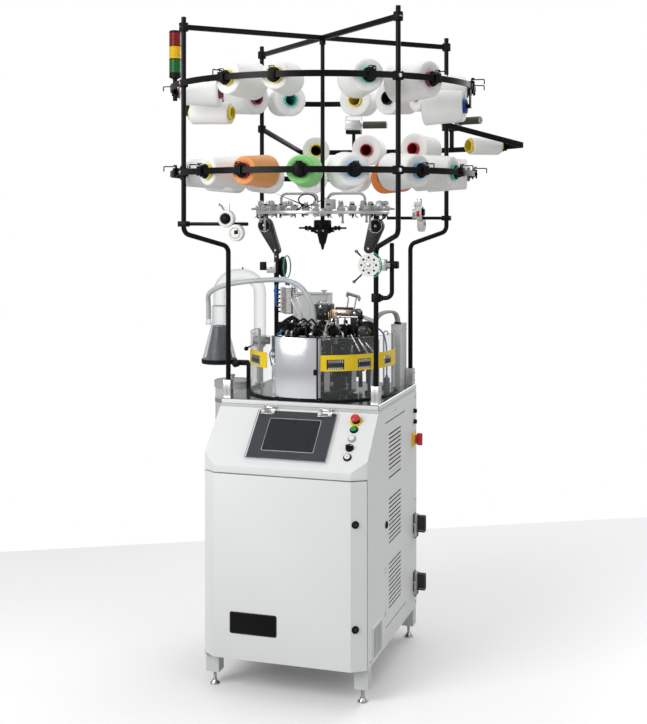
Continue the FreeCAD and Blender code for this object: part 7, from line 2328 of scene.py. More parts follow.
    def feeder_shell(self, mould: Mould, at: Matrix, thick: float, mark: bool) -> None:
        """One white feeder: two joined discs, a window, a nozzle above and the wheel's dark well.

        Args:
            mould: the feeders' mould.
            at: its placement, front face at local y 0.
            thick: its depth.
            mark: whether it bears the red sector.
        """
        back = at @ Matrix.Rotation(math.radians(-90), 4, "X")
        dx, dz = self.feeder_step
        mould.put(back).use(Coat.WHITE)
        for x, z, r in ((0.0, 0.0, self.feeder_r), (dx, dz, self.feeder_r - 1.0)):
            mould.turn([(4.2, 2.6), (20, 2.6), (22, 0.6), (r - 4, 0.2), (r - 1, 2), (r, 6), (r, thick - 3),
                        (r - 2, thick), (4.2, thick)], (x, -z, 0), steps=48, hollow=True)
        mould.turn([(20.5, 0.6), (20.5, 2.8), (0, 2.8)], (dx, -dz, 0), steps=36)
        mould.use(Coat.BLACK_MATT)
        mould.turn([(4.4, 2.5), (17.5, 2.5), (17.5, 1.4), (19.5, 1.2), (19.5, 3.2), (4.4, 3.2)],
                   steps=36, hollow=True)
        mould.slab([(dx - 3, -dz - 8), (dx + 11, -dz - 11), (dx + 12.5, -dz + 3), (dx - 1.5, -dz + 6)],
                   (-0.4, 1), 0.3)
        mould.use(Coat.GREY_METAL)
        mould.turn([(16.6, 0.2), (19.4, 0.2), (19.4, 0.9), (16.6, 0.9)], (dx, -dz, 0), steps=32, hollow=True)
        if mark:
            mould.use(Coat.RED).put(at)
            mould.block((-self.feeder_r - 0.8, -self.feeder_r + 5), (7, 19), (-18, 6), 0.8)
            mould.use(Coat.CAST).block((-14, 16), (thick, thick + 15), (-26, 26), 3)
            mould.turn([(20, 0), (22, 2), (22, 9), (17, 12), (0, 12)], (0, thick, 0), Y_AXIS, 32)
            mould.use(Coat.WHITE).block((-24, -6), (4, thick + 6), (26, 42), 2)
            mould.put(back)
        mould.put(at).use(Coat.CAST).block((-8, 8), (thick - 8, thick), (-6, self.feeder_r + 24), 1.2)
        mould.use(Coat.STEEL).pipe([(-6, 6, 28), (-14, 4, 44), (-22, 2, 50)], 3.2, 6, 12, 5)
        mould.ball(5, (-6, 6, 30), 14)
        mould.turn([(2, 0), (5, 1), (5, 3), (2, 4)], (-22, 2, 50), Vector((-0.9, 0, 0.4)).normalized(), 16)

    def feeder_wheel(self, shop: Workshop, node: str, at: Matrix) -> None:
        """The toothed yarn wheel: a hub with round pins between two thin plates.

        Args:
            shop: the recipes.
            node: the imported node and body.
            at: the feeder's placement.
        """
        wheel = Mould().put(at @ FRONTWARD).use(Coat.BLACK_MATT)
        wheel.turn([(4, -9), (4, 0.3), (9, 0.3), (9, 7.4), (6, 8), (0, 8)], steps=28)
        wheel.turn([(4, 0.3), (14.6, 0.3), (14.6, 1.2), (4, 1.2)], steps=36, hollow=True)
        pin = Mould()
        pin.turn([(2.2, 0.8), (2.2, 7.2), (1.6, 7.8)], (12.6, 0, 0), Z_AXIS, 10)
        shop.repeat(wheel, pin, 12, turn=30.0, first=15.0)
        wheel.cast(node + "_toothed", node, [node])

    def holed_disc(self, node: str, at: Matrix, coat: Coat) -> None:
        """One storage disc with two rows of dark holes and a hub shaft.

        Args:
            node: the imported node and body.
            at: its placement, face at local z 0 and shaft along z.
            coat: the disc's finish.
        """
        disc = Mould().put(at).use(coat)
        r = self.disc_r
        disc.turn([(0, 0.4), (9, 0.4), (10, 1.4), (14, 1.4), (15, 0.2), (r - 1, 0), (r, 1), (r, 7),
                   (r - 1, 8), (0, 8)], steps=56)
        disc.use(Coat.STEEL).turn([(4, 8), (4, 22)], steps=20)
        disc.turn([(5.5, -1.6), (6.5, -1), (6.5, 0.6), (0, 0.6)], steps=24)
        disc.use(Coat.SHADOW)
        for k in range(8):
            angle = 2 * math.pi * k / 8
            disc.turn([(4.2, -0.15), (4.2, 0.6)], (27 * math.cos(angle), 27 * math.sin(angle), 0), steps=18)
            angle += math.pi / 8
            disc.turn([(1.8, -0.1), (1.8, 0.8)],
                      (18.5 * math.cos(angle), 18.5 * math.sin(angle), 0), steps=12)
        disc.cast(node + "_holed", node, [node])

    def elastic_feeders(self) -> None:
        """Right feeder on its bent tube, left one on the column, and their two turning discs."""
        mould = Mould()
        self.right_elastic(mould)
        self.left_elastic(mould)
        mould.cast("elastic_feeders_built", ROOT, ["elastic_feeders"])
        self.holed_disc("elastic_disc_right", tilted(self.right_disc, -90, "X"), Coat.WHITE)
        self.holed_disc("elastic_disc_left", tilted(self.left_disc, -90, "Y"), Coat.BLACK_MATT)

    def right_elastic(self, mould: Mould) -> None:
        """The right feeder's motor, its tube on the pole, guard ring and thread eyes.

        Args:
            mould: the mould that takes the faces.
        """
        x, y, z = self.right_disc
        back = y + 8.3
        mould.use(Coat.CAST).block((x - 10, x + 40), (back, back + 30), (z - 18, z + 18), 2)
        mould.block((x + 38, x + 60), (back - 2, back + 27), (z - 20, z + 20), 2)
        mould.block((x + 30, 340), (back + 10, -256), (z - 8, z + 8), 1.6)
        mould.use(Coat.BLACK_MATT).block((326, 364), (-277, -250), (z - 13, z + 13), 2.4)
        mould.block((352, 360), (-281, -276), (z - 9, z + 9), 1)
        mould.use(Coat.BLACK).pipe([(292, -262, 1378), (340, -262, 1378), (340, -262, 1572)], 8, 24, 20, 8)
        mould.turn([(6.5, 1571.8), (6.5, 1573.5)], (340, -262, 0), steps=20)
        mould.use(Coat.BLACK_MATT)
        mould.turn([(9.15, 1363), (16, 1363), (17, 1364.5), (17, 1391.5), (16, 1393), (9.15, 1393)],
                   (282, -262, 0), steps=32, hollow=True)
        mould.turn([(9, 0), (11, 1.5), (11, 8), (9, 9.5)], (298, -262, 1378), X_AXIS, 24)
        mould.use(Coat.TEAL).put(Matrix.Translation((x, back - 0.2, z)) @ FRONTWARD)
        arc = [Vector((46 * math.cos(math.radians(a)), 46 * math.sin(math.radians(a)), 2))
               for a in range(-70, 71, 10)]
        mould.pipe(arc, 2.4, 4, 8, 3)
        mould.home().use(Coat.BLACK_MATT)
        for dx, dz, ex, ez in ((-34.0, 34.0, -48.0, 48.0), (-30.0, -36.0, -56.0, -60.0)):
            mould.rod(3, (x + dx, back + 2, z + dz), (x + ex, back + 2, z + ez), 12, 0.5)
            mould.turn([(3.4, -4), (5.6, -3), (5.6, 3), (3.4, 4)], (x + ex, back + 2, z + ez),
                       Y_AXIS, 16, True)
            mould.rod(2, (x, back + 4, z), (x + dx, back + 2, z + dz), 10)

    def left_elastic(self, mould: Mould) -> None:
        """The left feeder's motors, cover, guard ring and screw on the column.

        Args:
            mould: the mould that takes the faces.
        """
        x, y, z = self.left_disc
        face = x - 8.3
        mould.use(Coat.CAST_DARK).block((face - 54, face - 30), (-8, 28), (z - 16, z + 16), 2)
        mould.use(Coat.CAST).block((face - 30, face), (-12, y + 18), (z - 20, z + 20), 2.4)
        mould.block((face - 42, face - 4), (-46, -28.5), (z - 22, z + 22), 2.4)
        mould.use(Coat.STEEL).screw((face - 23, -46, z), -Y_AXIS, 4.4, 2.4)
        mould.use(Coat.BLACK_MATT).block((face - 72, face - 46), (-40, -14), (z - 12, z + 20), 2.4)
        mould.block((face - 2, face + 4), (-40, -8), (z - 30, z + 34), 1.6)
        mould.block((face + 8.5, face + 16), (-22, 2), (z - 34, z + 30), 2)
        mould.turn([(5, 0), (6.5, 1), (6.5, 3)], (face - 14, -12, z), -Y_AXIS, 20)
        mould.use(Coat.TEAL)
        arc = [Vector((face + 21, y + 43 * math.cos(math.radians(a)), z + 43 * math.sin(math.radians(a))))
               for a in range(-75, 256, 15)]
        mould.pipe(arc, 2.4, 4, 8, 3)


# ---------------------------------------------------------------- guard
@dataclass
class Guard:
    """Clear curved guard with its yellow band, posts, black base ring and sliding metal door."""

    radius: float = 273.0
    thick: float = 3.0
    foot: float = TABLE_Z
    height: float = 229.0
    base_h: float = 6.0
    left: tuple[float, float] = (172.5, 249.0)
    right: tuple[float, float] = (285.0, 380.0)
    door_r: float = 281.0
    door_span: tuple[float, float] = (250.0, 283.0)
    band_z: tuple[float, float] = (1109.0, 1167.0)
    pieces: tuple[tuple[float, float], ...] = ((205.0, 240.0), (286.0, 378.0))
    windows: tuple[tuple[float, float], ...] = (
        (213.0, 231.0), (290.5, 304.0), (315.0, 327.0), (343.0, 354.0))

    def build(self, shop: Workshop) -> None:
        """Makes the clear walls, the posts and ring, the band with its finger levers, and the door.

        Args:
            shop: the recipes in hand.
        """
        low, high = self.foot + self.base_h, self.foot + self.height
        inner, outer = self.radius, self.radius + self.thick
        walls = Mould()
        for start, end in (self.left, self.right):
            walls.use(Coat.CLEAR).wall((inner, outer), (low, high), (start, end), 2.5)
            walls.use(Coat.CLEAR_EDGE)
            walls.wall((inner - 0.2, outer + 0.2), (high - 1.2, high + 0.1), (start, end), 2.5)
            for azimuth in (start, end - 0.5):
                walls.wall((inner - 0.2, outer + 0.2), (low, high), (azimuth, azimuth + 0.5), 0.25)
        walls.cast("guard_walls_clear", ROOT, ["guard_cylinder"])
        frame_work = Mould().use(Coat.BLACK_MATT)
        frame_work.wall((268, 288), (self.foot, low), (self.left[0], self.right[1]), 2.5, 0.8)
        for azimuth in (self.left[0] + 1.0, self.right[0], self.right[1] - 1.0):
            place = on_circle(self.radius - 2, azimuth)
            frame_work.use(Coat.ALUMINIUM)
            frame_work.turn([(5.2, low), (5.2, high - 4), (4.4, high - 3)], place, steps=24)
            frame_work.use(Coat.BLACK_MATT)
            frame_work.turn([(8.4, low), (8.4, low + 3), (5.6, low + 7)], place, steps=24)
        frame_work.use(Coat.STEEL)
        for azimuth in range(180, 376, 15):
            frame_work.screw(on_circle(284.5, azimuth, low), Z_AXIS, 2.4, 1.4)
        frame_work.cast("guard_posts_and_ring", ROOT, ["guard_cylinder"])
        self.band(shop, outer)
        self.door()

    def band(self, shop: Workshop, inner: float) -> None:
        """Yellow band in strips round its windows, with a row of finger levers in each window.

        Args:
            shop: the recipes in hand.
            inner: its inner radius.
        """
        band, levers = Mould().use(Coat.BAND), Mould()
        low, high = self.band_z
        for start, end in self.pieces:
            at = start
            for first, last in [w for w in self.windows if start <= w[0] <= end] + [(end, end)]:
                band.wall((inner, inner + 2), (low, high), (at, first), 2)
                if last > first:
                    band.wall((inner, inner + 2), (low, low + 6), (first, last), 2)
                    band.wall((inner, inner + 2), (high - 16, high), (first, last), 2)
                    self.fingers(shop, levers, first, last, low, high, inner)
                at = last
        band.cast("guard_band_yellow", ROOT, ["guard_band"])
        levers.cast("finger_levers", ROOT)

    def fingers(self, shop: Workshop, levers: Mould, first: float, last: float, low: float, high: float,
                inner: float) -> None:
        """A row of slim levers with white tips in one window, in front of a dark holder.

        Args:
            shop: the recipes.
            levers: their mould.
            first: the window's first azimuth.
            last: its last azimuth.
            low: the band's low edge.
            high: the band's high edge.
            inner: the band's inner radius.
        """
        count = 7
        pitch = (last - first) / (count + 1)
        levers.home().use(Coat.CAST_DARK)
        levers.wall((inner - 9, inner - 4), (low + 18, high - 14), (first + 0.8, last - 0.8), 3)
        levers.use(Coat.STEEL)
        slim = Mould()
        slim.block((inner - 5, inner + 3), (-2.2, 2.2), (low + 12, high - 18), 0.6)
        shop.repeat(levers, slim, count, turn=pitch, first=first + pitch)
        levers.use(Coat.CAST_DARK)
        face = Mould()
        face.block((inner + 2.6, inner + 3.6), (-1.8, 1.8), (low + 14, high - 28), 0.2)
        shop.repeat(levers, face, count, turn=pitch, first=first + pitch)
        levers.use(Coat.WHITE)
        tip = Mould()
        tip.turn([(0.6, -6), (2.2, 0), (2, 3), (0, 4)], (inner + 0.6, 0, low + 9), Z_AXIS, 10)
        shop.repeat(levers, tip, count, turn=pitch, first=first + pitch)

    def door(self) -> None:
        """Bent satin sheet with folded edges, a grip and slide shoes."""
        low, high = self.foot + self.base_h + 0.3, self.foot + self.height
        start, end = self.door_span
        mould = Mould().use(Coat.DOOR)
        mould.wall((self.door_r, self.door_r + 2.5), (low, high), (start, end), 1, 0.6)
        mould.wall((self.door_r - 1, self.door_r + 3), (high - 5, high - 0.2),
                   (start + 0.4, end - 0.4), 1, 0.8)
        mould.use(Coat.BLACK_MATT)
        mould.wall((self.door_r + 0.2, self.door_r + 11), (low + 90, low + 110), (end - 2, end), 0.5, 1)
        mould.wall((self.door_r - 0.6, self.door_r + 3.4), (low, low + 5), (start + 0.3, end - 0.3), 1, 0.5)
        mould.cast("guard_door_satin", "guard_door", ["guard_door"], math.radians(30))


# ---------------------------------------------------------------- knitting head
@dataclass
class KnittingHead:
    """Needle cylinder, housing with cam blocks, dial, bridge, lever and the fine mechanism round them."""

    bore: float = 48.0
    barrel_r: float = 54.0
    trick_r: float = 57.0
    trick_z: tuple[float, float] = (1150.0, 1240.0)
    needles: int = 72
    sleeve: tuple[float, float] = (58.5, 984.0)
    flange_r: float = 110.0
    shell_r: float = 95.0
    shell_top: float = 1218.0
    block_z: tuple[float, float] = (1066.0, 1196.0)
    block_r: tuple[float, float] = (89.0, 165.0)
    block_w: float = 44.0
    pivot: tuple[float, float] = (135.0, 1300.0)
    lever_at: tuple[float, float, float] = (70.0, -65.0, 1290.0)
    dial_r: float = 50.0
    dial_z: float = 1243.0

    def build(self, shop: Workshop) -> None:
        """Makes the turning parts, the housing, the bridge, the lever and the mechanism on top.

        Args:
            shop: the recipes in hand.
        """
        self.needle_cylinder(shop)
        self.housing(shop)
        self.cam_blocks(shop)
        self.dial(shop)
        self.bridge()
        self.lever()
        self.top_gear(shop)
        self.fans()
        self.open_frames()
        self.selectors(shop)
        self.wires()

    def needle_cylinder(self, shop: Workshop) -> None:
        """Grooved barrel with a ring of latch needles and its toothed foot below the table.

        Args:
            shop: the recipes in hand.
        """
        mould = Mould().use(Coat.STEEL)
        top = self.trick_z[1]
        mould.turn([(self.bore, 950), (69, 950), (70, 951), (70, 973), (69, 974), (self.barrel_r, 974),
                    (self.barrel_r, 1040), (self.trick_r, 1040), (self.trick_r, self.trick_z[0]),
                    (self.barrel_r, self.trick_z[0] + 1), (self.barrel_r, top - 0.6),
                    (self.barrel_r - 0.6, top), (self.bore, top)], steps=72, hollow=True)
        pitch = 360.0 / self.needles
        groove = Mould()
        groove.block((self.barrel_r - 0.5, self.trick_r), (-0.7, 0.7), self.trick_z, 0)
        shop.repeat(mould, groove, self.needles, turn=pitch)
        mould.use(Coat.BRIGHT)
        needle = Mould()
        needle.block((self.trick_r - 2.2, self.trick_r - 0.6), (-0.5, 0.5),
                     (self.trick_z[0] + 10, top + 3), 0)
        needle.block((self.trick_r - 2.2, self.trick_r + 0.6), (-0.5, 0.5), (top + 2.4, top + 3.4), 0)
        shop.repeat(mould, needle, self.needles, turn=pitch, first=pitch / 2)
        mould.cast("needle_cylinder_grooved", "needle_cylinder", ["needle_cylinder"])

    def housing(self, shop: Workshop) -> None:
        """Sleeve, flange, dark shell, hinge column with its cheeks, lever post and suction nozzle.

        Args:
            shop: the recipes in hand.
        """
        inner, foot = self.sleeve
        shell, flange, top = self.shell_r, self.flange_r, self.shell_top
        mould = Mould().use(Coat.CAST_DARK)
        mould.turn([(inner, foot), (inner + 1.5, foot), (inner + 1.5, TABLE_Z), (flange - 1, TABLE_Z),
                    (flange, TABLE_Z + 1), (flange, TABLE_Z + 11), (flange - 1, TABLE_Z + 12),
                    (shell + 3, TABLE_Z + 12), (shell, TABLE_Z + 15), (shell, 1026), (shell - 2, 1027),
                    (shell - 2, 1029), (shell, 1030), (shell, 1046), (shell - 2, 1047), (shell - 2, 1049),
                    (shell, 1050), (shell, top - 2), (shell - 2, top), (inner, top)], steps=72, hollow=True)
        mould.use(Coat.COPPER).wall((shell - 0.4, shell + 1.4), (1031, 1045), (282, 312), 3, 0.4)
        mould.use(Coat.STEEL)
        screw = Mould()
        screw.screw((flange - 6.5, 0, TABLE_Z + 12), Z_AXIS, 3.4, 3)
        shop.repeat(mould, screw, 16, turn=22.5, first=11.25)
        x, z = self.pivot
        mould.use(Coat.CAST_DARK).block((x - 17, x + 17), (-22, 22), (1060, 1281), 2.5)
        mould.block((x - 46, x - 16), (-22, 22), self.block_z, 1.5)
        for side in (-1, 1):
            outline = [(x - 17.0, 1245.0), (x + 17.0, 1245.0), (x + 17.0, 1304.0), (x + 8.0, 1315.0),
                       (x - 8.0, 1315.0), (x - 17.0, 1304.0)]
            mould.put(FRONTWARD).slab(outline, (-27.3, -20.3) if side > 0 else (20.3, 27.3), 1.6)
            mould.home()
        mould.use(Coat.BRIGHT).rod(6, (x, -28.2, z), (x, 28.2, z), 24, 0.8)
        mould.use(Coat.STEEL)
        for dx in (-10.0, 10.0):
            mould.screw((x + dx, -27.3, 1256), -Y_AXIS, 3, 2.2)
        px, py, _ = self.lever_at
        mould.use(Coat.CAST).block((px - 12, px + 12), (py - 13, py + 13), (1188, 1282.7), 1.6)
        mould.use(Coat.BRIGHT).turn([(4, 1282), (4, 1299.7), (3.2, 1300.7)], (px, py, 0), steps=20)
        mould.use(Coat.ALUMINIUM)
        mould.turn([(12, 1214), (12, 1228), (14.5, 1229), (14.5, 1237), (12, 1238), (11.4, 1246), (9.8, 1246),
                    (9.8, 1214)], (-8, -78, 0), steps=32, hollow=True)
        mould.cast("head_housing_cast", ROOT, ["head_housing"])

    def cam_blocks(self, shop: Workshop) -> None:
        """Eight needle selector units round the shell: dark body, finned levers and bright face plates.

        Args:
            shop: the recipes in hand.
        """
        (near, far), (low, high) = self.block_r, self.block_z
        half = self.block_w / 2
        mould = Mould()
        for coat, forms in ((Coat.CAST_DARK,
                             [((near, far - 15.0), (-half, half), (low, high), 2.0),
                              ((far - 16.0, far - 5.0), (-half + 4.0, half - 4.0), (low + 8.0, high - 6.0),
                               1.2), ((near + 8.0, far - 24.0), (-half + 5.0, half - 5.0),
                                      (high - 1.0, high + 12.0), 1.5)]),
                            (Coat.STEEL, [((far - 17.0, far - 1.0), (-half + 2.0, -half + 5.0),
                                           (low + 14.0, high - 12.0), 0.4),
                                          ((far - 17.0, far - 1.0), (half - 5.0, half - 2.0),
                                           (low + 14.0, high - 12.0), 0.4),
                                          ((near + 14.0, far - 18.0), (-half - 1.2, half + 1.2),
                                           (high - 22.0, high - 9.0), 0.6)]),
                            (Coat.BRIGHT, [((far - 30.0, far - 22.0), (-half + 6.0, half - 6.0),
                                            (high + 10.0, high + 17.0), 1.0)])):
            unit = Mould()
            for x, y, z, edge in forms:
                unit.block(x, y, z, edge)
            mould.use(coat)
            shop.repeat(mould, unit, 8, turn=45.0, first=22.5)
        mould.use(Coat.STEEL)
        stack = Mould()
        for i in range(8):
            z = low + 20.0 + 11.0 * i
            stack.block((far - 8, far), (-half + 6.5, half - 6.5), (z, z + 2.2), 0.3)
            stack.screw((near + 40, -half, low + 16 + 13 * i), -Y_AXIS, 2.2, 1.5)
        shop.repeat(mould, stack, 8, turn=45.0, first=22.5)
        mould.use(Coat.BLACK_MATT)
        feet = Mould()
        feet.block((far - 26, far - 12), (-9, 9), (TABLE_Z + 12, low + 2), 1.2)
        feet.turn([(6.5, 0), (6.5, 12), (5, 13)], (far - 32, 0, high + 11), Z_AXIS, 16)
        shop.repeat(mould, feet, 8, turn=45.0, first=22.5)
        mould.cast("needle_selector_units", ROOT)

    def dial(self, shop: Workshop) -> None:
        """Dial plate with its comb of slots and the shaft into the gearbox.

        Args:
            shop: the recipes in hand.
        """
        r, z = self.dial_r, self.dial_z
        mould = Mould().use(Coat.STEEL)
        mould.turn([(0, z), (r - 1, z), (r, z + 1), (r, z + 8), (38, z + 8), (38, z + 11), (20, z + 14),
                    (14, z + 22), (9, z + 24), (9, z + 53), (0, z + 53)], steps=64)
        comb = Mould()
        comb.block((37, r - 0.2), (-0.9, 0.9), (z + 7.5, z + 12), 0.2)
        shop.repeat(mould, comb, 60, turn=6.0)
        mould.cast("dial_combed", "dial", ["dial"])

    def bridge(self) -> None:
        """Gearbox over the dial and its arm to the hinge, with a bright cap, screws and a rib."""
        x, z = self.pivot
        mould = Mould().use(Coat.CAST_DARK)
        outline = rounded(-34, 40, -34, 34, 12)
        mould.slab(outline, (1272, 1330), 2.5)
        mould.use(Coat.COPPER).block((39, x), (-20, 20), (1287, 1313), 2)
        mould.use(Coat.STEEL).block((56, 112), (-21.5, -19), (1293, 1307), 0.8)
        mould.use(Coat.CAST_DARK)
        mould.turn([(6.4, -19.8), (14, -19.8), (15, -18.8), (15, 18.8), (14, 19.8), (6.4, 19.8)], (x, 0, z),
                   Y_AXIS, 32, True)
        mould.slab([(52, -5), (122, -5), (122, 5), (52, 5)], (1312, 1321), 1.6)
        mould.use(Coat.STEEL).screw((84, -21.5, 1300), -Y_AXIS, 4.4, 3)
        mould.turn([(23, 1329.5), (23, 1336), (21, 1338), (14.5, 1338), (14, 1343), (12.6, 1344),
                    (0, 1344)], steps=40)
        for sx in (-26.0, 32.0):
            for sy in (-26.0, 26.0):
                mould.screw((sx, sy, 1329.5), Z_AXIS, 3.6, 3)
        mould.use(Coat.CAST_DARK).block((-22, 28), (-36.5, -33), (1280, 1312), 1.2)
        mould.use(Coat.BRIGHT)
        for sx in (-16.0, 3.0, 22.0):
            mould.screw((sx, -36.5, 1296), -Y_AXIS, 3.2, 2.2)
        mould.turn([(7, 0), (7, 5), (3, 6)], (3, -33.5, 1321), -Y_AXIS, 16)
        mould.cast("dial_bridge_cast", "dial_bridge", ["dial_bridge"])

    def lever(self) -> None:
        """Bright rod on a turned hub with a black ball."""
        px, py, z = self.lever_at
        mould = Mould().use(Coat.STEEL)
        mould.turn([(4.1, -7), (9, -7), (10, -6), (10, 6), (9, 7), (4.1, 7)], (px, py, z), Z_AXIS, 32, True)
        mould.rod(3.5, (px + 8, py, z), (166, py, z), 16)
        mould.rod(5, (px + 8, py, z), (px + 22, py, z), 16, 0.8)
        mould.use(Coat.BLACK).ball(9.5, (172, py, z), 28)
        mould.turn([(4.4, 0), (5.6, 4)], (159, py, z), X_AXIS, 20)
        mould.cast("head_lever_turned", "head_lever", ["head_lever"])

    def top_gear(self, shop: Workshop) -> None:
        """Bright cam ring on the housing with yarn fingers, slides and small blocks round its rim.

        Args:
            shop: the recipes in hand.
        """
        mould = Mould().use(Coat.STEEL)
        mould.turn([(60.5, 1218), (150, 1218), (151, 1219), (151, 1223), (150, 1224), (60.5, 1224)],
                   steps=72, hollow=True)
        mould.use(Coat.BRIGHT)
        slide = Mould()
        slide.block((104, 152), (-4, 4), (1224, 1231), 0.8)
        slide.block((108, 120), (-7, 7), (1224, 1240), 1)
        slide.rod(1.6, (110, 0, 1238), (64, 3, 1250), 8)
        shop.repeat(mould, slide, 12, turn=24.0, first=196.0, lean=0.02)
        mould.use(Coat.BLACK_MATT)
        block = Mould()
        block.block((92, 112), (-7.5, 7.5), (1224, 1247), 1.2)
        block.block((118, 132), (-5, 5), (1231, 1262), 1)
        shop.repeat(mould, block, 11, turn=24.0, first=208.0, lean=0.03, seed=5)
        self.crowd(shop, mould)
        mould.use(Coat.BRASS)
        bush = Mould()
        bush.turn([(4, 0), (4, 7), (2.4, 8)], (125, 0, 1261), Z_AXIS, 12)
        shop.repeat(mould, bush, 5, turn=48.0, first=208.0)
        mould.block((38, 68), (-50, -40), (1224, 1250), 1.2)
        for i in range(5):
            x = 41.0 + 6.0 * i
            mould.use(Coat.COPPER if i in (1, 4) else Coat.BRASS)
            mould.rod(2.2, (x, -45, 1249), (x + 1.5 * (i - 2), -45, 1306 + 5 * (i % 3)), 12, 0.6)
            mould.use(Coat.RED if i == 3 else Coat.STEEL).rod(3, (x, -45, 1249), (x, -45, 1262), 12, 0.5)
        mould.use(Coat.BRIGHT).turn([(15, 1224), (15, 1252), (13, 1255), (0, 1255)], (-92, -62, 0), steps=32)
        mould.turn([(12, 0), (12, 44), (9, 47), (0, 47)], (-58, -102, 1224), Z_AXIS, 28)
        mould.use(Coat.WHITE).block((-22, -2), (-112, -96), (1224, 1254), 2)
        mould.cast("head_top_gear", ROOT)

    def crowd(self, shop: Workshop, mould: Mould) -> None:
        """Dark plates, curved yarn arms, solenoids and bright links, packed round the rim.

        Args:
            shop: the recipes.
            mould: the gear's mould.
        """
        def ring_of(coat: Coat, part: Mould, count: int, first: float, turn: float, lean: float,
                    seed: int) -> None:
            """Repeats one part round the rim in a coat."""
            mould.use(coat)
            shop.repeat(mould, part, count, turn=turn, first=first, lean=lean, seed=seed)

        plate = Mould()
        plate.block((134, 166), (-2, 2), (1216, 1262), 0.6)
        plate.block((136, 150), (3, 9), (1220, 1250), 0.8)
        ring_of(Coat.BLACK_MATT, plate, 14, 178.0, 14.5, 0.10, 11)
        arm = Mould()
        arm.pipe([(158, 0, 1222), (154, 0, 1266), (120, 8, 1284), (88, 10, 1262)], 3.6, 12, 8, 4)
        arm.ball(6, (154, 0, 1262), 10)
        ring_of(Coat.BLACK_MATT, arm, 7, 186.0, 19.0, 0.08, 3)
        solenoid = Mould()
        solenoid.turn([(12, 0), (13, 1), (13, 34), (9, 36)], (132, 6, 1241), X_AXIS, 16)
        solenoid.block((128, 134), (-8, 20), (1224, 1256), 1)
        ring_of(Coat.BLACK, solenoid, 7, 196.0, 27.0, 0.05, 21)
        link = Mould()
        link.rod(2.2, (162, -8, 1226), (112, 6, 1262), 8)
        link.block((154, 170), (-12, -4), (1218, 1236), 1)
        link.turn([(6, 0), (6, 5), (3, 6)], (162, -8, 1236), Z_AXIS, 10)
        ring_of(Coat.BRIGHT, link, 9, 190.0, 21.0, 0.10, 31)
        inner = Mould()
        inner.block((70, 92), (-5, 5), (1222, 1258), 1)
        inner.rod(2.6, (80, 0, 1256), (66, 4, 1268), 8)
        ring_of(Coat.CAST_DARK, inner, 7, 184.0, 17.0, 0.06, 41)
        low = Mould()
        low.block((166, 184), (-10, 10), (1110, 1204), 1.4)
        low.block((184, 194), (-4, 4), (1150, 1212), 0.8)
        ring_of(Coat.BLACK_MATT, low, 9, 180.0, 23.0, 0.02, 51)
        knob = Mould()
        knob.turn([(7, 0), (8, 1), (8, 9), (5, 12)], (184, 4, 1136), X_AXIS, 12)
        knob.rod(2, (188, -6, 1120), (192, 6, 1190), 8)
        ring_of(Coat.BRIGHT, knob, 9, 183.0, 23.0, 0.04, 61)

    def fans(self) -> None:
        """Black fans of thin sinker blades: two at the left and one at the right."""
        mould = Mould()
        for centre, first, count, size, heading in (
                ((-118.0, -46.0, 1238.0), -60.0, 11, 46.0, 12.0),
                ((-146.0, 4.0, 1232.0), -40.0, 9, 38.0, -16.0), ((96.0, 66.0, 1236.0), -20.0, 9, 40.0, 40.0)):
            base = tilted(centre, heading, "Z")
            for k in range(count):
                mould.use(Coat.BLACK_MATT if k % 3 else Coat.CAST_DARK)
                mould.put(base @ Matrix.Rotation(math.radians(first + 15.0 * k), 4, "Y") @ FRONTWARD)
                mould.slab([(8, -4), (size - 8, -9), (size, -2), (size - 3, 5), (8, 4)],
                           (3.4 * k - 19, 3.4 * k - 16.6), 0.4, 1)
            mould.put(base @ FRONTWARD).use(Coat.STEEL)
            mould.turn([(7, -24), (9, -22), (9, 20), (6, 23), (0, 23)], steps=24)
        mould.cast("sinker_fans", ROOT)

    def open_frames(self) -> None:
        """Two lifted latch frames: a leaning pair of bars at the left and a raised plate at the right."""
        mould = Mould().use(Coat.CAST)
        pairs = (((-122.0, -14.0, 1352.0), (-84.0, -14.0, 1226.0)),
                 ((-104.0, -4.0, 1360.0), (-64.0, -4.0, 1226.0)))
        for top, foot in pairs:
            mould.rod(3.2, foot, top, 12, 0.8)
            mould.ball(4.4, top, 12)
        mould.rod(2.6, pairs[0][0], pairs[1][0], 12)
        mould.use(Coat.STEEL).rod(2.2, pairs[1][0], (-56, 12, 1374), 12, 0.5)
        mould.use(Coat.CAST_DARK).turn([(9, 0), (9, 22), (6, 24)], (-74, -20, 1240), Y_AXIS, 24)
        mould.use(Coat.GREY_METAL)
        for x0, x1 in ((64.0, 86.0), (94.0, 116.0)):
            mould.rod(3, (x0, 56, 1224), (x1, 62, 1352), 12, 0.6)
        mould.put(tilted((106, 62, 1362), 16, "Y") @ Matrix.Rotation(math.radians(-24), 4, "X"))
        mould.block((-27, 27), (-17, 17), (-2, 3), 1.2)
        mould.block((-27, -22), (-17, 17), (-12, 0), 1)
        mould.block((22, 27), (-17, 17), (-12, 0), 1)
        mould.home().use(Coat.BLACK_MATT).rod(4, (58, 56, 1298), (108, 60, 1298), 14, 0.8)
        mould.cast("open_latch_frames", ROOT)

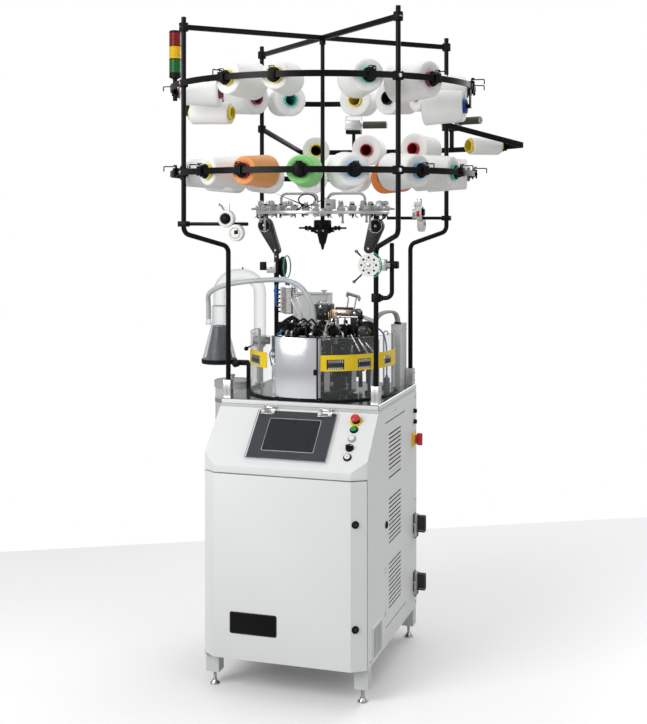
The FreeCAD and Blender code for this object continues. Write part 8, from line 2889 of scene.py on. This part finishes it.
    def selectors(self, shop: Workshop) -> None:
        """Right-hand drive unit with its sloping grey lid, and the dark units under the rim.

        Args:
            shop: the recipes in hand.
        """
        mould = Mould().use(Coat.BLACK_MATT)
        mould.block((158, 206), (-24, 34), (1196, 1268), 2.5)
        mould.use(Coat.GREY_METAL).put(tilted((180, 4, 1276), 18, "Y"))
        mould.block((-34, 34), (-32, 34), (0, 4), 1.4)
        mould.block((-34, -29), (-32, 34), (-16, 1), 1)
        mould.home().use(Coat.CAST_DARK)
        mould.turn([(24, 0), (26, 2), (26, 30), (22, 33), (8, 34), (0, 34)], (176, -26, 1232), -Y_AXIS, 36)
        mould.use(Coat.BRIGHT)
        fifth = 1.2566  # of a turn
        for k in range(5):
            angle = fifth * k
            mould.screw((176 + 17 * math.cos(angle), -59.2, 1232 + 17 * math.sin(angle)), -Y_AXIS, 2.6, 1.6)
        mould.use(Coat.STEEL)
        for i in range(3):
            x = 140.0 + 26.0 * i
            mould.rod(3.4, (x, -92 + 10 * i, 1228 - 16 * i), (x + 40, -112 + 18 * i, 1168 - 10 * i), 12, 0.8)
        rack = Mould()
        rack.block((186, 200), (-14, 14), (1040, 1150), 1.4)
        rack.block((198, 204), (-11, 11), (1050, 1140), 0.8)
        mould.use(Coat.CAST_DARK)
        shop.repeat(mould, rack, 4, turn=30.0, first=292.0)
        mould.use(Coat.BRIGHT)
        pins = Mould()
        for i in range(7):
            pins.rod(1.5, (202, -9 + 3 * i, 1020), (206, -9 + 3 * i, 1108), 8)
        shop.repeat(mould, pins, 4, turn=30.0, first=292.0)
        mould.use(Coat.BLACK_MATT)
        stand = Mould()
        stand.block((182, 208), (-16, 16), (TABLE_Z, 1012), 1.2)
        stand.rod(5, (192, 0, 1010), (192, 0, 1044), 14)
        shop.repeat(mould, stand, 4, turn=30.0, first=292.0)
        mould.cast("head_drive_units", ROOT)

    def wires(self) -> None:
        """Springs, thin wires and three short blue air tubes bent between the units."""
        mould = Mould().use(Coat.STEEL)
        for start, end, rise in (
                (204, 232, 30), (222, 262, 22), (246, 274, 34), (262, 300, 20), (286, 318, 36),
                (300, 338, 26), (322, 352, 30), (334, 370, 18), (268, 246, 44)):
            a, b = on_circle(142, start, 1226), on_circle(118, end, 1232)
            middle = (a + b) / 2 * 1.08
            mould.pipe([a, (middle.x, middle.y, 1226 + rise), b], 1.1, 14, 6, 6)
        for start, end, low in ((250, 282, 1092), (284, 318, 1086), (312, 342, 1100)):
            a, b = on_circle(168, start, 1182), on_circle(186, end, 1150)
            middle = (a + b) / 2 * 1.06
            mould.pipe([a, (middle.x, middle.y, low), b], 1.2, 20, 6, 7)
        mould.use(Coat.AIR_LINE)
        for route in (((-150.0, -104.0, 1196.0), (-138.0, -118.0, 1226.0), (-104.0, -108.0, 1244.0),
                       (-66.0, -92.0, 1248.0)), ((40.0, -166.0, 1150.0), (58.0, -178.0, 1120.0),
                                                 (104.0, -164.0, 1112.0), (128.0, -140.0, 1130.0)),
                      ((-172.0, -96.0, 1100.0), (-176.0, -110.0, 1144.0), (-160.0, -126.0, 1166.0),
                       (-136.0, -112.0, 1190.0))):
            mould.pipe(route, 2.5, 12, 10, 6)
        mould.cast("head_wires", ROOT)


# ---------------------------------------------------------------- housings on the table
@dataclass
class TableHousings:
    """Grey housings, the valve stack and the suction valve that stand on the table."""

    rear: tuple[Point, Point, Point] = ((-190.0, -42.0), (196.0, 270.0), (TABLE_Z, 1358.0))
    side: tuple[Point, Point, Point] = ((222.0, 262.0), (185.0, 285.0), (TABLE_Z, 1243.0))
    valves: tuple[Point, Point, Point] = ((-232.0, -190.0), (200.0, 244.0), (1271.0, 1386.0))
    valve_pitch: float = 17.5
    suction: tuple[float, float] = (-284.0, 75.0)

    def build(self, shop: Workshop) -> None:
        """Makes the two boxes, the column, the fitting, the valve stack and the suction valve.

        Args:
            shop: the recipes in hand.
        """
        mould = Mould().use(Coat.FRAME)
        (x0, x1), (y0, y1), (z0, z1) = self.rear
        mould.slab(rounded(x0, x1, y0, y1, 6), (z0, z1 - 6), 1.2)
        mould.slab(rounded(x0 - 1.5, x1 + 1.5, y0 - 1.5, y1, 6), (z1 - 5, z1), 1.6)
        mould.slab(rounded(x0 + 14, x0 + 76, y0 - 2, y0 + 3, 1.5), (z0 + 190, z1 - 26), 0.8)
        mould.use(Coat.SHADOW).slab(rounded(x0 + 1, x1 - 1, y0 + 1, y1 - 1, 5), (z1 - 6.4, z1 - 4.6), 0)
        mould.use(Coat.STEEL)
        mould.turn([(5, z1), (5, z1 + 3), (7, z1 + 3.5), (7, z1 + 9), (13, z1 + 9.5), (14, z1 + 10.5),
                    (14, z1 + 11.4), (13, z1 + 12)], (-62, 216, 0), steps=28)
        for z in (z0 + 30.0, z0 + 160.0, z1 - 30.0):
            for x in (x0 + 8.0, x1 - 8.0):
                mould.screw((x, y0, z), -Y_AXIS, 3.2, 2)
        self.side_box(mould)
        mould.use(Coat.CAST).block((150, 186), (112, 148), (z0, 1188), 2)
        mould.use(Coat.BLACK_MATT)
        for i in range(3):
            mould.turn([(8.6, 1180), (8.6, 1188), (7, 1190)], (160 + 8 * i, 135 - 8 * i, 0), steps=6)
        mould.block((226, 246), (56, 76), (z0, 1050), 1.5)
        mould.use(Coat.AIR_LINE).turn([(6, 1048), (6, 1057), (4, 1060)], (236, 66, 0), steps=20)
        self.valve_stack(shop, mould)
        self.suction_valve(mould)
        mould.use(Coat.WHITE)
        mould.pipe([(206, 136, z0), (206, 136, 1216), (219, 150, 1228), (219, 150, 1204)], 3.4, 9, 12, 6)
        mould.use(Coat.BLACK_MATT).turn([(8, z0), (8, z0 + 8), (4, z0 + 12)], (206, 136, 0), steps=24)
        mould.cast("table_housings_detailed", ROOT, ["table_housings"])

    def side_box(self, mould: Mould) -> None:
        """Right-hand terminal box with a folded lid, screws and the cable glands.

        Args:
            mould: the mould that takes the faces.
        """
        (x0, x1), (y0, y1), (z0, z1) = self.side
        mould.use(Coat.FRAME).slab(rounded(x0, x1, y0, y1, 5), (z0, z1 - 4), 1)
        mould.slab(rounded(x0 - 1.5, x1 + 1.5, y0 - 1.5, y1 + 1.5, 5), (z1 - 4, z1), 1.2)
        mould.use(Coat.BLACK_MATT)
        for i in range(3):
            mould.turn([(8.6, z1), (8.6, z1 + 6), (6.4, z1 + 9), (5.6, z1 + 9)],
                       (236 + 8 * i, 215 - 8 * i, 0), steps=6)
        mould.use(Coat.STEEL)
        for z in (z0 + 24.0, z1 - 24.0):
            mould.screw((x1, y0 + 14, z), X_AXIS, 3, 2)
            mould.screw((x1, y1 - 14, z), X_AXIS, 3, 2)

    def valve_stack(self, shop: Workshop, mould: Mould) -> None:
        """Light valves stacked on a dark plate, with coloured stems, black elbows and a ribbed cable edge.

        Args:
            shop: the recipes in hand.
            mould: the mould that takes the faces.
        """
        (x0, x1), (y0, y1), (z0, z1) = self.valves
        mould.use(Coat.CAST).block((x0, x1), (y0 + 8, y1), (z0, z1), 1.5)
        mould.use(Coat.OLIVE).block((x1 - 2, x1 + 10), (y0, y1 - 6), (z0 - 4, z1 + 4), 1.5)
        step = (0.0, 0.0, self.valve_pitch / 2)
        for coat, x, y, z in (
                (Coat.WHITE, (x0 - 10.0, x1 - 6.0), (y0 - 2.0, y1 - 6.0), (z0 + 5.0, z0 + 12.6)),
                (Coat.GREY_METAL, (x0 - 4.0, x0 + 14.0), (y0 - 6.0, y0), (z0 + 5.6, z0 + 11.6)),
                (Coat.OLIVE, (x1 - 4.0, x1 + 12.0), (y0 - 3.0, y0 + 2.0), (z0 + 6.0, z0 + 10.0))):
            part = Mould()
            part.block(x, y, z, 0.8)
            mould.use(coat)
            shop.repeat(mould, part, 12, shift=step)
        mould.use(Coat.BLACK_MATT)
        elbow = Mould()
        elbow.rod(3.2, (x0 - 22, y0 + 12, z0 + 9), (x0 - 8, y0 + 12, z0 + 9), 12, 0.6)
        elbow.turn([(3, 0), (3, 5), (2.2, 6)], (x0 - 20, y0 + 10, z0 + 9), -Y_AXIS, 12)
        shop.repeat(mould, elbow, 6, shift=(0.0, 0.0, self.valve_pitch))
        mould.use(Coat.RED)
        stem = Mould()
        stem.turn([(2.2, 0), (2.2, 3)], (x0 + 4, y0 - 6, z0 + 8.6), -Y_AXIS, 10)
        shop.repeat(mould, stem, 4, shift=(0.0, 0.0, self.valve_pitch))
        mould.use(Coat.AIR_LINE)
        for i in range(4):
            z = z0 + 9.0 + self.valve_pitch * (i + 1)
            mould.pipe([(x0 - 21, y0 + 12, z), (x0 - 34 - 3 * i, y0 + 10, z + 6),
                        (x0 - 30, y0 + 8, z1 + 22 - 3 * i), (x0 + 6 + 5 * i, y0 + 12, z1 + 16),
                        (x0 + 8 + 5 * i, y0 + 16, z1 - 2)], 2.4, 10, 8, 5)

    def suction_valve(self, mould: Mould) -> None:
        """Upright valve under the clear pipe: grey stem, ribbed black clamp ring, wing screw and lever.

        Args:
            mould: the mould that takes the faces.
        """
        place = (*self.suction, 0.0)
        x, y = self.suction
        mould.use(Coat.FRAME)
        mould.turn([(20, TABLE_Z), (20, TABLE_Z + 8), (13, TABLE_Z + 12), (13, 1146), (22, 1154), (24, 1158),
                    (24, 1164), (0, 1164)], place, steps=40)
        mould.use(Coat.BLACK_MATT)
        mould.turn([(22.4, 1162), (27.6, 1163), (28.4, 1165), (28.4, 1171), (27.6, 1173), (25.6, 1174),
                    (22.4, 1174)], place, steps=48, hollow=True)
        mould.use(Coat.GREY_METAL)
        mould.turn([(22.8, 1173), (27, 1173.6), (27.8, 1176), (27.8, 1184), (26.6, 1187.6), (25.2, 1188.2),
                    (22.8, 1188.2)], place, steps=48, hollow=True)
        mould.use(Coat.BLACK_MATT).block((x + 24, x + 42), (y - 8, y + 8), (1162, 1190), 2)
        mould.rod(3.2, (x - 20, y - 14, 1160), (x - 46, y - 24, 1146), 14, 0.8)
        mould.ball(9, (x - 48, y - 25, 1144), 18)
        mould.use(Coat.STEEL).screw((x + 33, y - 8, 1176), -Y_AXIS, 4, 3)


# ---------------------------------------------------------------- suction
@dataclass
class Suction:
    """Clear flask with its mesh filter, the wide clear pipe, the bracket and the frosted collection pot."""

    flask: tuple[float, float] = (-426.0, 0.0)
    nozzle_x: float = -472.0
    foot_z: float = 1099.0
    neck_z: float = 1244.0
    top_z: float = 1313.0
    body_r: float = 67.0
    neck_r: float = 30.0
    thick: float = 3.0
    pipe_r: float = 25.0
    pipe_bore: float = 22.5
    pipe_top: float = 1435.0
    pipe_end: Point = (-284.0, 75.0, 1188.3)
    pot: tuple[float, float] = (-409.0, 100.0)
    pot_z: tuple[float, float] = (690.0, 996.0)
    pot_r: float = 70.0

    def build(self, shop: Workshop) -> None:
        """Makes the flask, its filter and bracket, the pipe and the pot.

        Args:
            shop: the recipes in hand.
        """
        self.flask_glass()
        self.filter_basket(shop)
        self.bracket()
        self.pipe_run()
        self.collection_pot()

    def flask_glass(self) -> None:
        """Clear flask with rounded shoulders, a rim at its neck and the hose nozzle at its side."""
        r, n, t = self.body_r, self.neck_r, self.thick
        low, neck, top = self.foot_z, self.neck_z, self.top_z
        place = (*self.flask, 0.0)
        outer = [(r - 1.0, low), (r, low + 1.0), (r, low + 8.0), (r - 1.5, low + 16.0),
                 (n + 8.0, neck - 24.0), (n + 3.0, neck - 8.0), (n + 1.6, neck - 2.0), (n + 2.4, neck + 1.0),
                 (n + 2.4, neck + 5.0), (n, neck + 7.0), (n, top - 3.0), (n + 1.0, top - 2.0), (n + 1.0, top)]
        inside = [(n - t, top), (n - t, neck), (n + 5.0, neck - 24.0), (r - t - 1.5, low + 16.0),
                  (r - t, low + 8.0), (r - t, low)]
        mould = Mould().use(Coat.GLASSY)
        mould.turn(outer + inside, place, steps=64, hollow=True)
        x, y = self.nozzle_x, self.flask[1]
        mould.turn([(10, 1241), (10, 1262), (8.2, 1262), (8.2, 1241)], (x, y, 0), steps=28, hollow=True)
        mould.turn([(12.5, 1240), (12.5, 1244), (10, 1245), (0, 1245)], (x, y, 0), steps=28)
        mould.block((x + 8, self.flask[0] - n - 0.5), (y - 3, y + 3), (1224, 1246), 1.2)
        mould.cast("suction_flask_clear", ROOT, ["suction_flask"])

    def filter_basket(self, shop: Workshop) -> None:
        """Dark tapered basket of woven wire with a seam, a foot ring and a flat top ring.

        Args:
            shop: the recipes in hand.
        """
        place = (*self.flask, 0.0)
        mould = Mould().use(Coat.MESH)
        mould.turn([(52, 1103), (24.5, 1234), (24, 1236), (0, 1236)], place, steps=56)
        form = Mould()
        rows = 26
        form.turn([(52.4 - 27.6 * i / rows, 1103 + 132 * i / rows) for i in range(rows + 1)], place, steps=56)
        shop.work(shop.netting, mould, "Form", form, Wire_Radius=0.4)
        mould.use(Coat.STEEL)
        mould.turn([(51, 1101.5), (54, 1101.5), (54, 1106), (51, 1107)], place, steps=56, hollow=True)
        mould.turn([(22, 1234), (26.4, 1234), (26.4, 1238), (22, 1238)], place, steps=40, hollow=True)
        mould.cast("flask_filter_woven", ROOT, ["flask_filter"])

    def bracket(self) -> None:
        """Black foot rim with a thin blue line, the arm to the table's edge and its big grip screw."""
        place = (*self.flask, 0.0)
        mould = Mould().use(Coat.BLACK_MATT)
        mould.turn([(55, 1091), (68.5, 1091), (70, 1092.5), (70, 1106), (69, 1107), (67.3, 1107),
                    (67.3, 1099), (55, 1099)], place, steps=64, hollow=True)
        mould.use(Coat.AIR_LINE)
        mould.turn([(60, 1089.6), (68.4, 1089.6), (68.6, 1091.2), (60, 1091.2)], place, steps=64, hollow=True)
        mould.use(Coat.BLACK_MATT).block((-365, -300), (-12, 12), (1091, 1099), 1.5)
        mould.block((-307, -299.3), (-15, 15), (985, 1098), 1.5)
        mould.turn([(6, 0), (6, 10), (12, 12), (14, 14), (14, 36), (11, 38)], (-340, -12, 1095), -Y_AXIS, 10)
        mould.block((-352, -306), (-18, 18), (1086, 1104), 2.5)
        mould.use(Coat.STEEL)
        for z in (994.0, 1040.0):
            mould.screw((-307, 0, z), -X_AXIS, 4.5, 3)
        mould.cast("flask_bracket_black", ROOT, ["flask_bracket"])

    def pipe_run(self) -> None:
        """Wide clear pipe in one bend over and down, with a bead at each end and a small clip."""
        x, y = self.flask
        ex, ey, ez = self.pipe_end
        mould = Mould().use(Coat.CLEAR)
        mould.pipe([(x, y, self.top_z + 0.3), (x, y, self.pipe_top), (ex, ey, self.pipe_top), (ex, ey, ez)],
                   self.pipe_r, 72, 40, 14, self.pipe_bore)
        mould.use(Coat.CLEAR_EDGE)
        for place, z in (((x, y, 0.0), self.top_z + 0.4), ((ex, ey, 0.0), ez + 0.1)):
            mould.turn([(self.pipe_bore, z), (self.pipe_r + 1.2, z), (self.pipe_r + 1.2, z + 2.4),
                        (self.pipe_bore, z + 2.4)], place, steps=48, hollow=True)
        clip = Vector((ex - x, ey - y, 0)).normalized()
        at = Vector((x, y, self.pipe_top + self.pipe_r - 1)) + clip * 92.0
        mould.use(Coat.BLACK_MATT).turn([(3.6, 0), (3.6, 5), (2.4, 6.4)], at, Z_AXIS, 16)
        mould.cast("clear_pipe_bent", ROOT, ["clear_pipe"])

    def collection_pot(self) -> None:
        """Frosted pot with a moulded rim, a flat lid with its knob, and two straps to the frame."""
        place = (*self.pot, 0.0)
        (low, high), r = self.pot_z, self.pot_r
        mould = Mould().use(Coat.POT)
        mould.turn([(r - 6, low), (r - 1, low + 3), (r, low + 8), (r, high), (67.5, high), (67.5, low + 6),
                    (64, low + 4), (0, low + 4), (0, low)], place, steps=64)
        mould.use(Coat.POT_RIM)
        mould.turn([(67.5, high - 12), (72, high - 12), (74, high - 9), (74, high + 8), (73, high + 9),
                    (67.5, high + 9)], place, steps=64, hollow=True)
        mould.turn([(70, high + 9.2), (74.6, high + 9.6), (75, high + 10.4), (74.6, high + 15),
                    (73, high + 16), (70, high + 16)], place, steps=64, hollow=True)
        mould.use(Coat.POT)
        mould.turn([(70.4, high + 10), (70.4, high + 13), (60, high + 15), (24, high + 17), (0, high + 17)],
                   place, steps=64)
        mould.use(Coat.POT_RIM)
        mould.turn([(4, high + 16), (4.4, high + 26), (9, high + 30), (9, high + 36), (7, high + 38),
                    (0, high + 38)], place, steps=28)
        x, y = self.pot
        for z0, z1 in ((750.0, 770.0), (925.0, 945.0)):
            mould.use(Coat.STEEL)
            mould.turn([(r + 0.2, z0 + 2), (r + 1.6, z0 + 2), (r + 1.6, z1 - 2), (r + 0.2, z1 - 2)], place,
                       steps=64, hollow=True)
            mould.use(Coat.BLACK_MATT).block((x + r - 6, -300.4), (y - 12, y + 12), (z0, z1), 1.5)
            mould.use(Coat.STEEL).screw((-322, y - 12, (z0 + z1) / 2), -Y_AXIS, 4, 2.6)
        mould.cast("collection_pot_frosted", ROOT, ["collection_pot"])


# ---------------------------------------------------------------- the whole machine
def main() -> None:
    """Builds the studio, the cords and each sub-assembly in order."""
    logging.basicConfig(level=logging.INFO, format="%(name)s %(message)s")
    surface_group()
    winding_group()
    shop = Workshop()
    Studio().build()
    Cords().build()
    for assembly in (Cabinet(), Console(), Table(), Creel(), YarnGuides(), Guard(), KnittingHead(),
                     TableHousings(),
                     Suction()):
        log.info("building the %s", type(assembly).__name__)
        assembly.build(shop)


if __name__ == "__main__":
    main()
